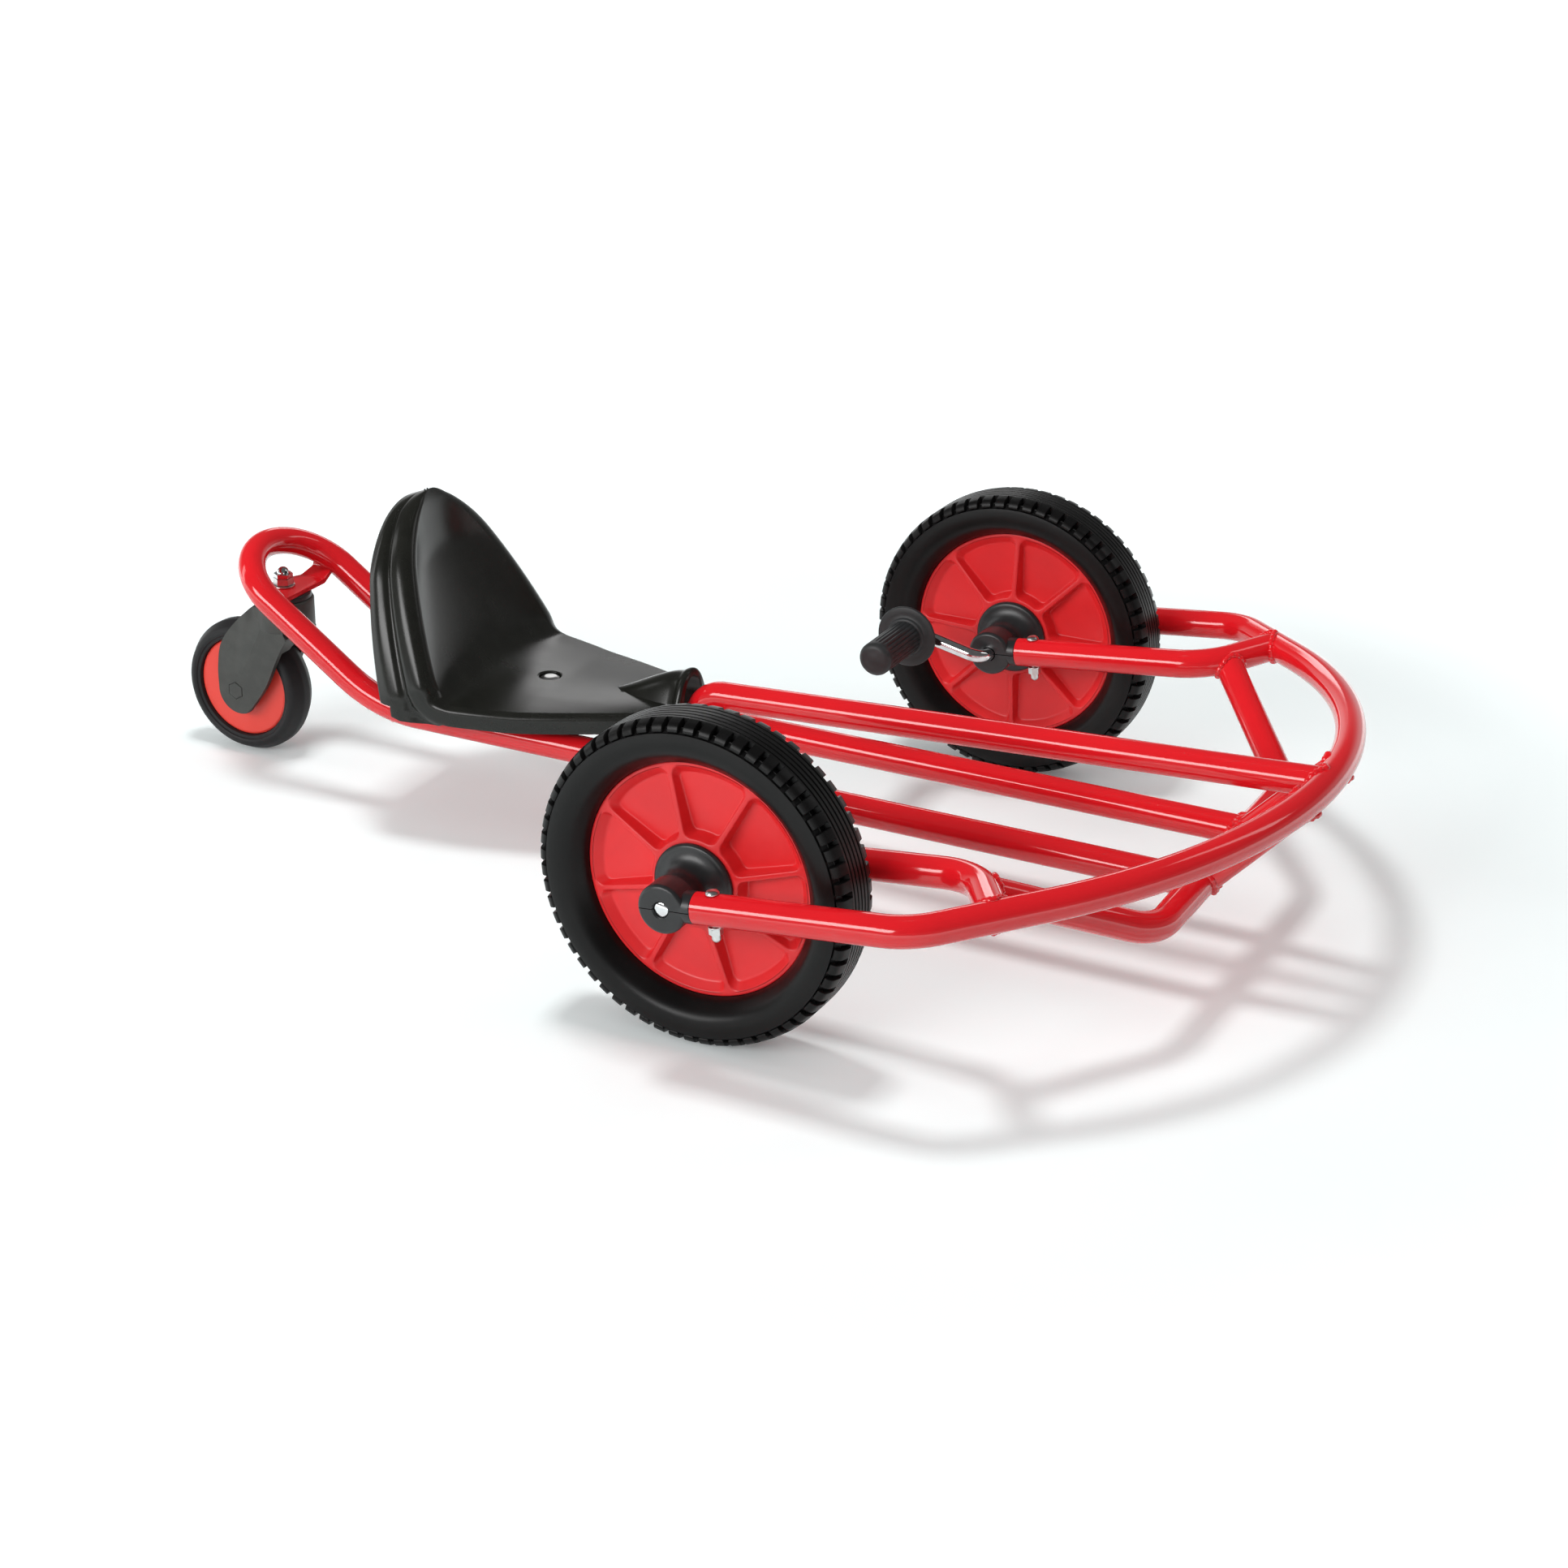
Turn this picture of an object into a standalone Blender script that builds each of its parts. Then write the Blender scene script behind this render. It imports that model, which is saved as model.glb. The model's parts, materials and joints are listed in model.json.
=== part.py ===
"""Hand-cranked swing car: tube frame, two cranked front wheels, moulded seat, trailing caster."""

import math

import bmesh
import bpy
from mathutils import Matrix, Vector

mm = 0.001
deg = math.pi / 180.0

# Clearances
gap = 0.3 * mm
running_gap = 0.4 * mm
split_gap = 0.6 * mm

# Frame tube
tube_outer_radius = 12.7 * mm
tube_wall = 1.5 * mm
bend_step = 12.0 * deg
sharp_angle = 32.0 * deg
tube_sides = 12
bore_sides = 8
bore_overrun = 5.0 * mm
merge_distance = 0.01 * mm

# Front wheels
tyre_radius = 135.0 * mm
tyre_half_width = 27.5 * mm
tread_half_width = 23.4 * mm
tyre_shoulder_drop = 2.6 * mm
tread_flat_half_width = 14.4 * mm
tyre_wall_high = 17.0 * mm
tyre_wall_inset = 1.5 * mm
tyre_wall_low_share = 0.69
tyre_bead_rise_share = 0.17
tyre_bead_spread_share = 0.43
tyre_bead_half_width = 10.0 * mm
rim_radius = 96.9 * mm
rim_edge_half_width = 8.5 * mm
rim_edge_band = 3.9 * mm
rim_hub_half_width = 15.0 * mm
rim_hub_radius = 36.0 * mm
rim_web = 4.0 * mm
rim_rib_count = 8
rim_rib_width = 6.0 * mm
rim_panel_corner = 4.0 * mm
rim_panel_inner = 38.0 * mm
rim_panel_border = 6.9 * mm
right_rim_phase = 16.5 * deg
left_rim_phase = 0.35 * deg
wheel_half_track = 306.0 * mm
tyre_segments = 32

# Hub flanges and clamps
hub_disc_radius = 33.7 * mm
hub_disc_edge = 3.6 * mm
hub_disc_draft = 1.0 * mm
hub_flare_share = 0.62
hub_neck_radius = 15.5 * mm
clamp_offset = 56.2 * mm
clamp_shoulder = 3.5 * mm
clamp_half_width = 12.2 * mm
clamp_edge = 3.0 * mm
clamp_collar_radius = 14.6 * mm
clamp_collar_length = 6.0 * mm
clamp_collar_inset = 0.2 * mm
clamp_collar_flare = 1.6 * mm
clamp_collar_root_share = 0.4
clamp_spigot_length = 38.0 * mm
clamp_bolt_reach = 39.5 * mm
clamp_bolt_radius = 2.9 * mm
clamp_bolt_head_radius = 5.5 * mm
clamp_bolt_head_height = 3.6 * mm
clamp_head_round_share = 0.75
clamp_head_side_share = 0.7
clamp_washer_radius = 5.8 * mm
clamp_washer_thickness = 1.2 * mm
clamp_nut_radius = 5.6 * mm
clamp_nut_height = 5.2 * mm
clamp_nut_dome = 6.8 * mm
clamp_dome_share = 0.66
clamp_dome_round_share = 0.75
clamp_bolt_end_share = 0.3

# Axle, crank and grip
rod_radius = 6.0 * mm
axle_stub = -1.0 * mm
crank_length = 70.3 * mm
crank_angle = 167.7 * deg
crank_bend_radius = 14.0 * mm
crank_clearance = 0.6 * mm
grip_length = 74.0 * mm
grip_radius = 15.6 * mm
grip_guard_radius = 28.5 * mm
grip_guard_thickness = 3.6 * mm
grip_dome_height = 7.0 * mm
grip_dome_share = 0.72
grip_dome_edge = 2.0 * mm
grip_pin_end = 9.0 * mm

# Front hoop, in its own tilted plane through the front axle
frame_pitch = 6.28 * deg
hoop_bend_start = 178.8 * mm
hoop_bend_radius = 53.8 * mm
hoop_bend_angle = 44.65 * deg
hoop_nose_radius = 405.1 * mm
arm_bend_start = 175.6 * mm
arm_bend_radius = 54.0 * mm
arm_bend_angle = 57.8 * deg

# Lower frame
low_rail_height = 96.4 * mm
low_rail_half_spacing = 57.2 * mm
crossbar_x = 313.8 * mm
crossbar_corner_y = 156.0 * mm
crossbar_bend_radius = 62.0 * mm
crossbar_top_reach = 215.3 * mm
crossbar_top_y = 273.5 * mm
stay_foot_y = 49.5 * mm
stay_head_y = 39.5 * mm

# Centre rail
centre_rail_bend_x = -172.5 * mm
centre_rail_bend_z = 147.0 * mm
centre_rail_bend_radius = 27.0 * mm

# Rear loop
loop_bend_start = -428.5 * mm
loop_bend_radius = 131.0 * mm
loop_rise_angle = 34.8 * deg
loop_leg_length = 97.0 * mm
loop_end_steps = 9
rear_cross_x = -455.0 * mm

# Seat
seat_wall = 4.0 * mm
seat_overlap = 5.5 * mm
seat_rise = 22.2 * mm
seat_front_lift = 7.2 * mm
seat_pan_x = -310.0 * mm
seat_corner_x = -376.0 * mm
seat_corner_lift = 1.2 * mm
seat_corner_radius = 17.0 * mm
seat_top_x = -445.5 * mm
seat_back_height = 159.2 * mm
seat_back_knee_run = 21.0 * mm
seat_back_knee_drop = 53.0 * mm
seat_pan_sweep = 60.0 * mm
seat_back_sweep = 150.0 * mm
seat_half_width = 109.5 * mm
seat_front_half_width = 38.0 * mm
seat_taper_power = 1.4
seat_top_power = 1.2
seat_skirt = 18.0 * mm
seat_skirt_clearance = 3.4 * mm
seat_skirt_end_x = -421.0 * mm
seat_back_clearance = 15.9 * mm
seat_flange_low = 55.0 * mm
seat_flange_top = 24.0 * mm
seat_flange_power = 0.5
seat_roll_radius = 7.0 * mm
seat_roll_share = 0.45
seat_flange_least = 2.0 * mm
seat_flange_lean = 0.15
seat_flange_lean_run = 0.6
seat_upright_lean = 0.8
seat_pan_crown = 3.0 * mm
seat_back_hollow = 11.0 * mm
seat_hollow_foot_share = 0.12
seat_hollow_top_share = 0.35
seat_groove_depth = 3.0 * mm
seat_groove_place = 0.42
seat_groove_spread = 0.16
seat_groove_run = 20.0 * mm
seat_groove_fade = 30.0 * mm
seat_swell_share = 0.8
seat_swell_place = 0.8
seat_swell_spread = 0.2
seat_hump_height = 27.0 * mm
seat_hump_length = 80.0 * mm
seat_hump_half_width = 19.0 * mm
seat_hump_foot_share = 0.35
seat_hump_ramp_share = 0.25
seat_hump_sharpness = 0.9
seat_bolt_x = -323.5 * mm
seat_hole_radius = 10.0 * mm
seat_hole_depth = 3.6 * mm
seat_boss_rise = 0.8 * mm
seat_boss_radius = 17.0 * mm
seat_strap_width = 40.0 * mm
seat_strap_thickness = 3.0 * mm
seat_strap_overhang = 4.0 * mm
seat_bolt_radius = 4.0 * mm
seat_bolt_head_radius = 8.6 * mm
seat_bolt_head_height = 2.6 * mm
seat_bolt_head_side_share = 0.4
seat_bolt_head_top_share = 0.6
seat_bolt_overhang = 2.0 * mm
seat_merge = 0.02 * mm
seat_nut_radius = 7.5 * mm
seat_nut_height = 7.0 * mm

# Caster
swivel_beyond_legs = 29.1 * mm
caster_radius = 64.7 * mm
caster_half_width = 17.0 * mm
caster_disc_radius = 48.0 * mm
caster_disc_half_width = 13.4 * mm
caster_disc_rim = 2.6 * mm
caster_disc_dish = 1.6 * mm
caster_disc_edge_inset = 0.8 * mm
caster_boss_radius = 12.8 * mm
caster_boss_foot_radius = 14.4 * mm
caster_bead_inset = 0.4 * mm
caster_bead_run = 5.0 * mm
caster_shoulder_drop = 3.6 * mm
caster_shoulder_share = 0.74
caster_tread_share = 0.3
caster_trail = 44.8 * mm
caster_segments = 24
fork_inner = 18.6 * mm
fork_wall = 5.9 * mm
fork_tip_radius = 22.5 * mm
fork_tip_shift = 3.5 * mm
fork_head_radius = 27.4 * mm
fork_head_height = 29.0 * mm
fork_head_round = 2.0 * mm
fork_shoulder_share = 0.8
fork_chin_reach = 5.0 * mm
fork_chin_drop = 4.0 * mm
fork_throat_reach = 9.6 * mm
fork_throat_rise = 49.3 * mm
fork_neck_reach = 2.1 * mm
fork_neck_rise = 34.2 * mm
fork_tip_front = -64.0 * deg
fork_back_low_rise = 22.0 * mm
fork_back_high_rise = 46.0 * mm
fork_back_slope = 5.5 * mm
fork_fender_reach = 14.5 * mm
fork_fender_top_reach = 8.4 * mm
fork_wheel_clearance = 4.0 * mm
caster_pin_radius = 4.0 * mm
caster_cap_radius = 8.6 * mm
caster_cap_depth = 2.0 * mm
caster_cap_proud = 0.5 * mm
cap_ring_radius = 25.4 * mm
cap_ring_height = 5.0 * mm
cap_ring_chamfer = 1.5 * mm
plate_top_z = 169.5 * mm
plate_thickness = 4.0 * mm
plate_front_reach = 22.0 * mm
plate_rear_reach = 15.0 * mm
plate_ear_rear_reach = 2.0 * mm
plate_taper_y = 12.0 * mm
plate_bend_inset = 23.2 * mm
plate_ear_inset = 9.2 * mm
plate_ear_rise = 26.0 * mm
plate_ear_corner_rise = 9.0 * mm
plate_bend_rise = 2.0 * mm
plate_bend_run = 3.0 * mm
swivel_bolt_radius = 5.0 * mm
swivel_washer_radius = 10.6 * mm
swivel_washer_thickness = 1.8 * mm
swivel_nut_radius = 9.6 * mm
swivel_nut_height = 6.6 * mm
swivel_dome_hex_height = 3.4 * mm
swivel_dome_radius = 5.8 * mm
swivel_dome_height = 6.4 * mm
swivel_dome_hex_share = 0.94
swivel_dome_foot = 0.3 * mm
swivel_dome_side = (0.94, 0.4)
swivel_dome_crown = (0.6, 0.85)
swivel_bolt_top_share = 0.3
swivel_head_radius = 9.0 * mm
swivel_head_height = 6.0 * mm
swivel_head_inset = 3.0 * mm
swivel_head_clearance = 1.0 * mm

# Derived places. The frame's origin is under the middle of the whole car, on the ground.
hoop_y = wheel_half_track + clamp_offset
hoop_side_corner = hoop_bend_start + hoop_bend_radius * math.tan(hoop_bend_angle / 2.0)
hoop_peak = hoop_side_corner + hoop_y / math.tan(hoop_bend_angle)
hoop_nose_reach = hoop_peak - hoop_nose_radius * (1.0 / math.sin(hoop_bend_angle) - 1.0)
loop_bend_end = loop_bend_start - loop_bend_radius * math.sin(loop_rise_angle)
loop_bend_end_z = low_rail_height + loop_bend_radius * (1.0 - math.cos(loop_rise_angle))
loop_top_x = loop_bend_end - loop_leg_length * math.cos(loop_rise_angle)
loop_top_z = loop_bend_end_z + loop_leg_length * math.sin(loop_rise_angle)
swivel_x = loop_top_x - swivel_beyond_legs
caster_axle_x = swivel_x - caster_trail
axle_to_nose = hoop_nose_reach * math.cos(frame_pitch) + tube_outer_radius
axle_to_tail = caster_axle_x - caster_radius
axle_x = -(axle_to_nose + axle_to_tail) / 2.0
axle_z = tyre_radius
tube_inner_radius = tube_outer_radius - tube_wall
clamp_radius = hub_neck_radius + clamp_shoulder
clamp_tube_start = clamp_radius + clamp_collar_length
clamp_end = clamp_offset + clamp_half_width
arm_y = wheel_half_track - clamp_offset
mate_radius = tube_outer_radius + gap
rail_top_z = low_rail_height + tube_outer_radius
seat_pan_z = rail_top_z + seat_rise
seat_front_x = centre_rail_bend_x - seat_overlap
seat_front_z = seat_pan_z + seat_front_lift
seat_corner_z = seat_pan_z + seat_corner_lift
seat_top_z = seat_pan_z + seat_back_height
seat_skirt_floor = rail_top_z + seat_skirt_clearance
plate_front_x = swivel_x + plate_front_reach
plate_rear_x = swivel_x - plate_rear_reach
plate_ear_rear_x = swivel_x + plate_ear_rear_reach
plate_low_z = plate_top_z - plate_thickness
cutter_reach = 100.0 * mm


def at(x, y, z):
    """Point given from the front axle's middle, on the ground, as a row-frame point."""
    return Vector((axle_x + x, y, z))


def on_plane(reach, y):
    """Point in the hoop's tilted plane, at a reach from the axle."""
    x = reach * math.cos(frame_pitch)
    z = axle_z + reach * math.sin(frame_pitch)
    return at(x, y, z)


# Materials
def material(name, colour, roughness, metallic):
    mat = bpy.data.materials.new(name)
    mat.use_nodes = True
    mat.diffuse_color = (*colour, 1.0)
    shader = mat.node_tree.nodes["Principled BSDF"]
    shader.inputs["Base Color"].default_value = (*colour, 1.0)
    shader.inputs["Roughness"].default_value = roughness
    shader.inputs["Metallic"].default_value = metallic
    return mat


for old in list(bpy.data.objects):
    bpy.data.objects.remove(old, do_unlink=True)

red_paint = material("red_paint", (0.72, 0.012, 0.018), 0.22, 0.0)
red_plastic = material("red_plastic", (0.74, 0.035, 0.04), 0.4, 0.0)
seat_plastic = material("seat_plastic", (0.022, 0.022, 0.018), 0.3, 0.0)
black_plastic = material("black_plastic", (0.025, 0.025, 0.024), 0.45, 0.0)
fork_plastic = material("fork_plastic", (0.05, 0.05, 0.045), 0.5, 0.0)
rubber = material("rubber", (0.014, 0.013, 0.013), 0.55, 0.0)
chrome = material("chrome", (0.72, 0.72, 0.72), 0.12, 1.0)
zinc = material("zinc", (0.62, 0.62, 0.6), 0.3, 1.0)


# Mesh builders
def finish(name, bm, mat, parent=None, place=None, turn=None):
    bmesh.ops.remove_doubles(bm, verts=bm.verts, dist=merge_distance)
    bmesh.ops.recalc_face_normals(bm, faces=bm.faces)
    mesh = bpy.data.meshes.new(name)
    bm.to_mesh(mesh)
    bm.free()
    mesh.materials.append(mat)
    mesh.shade_smooth()
    mesh.set_sharp_from_angle(angle=sharp_angle)
    return put(name, mesh, parent, place, turn)


def put(name, mesh, parent=None, place=None, turn=None):
    obj = bpy.data.objects.new(name, mesh)
    bpy.context.scene.collection.objects.link(obj)
    if parent is not None:
        obj.parent = parent
    if place is not None:
        obj.location = place
    if turn is not None:
        obj.rotation_euler = turn.to_euler()
    return obj


def pivot(name, place, parent=None):
    """Empty on a joint's axis that carries the pieces of one moving body."""
    obj = bpy.data.objects.new(name, None)
    bpy.context.scene.collection.objects.link(obj)
    obj.location = place if parent is None else place - parent.location
    if parent is not None:
        obj.parent = parent
    return obj


def hide(obj):
    obj.hide_render = True
    obj.display_type = "WIRE"
    return obj


def combine(target, tool, operation="DIFFERENCE"):
    mod = target.modifiers.new(operation.lower() + "_" + tool.name, "BOOLEAN")
    mod.operation = operation
    mod.solver = "EXACT"
    mod.object = tool
    return target


def ring(bm, centre, side, up, radius, count):
    verts = []
    for i in range(count):
        angle = 2.0 * math.pi * i / count
        offset = side * (radius * math.cos(angle)) + up * (radius * math.sin(angle))
        verts.append(bm.verts.new(centre + offset))
    return verts


def bridge(bm, first, second):
    count = len(first)
    for i in range(count):
        j = (i + 1) % count
        bm.faces.new((first[i], first[j], second[j], second[i]))


def fillet_path(corners, radii, step=bend_step):
    """Polyline through the corners, each inner corner rounded to its radius."""
    points = [corners[0].copy()]
    for before, corner, after, radius in zip(corners[:-2], corners[1:-1], corners[2:], radii):
        back = (before - corner).normalized()
        ahead = (after - corner).normalized()
        turn = math.pi - back.angle(ahead)
        length = radius * math.tan(turn / 2.0)
        start = corner + back * length
        end = corner + ahead * length
        middle = corner + (back + ahead).normalized() * math.hypot(radius, length)
        count = max(2, math.ceil(turn / step))
        first = start - middle
        last = end - middle
        for i in range(count + 1):
            angle = turn * i / count
            part = math.sin(turn - angle) / math.sin(turn)
            rest = math.sin(angle) / math.sin(turn)
            points.append(middle + first * part + last * rest)
    points.append(corners[-1].copy())
    return points


def sweep(bm, points, radius, count):
    """Rings along a polyline, each in the plane that halves the corner."""
    heading = (points[1] - points[0]).normalized()
    helper = Vector((0.0, 0.0, 1.0)) if abs(heading.z) < 0.8 else Vector((1.0, 0.0, 0.0))
    side = heading.cross(helper).normalized()
    up = side.cross(heading).normalized()
    rings = []
    last = len(points) - 1
    for i, point in enumerate(points):
        if i < last:
            ahead = (points[i + 1] - point).normalized()
        else:
            ahead = heading
        turn = heading.rotation_difference(ahead)
        half = heading.lerp(ahead, 0.5).normalized()
        first = heading.rotation_difference(half)
        side_here = side.copy()
        side_here.rotate(first)
        up_here = up.copy()
        up_here.rotate(first)
        stretch = 1.0 / max(0.2, heading.dot(half))
        axis = heading.cross(ahead)
        verts = []
        for k in range(count):
            angle = 2.0 * math.pi * (k + 0.5) / count
            offset = side_here * (radius * math.cos(angle)) + up_here * (radius * math.sin(angle))
            if axis.length > 1e-6:
                out = half.cross(axis).normalized()
                offset += out * (offset.dot(out) * (stretch - 1.0))
            verts.append(bm.verts.new(point + offset))
        rings.append(verts)
        side.rotate(turn)
        up.rotate(turn)
        heading = ahead
    for first_ring, second_ring in zip(rings[:-1], rings[1:]):
        bridge(bm, first_ring, second_ring)
    bm.faces.new(rings[0][::-1])
    bm.faces.new(rings[-1])
    return rings


def rod(name, points, radius, mat, count=tube_sides, parent=None):
    bm = bmesh.new()
    sweep(bm, points, radius, count)
    return finish(name, bm, mat, parent)


def extended(points, length):
    """The same polyline with both ends pushed out."""
    first = points[0] + (points[0] - points[1]).normalized() * length
    last = points[-1] + (points[-1] - points[-2]).normalized() * length
    return [first] + points[1:-1] + [last]


def tube(name, points, mat=red_paint):
    """Hollow frame tube: a swept outside with a swept bore cut right through."""
    obj = rod(name, points, tube_outer_radius, mat)
    bore = hide(rod("cut_bore_" + name, extended(points, bore_overrun), tube_inner_radius, mat, bore_sides))
    combine(obj, bore)
    return obj


def turned(name, profile, mat, segments=24, parent=None, place=None, axis="Y", closed=False, turn=None):
    """Solid of revolution from (radius, height) points about an axis."""
    bm = bmesh.new()
    add_turned(bm, profile, segments, axis, closed)
    return finish(name, bm, mat, parent, place, turn)


def add_turned(bm, profile, segments, axis="Y", closed=False):
    along = {"X": Vector((1, 0, 0)), "Y": Vector((0, 1, 0)), "Z": Vector((0, 0, 1))}[axis]
    side = {"X": Vector((0, 1, 0)), "Y": Vector((0, 0, 1)), "Z": Vector((1, 0, 0))}[axis]
    up = along.cross(side)
    rows = []
    for radius, height in profile:
        if radius < 1e-7:
            rows.append([bm.verts.new(along * height)])
        else:
            rows.append(ring(bm, along * height, side, up, radius, segments))
    pairs = list(zip(rows[:-1], rows[1:]))
    if closed:
        pairs.append((rows[-1], rows[0]))
    for first, second in pairs:
        if len(first) == 1 and len(second) == 1:
            continue
        for i in range(segments):
            j = (i + 1) % segments
            if len(first) == 1:
                bm.faces.new((first[0], second[j], second[i]))
            elif len(second) == 1:
                bm.faces.new((first[i], first[j], second[0]))
            else:
                bm.faces.new((first[i], first[j], second[j], second[i]))


def flatten_hex(bm, radius):
    """Moves every second corner of a twelve-sided ring in, so that it becomes a hexagon."""
    for vert in bm.verts:
        flat = math.hypot(vert.co.x, vert.co.y)
        angle = math.atan2(vert.co.y, vert.co.x)
        nearest = round(angle / (math.pi / 3.0)) * math.pi / 3.0
        if flat > 0.95 * radius and abs(angle - nearest) > 0.1:
            vert.co.x *= math.cos(math.pi / 6.0)
            vert.co.y *= math.cos(math.pi / 6.0)


def turned_mesh(name, profile, mat, segments, closed=False, hexagon=0.0):
    """Mesh of a piece turned about its own upright axis, for the objects that share it."""
    bm = bmesh.new()
    add_turned(bm, profile, segments, "Z", closed)
    if hexagon > 0.0:
        flatten_hex(bm, hexagon)
    bmesh.ops.recalc_face_normals(bm, faces=bm.faces)
    mesh = bpy.data.meshes.new(name)
    bm.to_mesh(mesh)
    bm.free()
    mesh.materials.append(mat)
    mesh.shade_smooth()
    mesh.set_sharp_from_angle(angle=sharp_angle)
    return mesh


def hole_for(radius, segments=12, clearance=gap):
    """Corner radius of a faceted hole whose flats clear a round piece."""
    return (radius + clearance) / math.cos(math.pi / segments)


def add_prism(bm, outline, depth_vector):
    """Closed prism from a flat outline, pushed along a vector."""
    first = [bm.verts.new(p) for p in outline]
    second = [bm.verts.new(p + depth_vector) for p in outline]
    bm.faces.new(first[::-1])
    bm.faces.new(second)
    bridge(bm, first, second)


def box(name, centre, size, mat, turn=None):
    bm = bmesh.new()
    bmesh.ops.create_cube(bm, size=1.0)
    bmesh.ops.scale(bm, vec=Vector(size), verts=bm.verts)
    if turn is not None:
        bmesh.ops.rotate(bm, cent=Vector((0, 0, 0)), matrix=turn, verts=bm.verts)
    bmesh.ops.translate(bm, vec=centre, verts=bm.verts)
    return finish(name, bm, mat)


def arc(centre, radius, start, end, count):
    """Points of an arc in the plane, end points included."""
    points = []
    for i in range(count + 1):
        angle = start + (end - start) * i / count
        points.append((centre[0] + radius * math.cos(angle), centre[1] + radius * math.sin(angle)))
    return points


# Centre lines of the frame tubes
def hoop_line():
    """From one clamp round the nose to the other; the sides run on to a peak that the nose rounds off."""
    corners = [
        on_plane(clamp_tube_start, -hoop_y),
        on_plane(hoop_side_corner, -hoop_y),
        on_plane(hoop_peak, 0.0),
        on_plane(hoop_side_corner, hoop_y),
        on_plane(clamp_tube_start, hoop_y),
    ]
    return fillet_path(corners, [hoop_bend_radius, hoop_nose_radius, hoop_bend_radius])


def arm_line(side):
    corner_reach = arm_bend_start + arm_bend_radius * math.tan(arm_bend_angle / 2.0)
    # Where the arm's outward line meets the hoop's inward line
    rise = math.tan(arm_bend_angle)
    fall = math.tan(hoop_bend_angle)
    end_reach = (hoop_y - arm_y + hoop_side_corner * fall + corner_reach * rise) / (rise + fall)
    end_y = arm_y + (end_reach - corner_reach) * rise
    corners = [
        on_plane(clamp_tube_start, side * arm_y),
        on_plane(corner_reach, side * arm_y),
        on_plane(end_reach, side * end_y),
    ]
    return fillet_path(corners, [arm_bend_radius])


def crossbar_line():
    corners = [
        on_plane(crossbar_top_reach, -crossbar_top_y),
        at(crossbar_x, -crossbar_corner_y, low_rail_height),
        at(crossbar_x, crossbar_corner_y, low_rail_height),
        on_plane(crossbar_top_reach, crossbar_top_y),
    ]
    return fillet_path(corners, [crossbar_bend_radius, crossbar_bend_radius])


def nose_reach_at(y):
    """Reach of the hoop's centre line beside the nose."""
    return hoop_nose_reach - hoop_nose_radius + math.sqrt(hoop_nose_radius ** 2 - y ** 2)


def stay_line(side):
    foot = at(crossbar_x, side * stay_foot_y, low_rail_height)
    head = on_plane(nose_reach_at(stay_head_y), side * stay_head_y)
    return [foot, head]


def loop_line():
    """One tube: low rail, bend, leg, round end, and back to the other low rail."""
    bend_corner = loop_bend_start - loop_bend_radius * math.tan(loop_rise_angle / 2.0)
    leg = []
    for y in (-low_rail_half_spacing, low_rail_half_spacing):
        corners = [
            at(crossbar_x, y, low_rail_height),
            at(bend_corner, y, low_rail_height),
            at(loop_top_x, y, loop_top_z),
        ]
        leg.append(fillet_path(corners, [loop_bend_radius]))
    outward = Vector((-math.cos(loop_rise_angle), 0.0, math.sin(loop_rise_angle)))
    middle = at(loop_top_x, 0.0, loop_top_z)
    turn = []
    for i in range(1, loop_end_steps):
        angle = math.pi * i / loop_end_steps
        across = Vector((0.0, -math.cos(angle), 0.0)) * low_rail_half_spacing
        turn.append(middle + across + outward * (low_rail_half_spacing * math.sin(angle)))
    return leg[0] + turn + leg[1][::-1]


def leg_height(x):
    """Height of the loop's leg centre line above the ground, on its bend and its straight."""
    if x > loop_bend_start:
        return low_rail_height
    if x > loop_bend_end:
        drop = math.sqrt(loop_bend_radius ** 2 - (loop_bend_start - x) ** 2)
        return low_rail_height + loop_bend_radius - drop
    return loop_bend_end_z + (loop_bend_end - x) * math.tan(loop_rise_angle)


def centre_rail_line():
    corners = [
        on_plane(hoop_nose_reach, 0.0),
        at(centre_rail_bend_x, 0.0, centre_rail_bend_z),
        at(centre_rail_bend_x, 0.0, low_rail_height),
    ]
    return fillet_path(corners, [centre_rail_bend_radius])


# Frame
hoop_cutter = hide(rod("cut_hoop", hoop_line(), mate_radius, red_paint))
loop_cutter = hide(rod("cut_loop", loop_line(), mate_radius, red_paint))
crossbar_cutter = hide(rod("cut_crossbar", crossbar_line(), mate_radius, red_paint))

front_hoop = tube("front_hoop", hoop_line())
rear_loop = tube("rear_loop", loop_line())
combine(rear_loop, crossbar_cutter)
crossbar = tube("lower_crossbar", crossbar_line())
centre_rail = tube("centre_rail", centre_rail_line())
combine(centre_rail, hoop_cutter)

front_cross_line = [
    at(centre_rail_bend_x, -low_rail_half_spacing, low_rail_height),
    at(centre_rail_bend_x, low_rail_half_spacing, low_rail_height),
]
front_cross_cutter = hide(rod("cut_front_cross", front_cross_line, mate_radius, red_paint))
front_cross = tube("front_cross_tube", front_cross_line)
combine(front_cross, loop_cutter)
combine(centre_rail, front_cross_cutter)

rear_cross_line = [
    at(rear_cross_x, -low_rail_half_spacing, leg_height(rear_cross_x)),
    at(rear_cross_x, low_rail_half_spacing, leg_height(rear_cross_x)),
]
rear_cross = tube("rear_cross_tube", rear_cross_line)
combine(rear_cross, loop_cutter)

for side, word in ((-1.0, "right"), (1.0, "left")):
    arm = tube(word + "_inner_arm", arm_line(side))
    combine(arm, hoop_cutter)
    arm_cutter = hide(rod("cut_" + word + "_arm", arm_line(side), mate_radius, red_paint))
    combine(crossbar, arm_cutter)
    stay = tube(word + "_nose_stay", stay_line(side))
    combine(stay, crossbar_cutter)
    combine(stay, hoop_cutter)
    combine(stay, loop_cutter)

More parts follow.
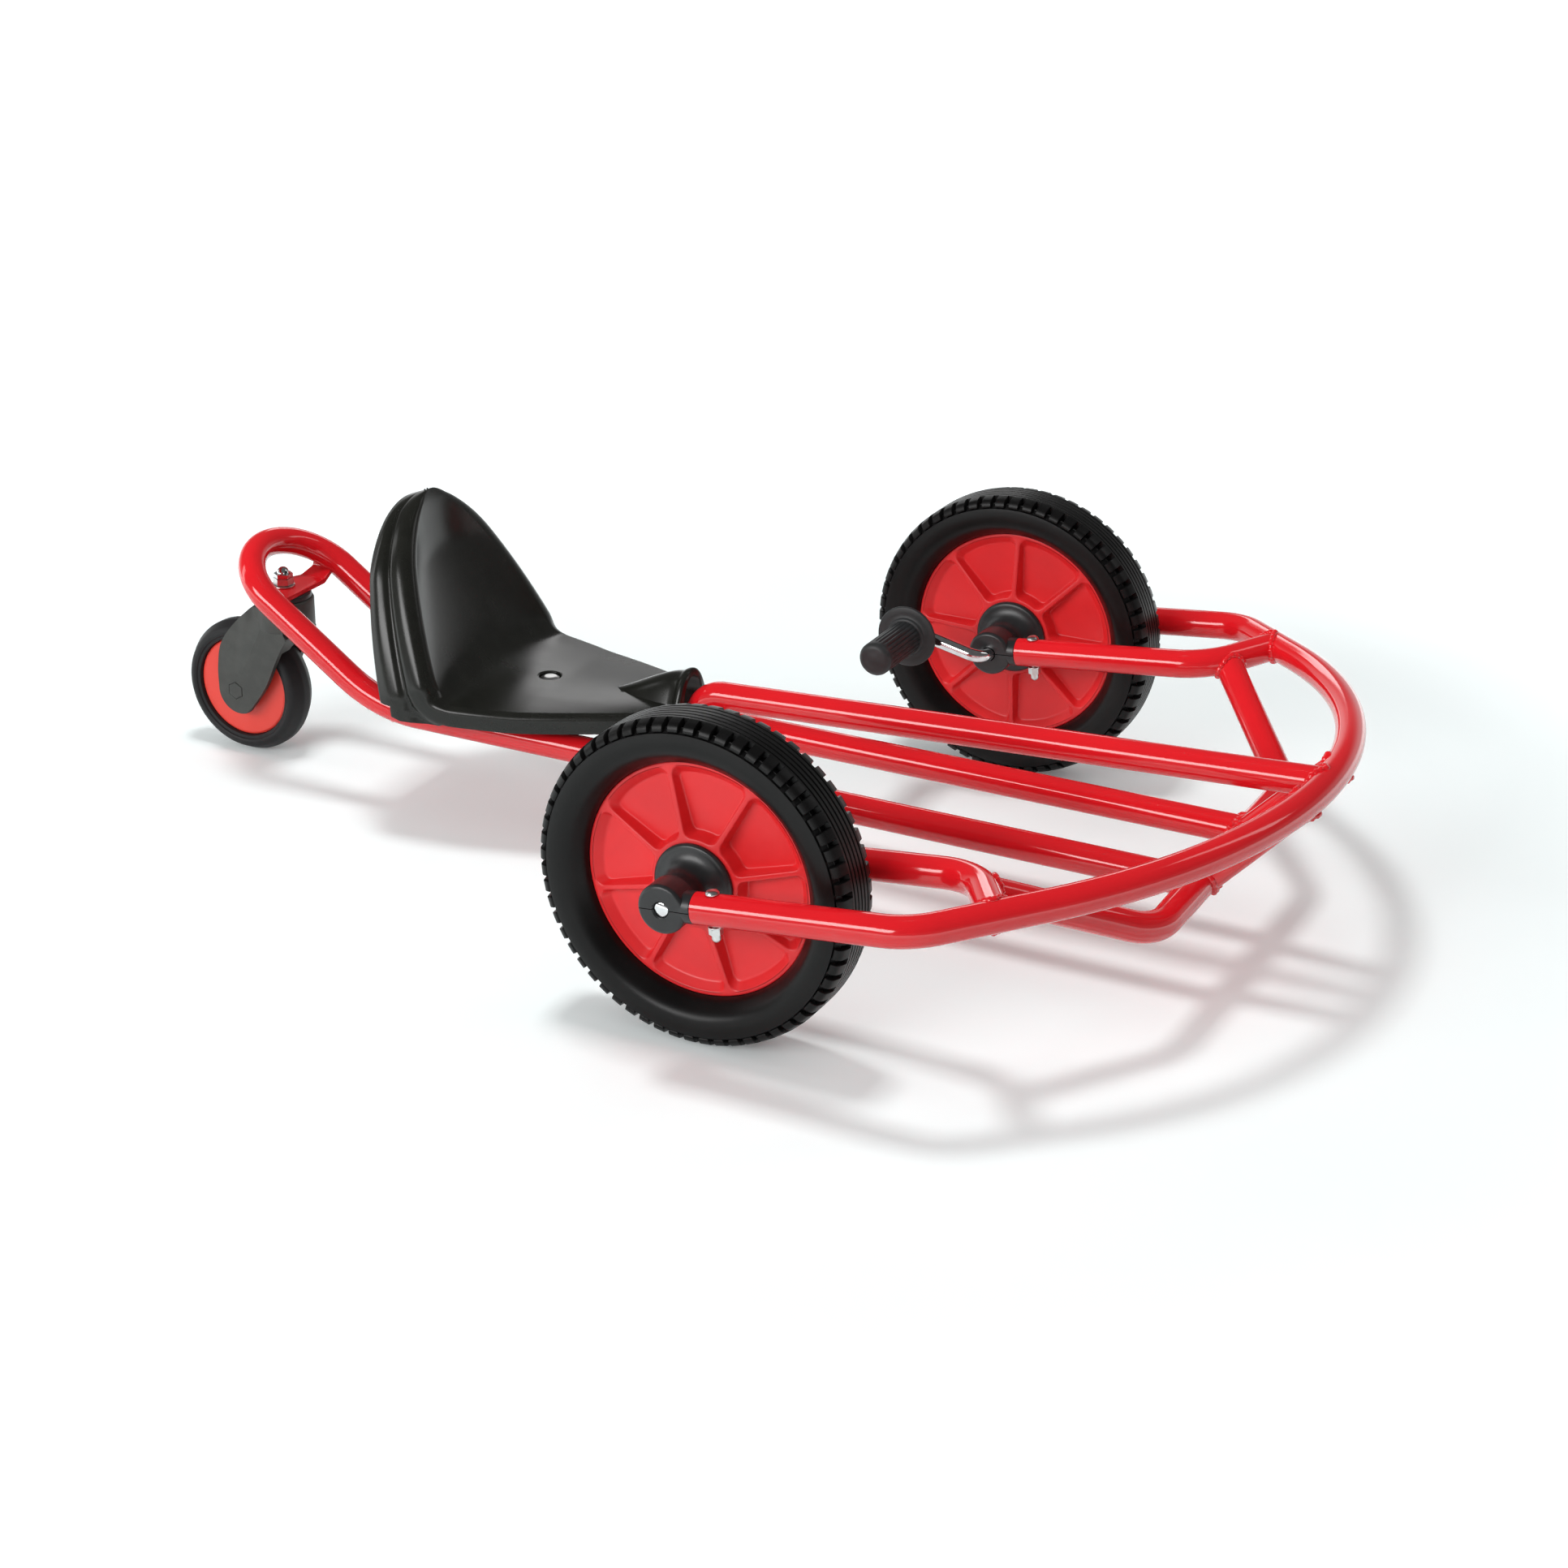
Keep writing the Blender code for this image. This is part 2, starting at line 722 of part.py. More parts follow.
# Seat strap over both low rails
strap_z = rail_top_z + gap
strap_middle = at(seat_bolt_x, 0.0, strap_z + seat_strap_thickness / 2.0)
strap_length = 2.0 * (low_rail_half_spacing + seat_strap_overhang)
strap = box("seat_strap", strap_middle, (seat_strap_width, strap_length, seat_strap_thickness), red_paint)
seat_bolt_line = [
    at(seat_bolt_x, 0.0, strap_z - cutter_reach),
    at(seat_bolt_x, 0.0, strap_z + cutter_reach),
]
seat_bolt_cutter = hide(rod("cut_seat_bolt", seat_bolt_line, seat_bolt_radius + gap, zinc, 10))
combine(strap, seat_bolt_cutter)


# Caster plate: a flat strap whose ends turn up to the loop's legs
def plate_section(top):
    """Bent strip's outline across the car, from one ear's top to the other."""
    half = plate_thickness / 2.0
    ear_y = low_rail_half_spacing - plate_ear_inset
    corner_y = low_rail_half_spacing - plate_bend_inset
    bend_y = ear_y - plate_bend_run
    ear_foot = plate_low_z + plate_ear_corner_rise
    right_outer = [(corner_y, plate_low_z), (bend_y, plate_low_z + plate_bend_rise), (ear_y + half, ear_foot)]
    right_inner = [
        (ear_y - half, ear_foot + plate_bend_rise),
        (bend_y - half, plate_top_z + plate_bend_rise), (corner_y, plate_top_z),
    ]
    right = right_outer + [(ear_y + half, top), (ear_y - half, top)] + right_inner
    left = [(-y, z) for y, z in right[::-1]]
    return right + left


bm = bmesh.new()
section = [at(plate_front_x, y, z) for y, z in plate_section(plate_top_z + plate_ear_rise)]
add_prism(bm, section, Vector((plate_rear_x - plate_front_x, 0.0, 0.0)))
caster_plate = finish("caster_plate", bm, red_paint)
combine(caster_plate, loop_cutter)
trim_x = (plate_front_x + plate_rear_x) / 2.0
trim_turn = Matrix.Rotation(loop_rise_angle, 3, "Y")
trim_place = at(trim_x, 0.0, leg_height(trim_x)) + trim_turn @ Vector((0.0, 0.0, cutter_reach / 2.0))
trim_size = (2.0 * cutter_reach, 2.0 * cutter_reach, cutter_reach)
trim = hide(box("cut_plate_top", trim_place, trim_size, red_paint, trim_turn))
combine(caster_plate, trim)
for side, word in ((-1.0, "right"), (1.0, "left")):
    # Each rear corner is cut off along a line from the middle strip to the ear
    corner = [
        at(plate_rear_x, side * plate_taper_y, plate_low_z - cutter_reach),
        at(plate_ear_rear_x, side * (low_rail_half_spacing - plate_ear_inset), plate_low_z - cutter_reach),
        at(plate_ear_rear_x, side * cutter_reach, plate_low_z - cutter_reach),
        at(plate_rear_x - cutter_reach, side * cutter_reach, plate_low_z - cutter_reach),
        at(plate_rear_x - cutter_reach, side * plate_taper_y, plate_low_z - cutter_reach),
    ]
    bm = bmesh.new()
    add_prism(bm, corner, Vector((0.0, 0.0, 2.0 * cutter_reach)))
    combine(caster_plate, hide(finish("cut_plate_" + word + "_corner", bm, red_paint)))
swivel_line = [at(swivel_x, 0.0, plate_top_z - cutter_reach), at(swivel_x, 0.0, plate_top_z + cutter_reach)]
swivel_cutter = hide(rod("cut_swivel", swivel_line, hole_for(swivel_bolt_radius), zinc, 12))
combine(caster_plate, swivel_cutter)


# Seat shell: sections along a spine that runs back over the pan and up the back
def seat_ridge():
    """Edge line seen from the side, as a polyline from the front to the top."""
    corners = [
        Vector((seat_front_x, 0.0, seat_front_z)),
        Vector((seat_pan_x, 0.0, seat_pan_z)),
        Vector((seat_corner_x, 0.0, seat_corner_z)),
        Vector((seat_top_x + seat_back_knee_run, 0.0, seat_top_z - seat_back_knee_drop)),
        Vector((seat_top_x, 0.0, seat_top_z)),
    ]
    return fillet_path(corners, [seat_pan_sweep, seat_corner_radius, seat_back_sweep])


def seat_spine(rows_pan, rows_corner, rows_back):
    """Stations (point, normal, pan share, back share) along the ridge line."""
    points = seat_ridge()
    lengths = [0.0]
    for a, b in zip(points[:-1], points[1:]):
        lengths.append(lengths[-1] + (b - a).length)
    total = lengths[-1]
    corner_at = (Vector((seat_corner_x, 0.0, seat_corner_z)) - points[0]).length - seat_corner_radius
    corner_end = corner_at + 2.0 * seat_corner_radius
    marks = []
    for i in range(rows_pan):
        marks.append(corner_at * i / rows_pan)
    for i in range(rows_corner):
        marks.append(corner_at + (corner_end - corner_at) * i / rows_corner)
    for i in range(rows_back + 1):
        share = math.sin(math.pi / 2.0 * i / rows_back)
        marks.append(corner_end + (total - corner_end) * share)
    stations = []
    for mark in marks:
        k = 0
        while k < len(lengths) - 2 and lengths[k + 1] < mark:
            k += 1
        part = (mark - lengths[k]) / (lengths[k + 1] - lengths[k])
        point = points[k].lerp(points[k + 1], min(1.0, part))
        low = max(0, k - 1)
        high = min(len(points) - 1, k + 2)
        chord = points[k + 1] - points[k]
        before = points[k] - points[low] if k > 0 else chord
        after = points[high] - points[k + 1] if high > k + 1 else chord
        tangent = before.normalized().lerp(chord.normalized(), 0.5).normalized()
        tangent_next = chord.normalized().lerp(after.normalized(), 0.5).normalized()
        heading = tangent.lerp(tangent_next, min(1.0, part)).normalized()
        normal = Vector((heading.z, 0.0, -heading.x)).normalized()
        if normal.z < 0.0:
            normal = -normal
        pan_share = max(0.0, 1.0 - mark / corner_end)
        back_share = max(0.0, (point.z - seat_corner_z) / (seat_top_z - seat_corner_z))
        if mark <= corner_at:
            back_share = 0.0
        stations.append((point, normal, pan_share, min(1.0, back_share)))
    return stations


def smooth(x):
    x = min(1.0, max(0.0, x))
    return x * x * (3.0 - 2.0 * x)


def seat_row(station, across, roll_steps, wall_steps):
    """One section of the seat: flange, roll, seating surface, roll, flange."""
    point, normal, pan_share, back_share = station
    half = seat_half_width * math.sqrt(max(0.0, 1.0 - back_share ** seat_top_power))
    half -= (seat_half_width - seat_front_half_width) * pan_share ** seat_taper_power
    turned_up = smooth(normal.x / seat_upright_lean)
    arch = smooth(back_share / seat_hollow_foot_share) * smooth((1.0 - back_share) / seat_hollow_top_share)
    bulge = -seat_pan_crown * (1.0 - turned_up) + seat_back_hollow * arch
    roll = min(seat_roll_radius, half * seat_roll_share)
    inner_half = max(0.0, half - roll)
    flange = seat_flange_top + (seat_flange_low - seat_flange_top) * (1.0 - back_share) ** seat_flange_power
    depth = seat_skirt + (flange - seat_skirt) * smooth((normal.x - seat_flange_lean) / seat_flange_lean_run)
    if normal.z > 0.01:
        depth = min(depth, (point.z - seat_skirt_floor) / normal.z)
    if normal.z > 0.01 and normal.x > 0.01:
        above_rail = (point.z - rail_top_z - seat_back_clearance) / normal.z
        before_end = (point.x - seat_skirt_end_x) / normal.x
        depth = min(depth, max(above_rail, before_end))
    depth = max(depth, roll + seat_flange_least)
    slope = math.atan2(2.0 * bulge, max(inner_half, roll)) if half > roll * 1.2 else 0.0
    right = []
    for i in range(across + 1):
        share = math.sin(math.pi / 2.0 * i / across) if across > 0 else 0.0
        right.append((inner_half * share, -bulge * (1.0 - share * share)))
    for i in range(1, roll_steps + 1):
        angle = -slope + (math.pi / 2.0 + slope) * i / roll_steps
        y = inner_half + roll * (math.sin(angle) + math.sin(slope))
        n = roll * (math.cos(angle) - math.cos(slope))
        right.append((y, n))
    edge_y, edge_n = right[-1]
    wave = smooth((depth - seat_skirt) / seat_groove_run) * min(1.0, half / seat_groove_fade)
    for i in range(1, wall_steps + 1):
        share = i / wall_steps
        groove = -seat_groove_depth * math.exp(-((share - seat_groove_place) / seat_groove_spread) ** 2)
        bulge_out = math.exp(-((share - seat_swell_place) / seat_swell_spread) ** 2)
        swell = seat_swell_share * seat_groove_depth * bulge_out
        y = edge_y + wave * (groove + swell)
        right.append((y, edge_n + (-depth - edge_n) * share))
    section = []
    for y, n in right[::-1]:
        section.append(place_seat_point(point, normal, -y, n))
    for y, n in right[1:]:
        section.append(place_seat_point(point, normal, y, n))
    return section


def place_seat_point(point, normal, y, n):
    """Seat surface point, with the hump over the centre rail's bend added on the pan."""
    result = at(point.x, y, point.z) + normal * n
    reach = (point.x - (seat_front_x - seat_hump_length)) / seat_hump_length
    if reach > 0.0:
        width = seat_hump_half_width * (seat_hump_foot_share + (1.0 - seat_hump_foot_share) * reach)
        bell = math.exp(-((y / width) ** 2) * seat_hump_sharpness)
        curve = (1.0 - seat_hump_ramp_share) * reach * reach
        rise = seat_hump_height * (seat_hump_ramp_share * reach + curve)
        result.z += rise * bell
    return result


def seat_sheet(rows_pan, rows_corner, rows_back, across, roll_steps, wall_steps):
    bm = bmesh.new()
    rows = []
    for station in seat_spine(rows_pan, rows_corner, rows_back):
        section = seat_row(station, across, roll_steps, wall_steps)
        rows.append([bm.verts.new(p) for p in section])
    for first, second in zip(rows[:-1], rows[1:]):
        for i in range(len(first) - 1):
            bm.faces.new((first[i], first[i + 1], second[i + 1], second[i]))
    bmesh.ops.remove_doubles(bm, verts=bm.verts, dist=seat_merge)
    return bm


bm = seat_sheet(6, 4, 9, 5, 2, 4)
seat = finish("seat", bm, seat_plastic)
for polygon in seat.data.polygons:
    polygon.use_smooth = True
wall = seat.modifiers.new("wall", "SOLIDIFY")
wall.thickness = seat_wall
wall.offset = -1.0
wall.use_even_offset = True
wall.use_quality_normals = True

boss_top_z = seat_pan_z + seat_pan_crown + seat_boss_rise
boss_floor_z = strap_z + seat_strap_thickness + gap
boss_profile = [
    (0.0, boss_floor_z), (seat_boss_radius, boss_floor_z),
    (seat_boss_radius, boss_top_z - seat_wall / 2.0), (0.0, boss_top_z - seat_wall / 2.0),
]
seat_bolt_place = at(seat_bolt_x, 0.0, 0.0)
boss = hide(turned("join_seat_boss", boss_profile, seat_plastic, 20, place=seat_bolt_place, axis="Z"))
combine(seat, boss, "UNION")
recess_floor_z = boss_top_z - seat_hole_depth
recess_profile = [
    (0.0, recess_floor_z), (seat_hole_radius, recess_floor_z),
    (seat_hole_radius, boss_top_z + cutter_reach), (0.0, boss_top_z + cutter_reach),
]
recess = hide(turned("cut_seat_recess", recess_profile, seat_plastic, 20, place=seat_bolt_place, axis="Z"))
combine(seat, recess)
combine(seat, seat_bolt_cutter)

seat_nut_top = strap_z - gap
bolt_end_z = seat_nut_top - seat_nut_height - seat_bolt_overhang
head_z = recess_floor_z + gap
seat_bolt_profile = [
    (0.0, bolt_end_z), (seat_bolt_radius, bolt_end_z), (seat_bolt_radius, head_z),
    (seat_bolt_head_radius, head_z),
    (seat_bolt_head_radius, head_z + seat_bolt_head_side_share * seat_bolt_head_height),
    (seat_bolt_head_top_share * seat_bolt_head_radius, head_z + seat_bolt_head_height),
    (0.0, head_z + seat_bolt_head_height),
]
turned("seat_bolt", seat_bolt_profile, zinc, 16, place=seat_bolt_place, axis="Z")
nut_bore = hole_for(seat_bolt_radius)
seat_nut_profile = [
    (nut_bore, seat_nut_top), (nut_bore, seat_nut_top - seat_nut_height),
    (seat_nut_radius, seat_nut_top - seat_nut_height), (seat_nut_radius, seat_nut_top),
]
seat_nut_mesh = turned_mesh("seat_nut", seat_nut_profile, zinc, 12, True, seat_nut_radius)
put("seat_nut", seat_nut_mesh, place=seat_bolt_place)


# Front wheels
def tyre_profile():
    """Section of the solid rubber ring, inner seat first, then round the outside."""
    bead = rim_radius + gap
    wall_run = tyre_half_width - tyre_bead_half_width
    half = [
        (bead, tyre_bead_half_width),
        (bead + tyre_bead_rise_share * wall_run, tyre_bead_half_width + tyre_bead_spread_share * wall_run),
        (bead + tyre_wall_low_share * wall_run, tyre_half_width - tyre_wall_inset),
        (tyre_radius - tyre_wall_high, tyre_half_width),
        (tyre_radius - tyre_shoulder_drop, tread_half_width),
        (tyre_radius, tread_flat_half_width),
    ]
    other = [(r, -h) for r, h in half[::-1]]
    return half + other


def panel_outline(boss, outer, centre_angle):
    """Pie-shaped panel between two ribs, with rounded corners, as (x, z) points."""
    step = math.pi / rim_rib_count
    half_rib = rim_rib_width / 2.0
    points = []
    for radius, sign in ((boss, -1), (boss, 1), (outer, 1), (outer, -1)):
        swing = step - math.asin(half_rib / radius)
        soft = rim_panel_corner / radius
        pull = rim_panel_corner if radius == boss else -rim_panel_corner
        along_edge = (radius + pull, sign * (step - math.asin(half_rib / (radius + pull))))
        along_arc = (radius, sign * (swing - min(soft, swing * 0.7)))
        corner = [along_edge, along_arc]
        if (radius == boss) == (sign > 0):
            corner = corner[::-1]
        points.extend(corner)
        if radius == outer and sign > 0:
            points.append((outer, 0.0))
    return [(r * math.cos(a + centre_angle), r * math.sin(a + centre_angle)) for r, a in points]


def rim_profile():
    """Cone on each face, from the thick hub ring out to the narrow edge that the tyre sits on."""
    half = [
        (rod_radius + gap, rim_hub_half_width), (rim_hub_radius, rim_hub_half_width),
        (rim_radius - rim_edge_band, rim_edge_half_width), (rim_radius, rim_edge_half_width),
    ]
    other = [(r, -h) for r, h in half[::-1]]
    return half + other


def make_wheel(side, word, phase):
    centre = at(0.0, side * wheel_half_track, axle_z)
    wheel = pivot(word + "_wheel_pivot", centre)
    turned(word + "_tyre", tyre_profile(), rubber, tyre_segments, wheel, closed=True)
    rim = turned(word + "_rim", rim_profile(), red_plastic, tyre_segments, wheel, closed=True)
    pockets = bmesh.new()
    for i in range(rim_rib_count):
        angle = phase + (i + 0.5) * 2.0 * math.pi / rim_rib_count
        outline = panel_outline(rim_panel_inner, rim_radius - rim_panel_border, angle)
        for face in (-1.0, 1.0):
            flat = [Vector((x, face * rim_web / 2.0, z)) for x, z in outline]
            add_prism(pockets, flat, Vector((0.0, face * 2.0 * rim_hub_half_width, 0.0)))
    cutter = hide(finish("cut_" + word + "_panels", pockets, red_plastic, wheel))
    combine(rim, cutter)
    return wheel


def hub_profile(facing):
    """Trumpet from the rim's face out to the clamp, about the wheel's axis."""
    start = rim_hub_half_width + gap
    end = clamp_offset - clamp_half_width - running_gap
    bore = rod_radius + gap
    brim = hub_disc_radius - hub_disc_draft
    points = [(bore, start), (hub_disc_radius, start), (brim, start + hub_disc_edge)]
    run = end - start - hub_disc_edge
    for i in range(1, 4):
        angle = math.pi / 2.0 * i / 3
        radius = hub_neck_radius + (brim - hub_neck_radius) * (1.0 - math.sin(angle))
        points.append((radius, start + hub_disc_edge + hub_flare_share * run * (1.0 - math.cos(angle))))
    points.append((hub_neck_radius, end))
    points.append((bore, end))
    return [(r, facing * h) for r, h in points]


def clamp_cutters(side, word, where, y):
    """Shared cutters of one clamp: axle bore, bolt hole and the boxes that split it."""
    origin = on_plane(0.0, y)
    tilt = Matrix.Rotation(-frame_pitch, 3, "Y")
    tag = "cut_" + word + "_" + where
    reach = Vector((0.0, cutter_reach / 2.0, 0.0))
    axle_hole = hole_for(rod_radius, 12, running_gap)
    bore = hide(rod(tag + "_axle", [origin - reach, origin + reach], axle_hole, zinc, 12))
    bolt_place = origin + tilt @ Vector((clamp_bolt_reach, 0.0, 0.0))
    lift = tilt @ Vector((0.0, 0.0, 2.0 * clamp_radius))
    bolt_hole = hole_for(clamp_bolt_radius, 8)
    bolt = hide(rod(tag + "_bolt", [bolt_place - lift, bolt_place + lift], bolt_hole, zinc, 8))
    boxes = []
    for face in (-1.0, 1.0):
        shift = tilt @ Vector((clamp_spigot_length / 2.0, 0.0, face * (cutter_reach - split_gap) / 2.0))
        size = (2.0 * cutter_reach, cutter_reach, cutter_reach)
        boxes.append(hide(box(tag + ("_above" if face > 0 else "_below"), origin + shift, size, zinc, tilt)))
    return origin, tilt, bore, bolt, boxes


def make_clamp(side, word, where, y):
    origin, tilt, bore, bolt, boxes = clamp_cutters(side, word, where, y)
    outward = tilt @ Vector((1.0, 0.0, 0.0))
    half = clamp_half_width
    body = [
        (0.0, -half), (clamp_radius - clamp_edge, -half), (clamp_radius, -half + clamp_edge),
        (clamp_radius, half - clamp_edge), (clamp_radius - clamp_edge, half), (0.0, half),
    ]
    tag = "join_" + word + "_" + where
    neck_clear = hub_neck_radius + running_gap
    collar_root = clamp_half_width - clamp_collar_inset
    collar_start = clamp_collar_root_share * clamp_radius
    collar_profile = [
        (0.0, collar_start), (collar_root, collar_start), (collar_root, neck_clear),
        (clamp_collar_radius, neck_clear + clamp_collar_flare), (clamp_collar_radius, clamp_tube_start - gap),
        (0.0, clamp_tube_start - gap),
    ]
    collar = turned(tag + "_collar", collar_profile, black_plastic, 12, place=origin, axis="X", turn=tilt)
    hide(collar)
    spigot_start = (clamp_radius + clamp_tube_start) / 2.0
    spigot_end = clamp_tube_start + clamp_spigot_length
    spigot_line = [origin + outward * spigot_start, origin + outward * spigot_end]
    fit = (tube_inner_radius - gap) * math.cos(math.pi / bore_sides)
    spigot = hide(rod(tag + "_spigot", spigot_line, fit, black_plastic, bore_sides))
    for name, half_cut in (("upper", boxes[0]), ("lower", boxes[1])):
        piece = turned(word + "_" + where + "_clamp_" + name, body, black_plastic, 16, place=origin)
        combine(piece, collar, "UNION")
        combine(piece, spigot, "UNION")
        combine(piece, bore)
        combine(piece, bolt)
        combine(piece, half_cut)
    return bolt, origin, tilt


def crank_line(side):
    """Axle, arm and grip pin of one bent rod, about the wheel's pivot."""
    outer_end = side * (clamp_end + axle_stub)
    arm_y_place = -side * (clamp_end + crank_bend_radius + crank_clearance)
    arm = Vector((math.cos(crank_angle), 0.0, math.sin(crank_angle))) * crank_length
    pin_end = arm_y_place - side * (crank_bend_radius + grip_length - grip_pin_end)
    corners = [
        Vector((0.0, outer_end, 0.0)),
        Vector((0.0, arm_y_place, 0.0)),
        Vector((arm.x, arm_y_place, arm.z)),
        Vector((arm.x, pin_end, arm.z)),
    ]
    return fillet_path(corners, [crank_bend_radius, crank_bend_radius], 22.5 * deg), arm, arm_y_place


def make_grip(side, word, wheel, arm, start_y):
    """Round grip with its guard, closed by a round end, about the pin's axis."""
    grip = pivot(word + "_grip_pivot", wheel.location + arm, wheel)
    near = start_y - side * crank_bend_radius
    far = near - side * grip_length
    bore = hole_for(rod_radius, 20)
    bore_end = far + side * (grip_pin_end - gap)
    guard_end = near - side * grip_guard_thickness
    profile = [
        (0.0, bore_end), (bore, bore_end), (bore, near), (grip_guard_radius, near),
        (grip_guard_radius, guard_end), (grip_radius, guard_end),
        (grip_radius, far + side * grip_dome_height),
        (grip_dome_share * grip_radius, far + side * grip_dome_edge), (0.0, far),
    ]
    turned(word + "_grip", profile, black_plastic, 20, grip)


def clamp_fastener_meshes():
    """Dome-headed bolt down through the tube, with washer and dome nut below."""
    top = tube_outer_radius + gap
    bottom = -tube_outer_radius - gap
    nut_top = bottom - clamp_washer_thickness - gap
    nut_end = nut_top - clamp_nut_height
    shank_end = nut_end - clamp_bolt_end_share * clamp_nut_dome
    head_side = top + clamp_head_side_share * clamp_bolt_head_height
    head = [
        (0.0, shank_end), (clamp_bolt_radius, shank_end), (clamp_bolt_radius, top),
        (clamp_bolt_head_radius, top), (clamp_head_round_share * clamp_bolt_head_radius, head_side),
        (0.0, top + clamp_bolt_head_height),
    ]
    hole = hole_for(clamp_bolt_radius)
    washer = [
        (hole, bottom), (clamp_washer_radius, bottom), (clamp_washer_radius, bottom - clamp_washer_thickness),
        (hole, bottom - clamp_washer_thickness),
    ]
    dome_radius = clamp_dome_share * clamp_nut_radius
    nut = [
        (hole, nut_top), (clamp_nut_radius, nut_top), (clamp_nut_radius, nut_end),
        (dome_radius, nut_end),
        (clamp_dome_round_share * dome_radius, nut_end - clamp_dome_round_share * clamp_nut_dome),
        (0.0, nut_end - clamp_nut_dome), (0.0, shank_end - gap), (hole, shank_end - gap),
    ]
    return {
        "bolt": turned_mesh("clamp_bolt", head, zinc, 10),
        "washer": turned_mesh("clamp_washer", washer, zinc, 12, True),
        "nut": turned_mesh("clamp_nut", nut, zinc, 12, True, clamp_nut_radius),
    }


def add_clamp_fasteners(meshes, prefix, origin, tilt):
    place = origin + tilt @ Vector((clamp_bolt_reach, 0.0, 0.0))
    for kind, mesh in meshes.items():
        put(prefix + "_clamp_" + kind, mesh, place=place, turn=tilt)


fasteners = clamp_fastener_meshes()
for side, word, phase in ((-1.0, "right", right_rim_phase), (1.0, "left", left_rim_phase)):
    wheel = make_wheel(side, word, phase)
    turned(word + "_outer_hub", hub_profile(side), black_plastic, 16, wheel, closed=True)
    turned(word + "_inner_hub", hub_profile(-side), black_plastic, 16, wheel, closed=True)
    line, arm, arm_place = crank_line(side)
    rod(word + "_crank", line, rod_radius, chrome, 10, wheel)
    make_grip(side, word, wheel, arm, arm_place)
    arm_tube = bpy.data.objects[word + "_inner_arm"]
    for where, y, target in (("outer", side * hoop_y, front_hoop), ("inner", side * arm_y, arm_tube)):
        bolt_hole, origin, tilt = make_clamp(side, word, where, y)
        combine(target, bolt_hole)
        add_clamp_fasteners(fasteners, word + "_" + where, origin, tilt)

# Caster
swivel_place = at(swivel_x, 0.0, 0.0)
caster_place = at(caster_axle_x, 0.0, caster_radius)
swivel = pivot("caster_fork_pivot", swivel_place)
caster = pivot("caster_wheel_pivot", caster_place, swivel)
fork_outer = fork_inner + fork_wall
ring_top_z = plate_low_z - gap
ring_low_z = ring_top_z - cap_ring_height
head_top_z = ring_low_z - running_gap
head_low_z = head_top_z - fork_head_height

disc_edge = caster_disc_radius + gap
caster_tyre_profile = [
    (disc_edge, caster_disc_half_width - caster_bead_inset), (disc_edge + caster_bead_run, caster_half_width),
    (caster_radius - caster_shoulder_drop, caster_shoulder_share * caster_half_width),
    (caster_radius, caster_tread_share * caster_half_width),
]
caster_tyre_profile += [(r, -h) for r, h in caster_tyre_profile[::-1]]
turned("caster_tyre", caster_tyre_profile, rubber, caster_segments, caster, closed=True)
disc_floor = caster_disc_half_width - caster_disc_dish
pin_bore = caster_pin_radius + running_gap
boss_half = fork_inner - running_gap
disc_half = [
    (pin_bore, boss_half), (caster_boss_radius, boss_half), (caster_boss_foot_radius, disc_floor),
    (caster_disc_radius - caster_disc_rim, disc_floor),
    (caster_disc_radius, caster_disc_half_width - caster_disc_edge_inset),
]
disc_profile = disc_half + [(r, -h) for r, h in disc_half[::-1]]
turned("caster_disc", disc_profile, red_plastic, caster_segments, caster, closed=True)


# Fork: a leaf-shaped block under the swivel head, hollowed round the wheel into two legs
def leaf_outline():
    """Leaf seen from the side, about the swivel's axis."""
    axle = (-caster_trail, caster_radius)
    tip = (axle[0] + fork_tip_shift, axle[1])
    shoulder_z = head_low_z + fork_shoulder_share * fork_head_height
    chord = math.sqrt(fork_head_radius ** 2 - fork_outer ** 2)
    front = [
        (chord, shoulder_z), (chord, head_low_z + gap),
        (chord + fork_chin_reach, head_low_z - fork_chin_drop),
        (fork_throat_reach, axle[1] + fork_throat_rise), (fork_neck_reach, axle[1] + fork_neck_rise),
    ]
    lower_turn = arc(tip, fork_tip_radius, fork_tip_front, -math.pi, 5)
    back_x = tip[0] - fork_tip_radius
    rear = [
        (back_x + gap, axle[1] + fork_back_low_rise),
        (back_x + fork_back_slope, axle[1] + fork_back_high_rise),
        (-fork_head_radius - fork_fender_reach, head_low_z + fork_head_round),
        (-fork_head_radius + fork_fender_top_reach, shoulder_z),
    ]
    return front + lower_turn + rear


bm = bmesh.new()
flat = [Vector((x, -fork_outer, z)) for x, z in leaf_outline()]
add_prism(bm, flat, Vector((0.0, 2.0 * fork_outer, 0.0)))
fork = finish("caster_fork", bm, fork_plastic, swivel)
head_profile = [
    (0.0, head_low_z), (fork_head_radius - fork_head_round, head_low_z),
    (fork_head_radius, head_low_z + fork_head_round), (fork_head_radius, head_top_z - fork_head_round),
    (fork_head_radius - fork_head_round, head_top_z), (0.0, head_top_z),
]
fork_head = hide(turned("join_fork_head", head_profile, fork_plastic, 24, swivel, axis="Z"))
combine(fork, fork_head, "UNION")
wheel_room = hide(turned("cut_fork_wheel", [
    (0.0, -fork_inner), (caster_radius + fork_wheel_clearance, -fork_inner),
    (caster_radius + fork_wheel_clearance, fork_inner), (0.0, fork_inner),
], fork_plastic, caster_segments, caster))
combine(fork, wheel_room)
bolt_seat_z = head_low_z + swivel_head_height + swivel_head_inset
stud_room_radius = swivel_head_radius + swivel_head_clearance
stud_bore = hole_for(swivel_bolt_radius, 16, running_gap)
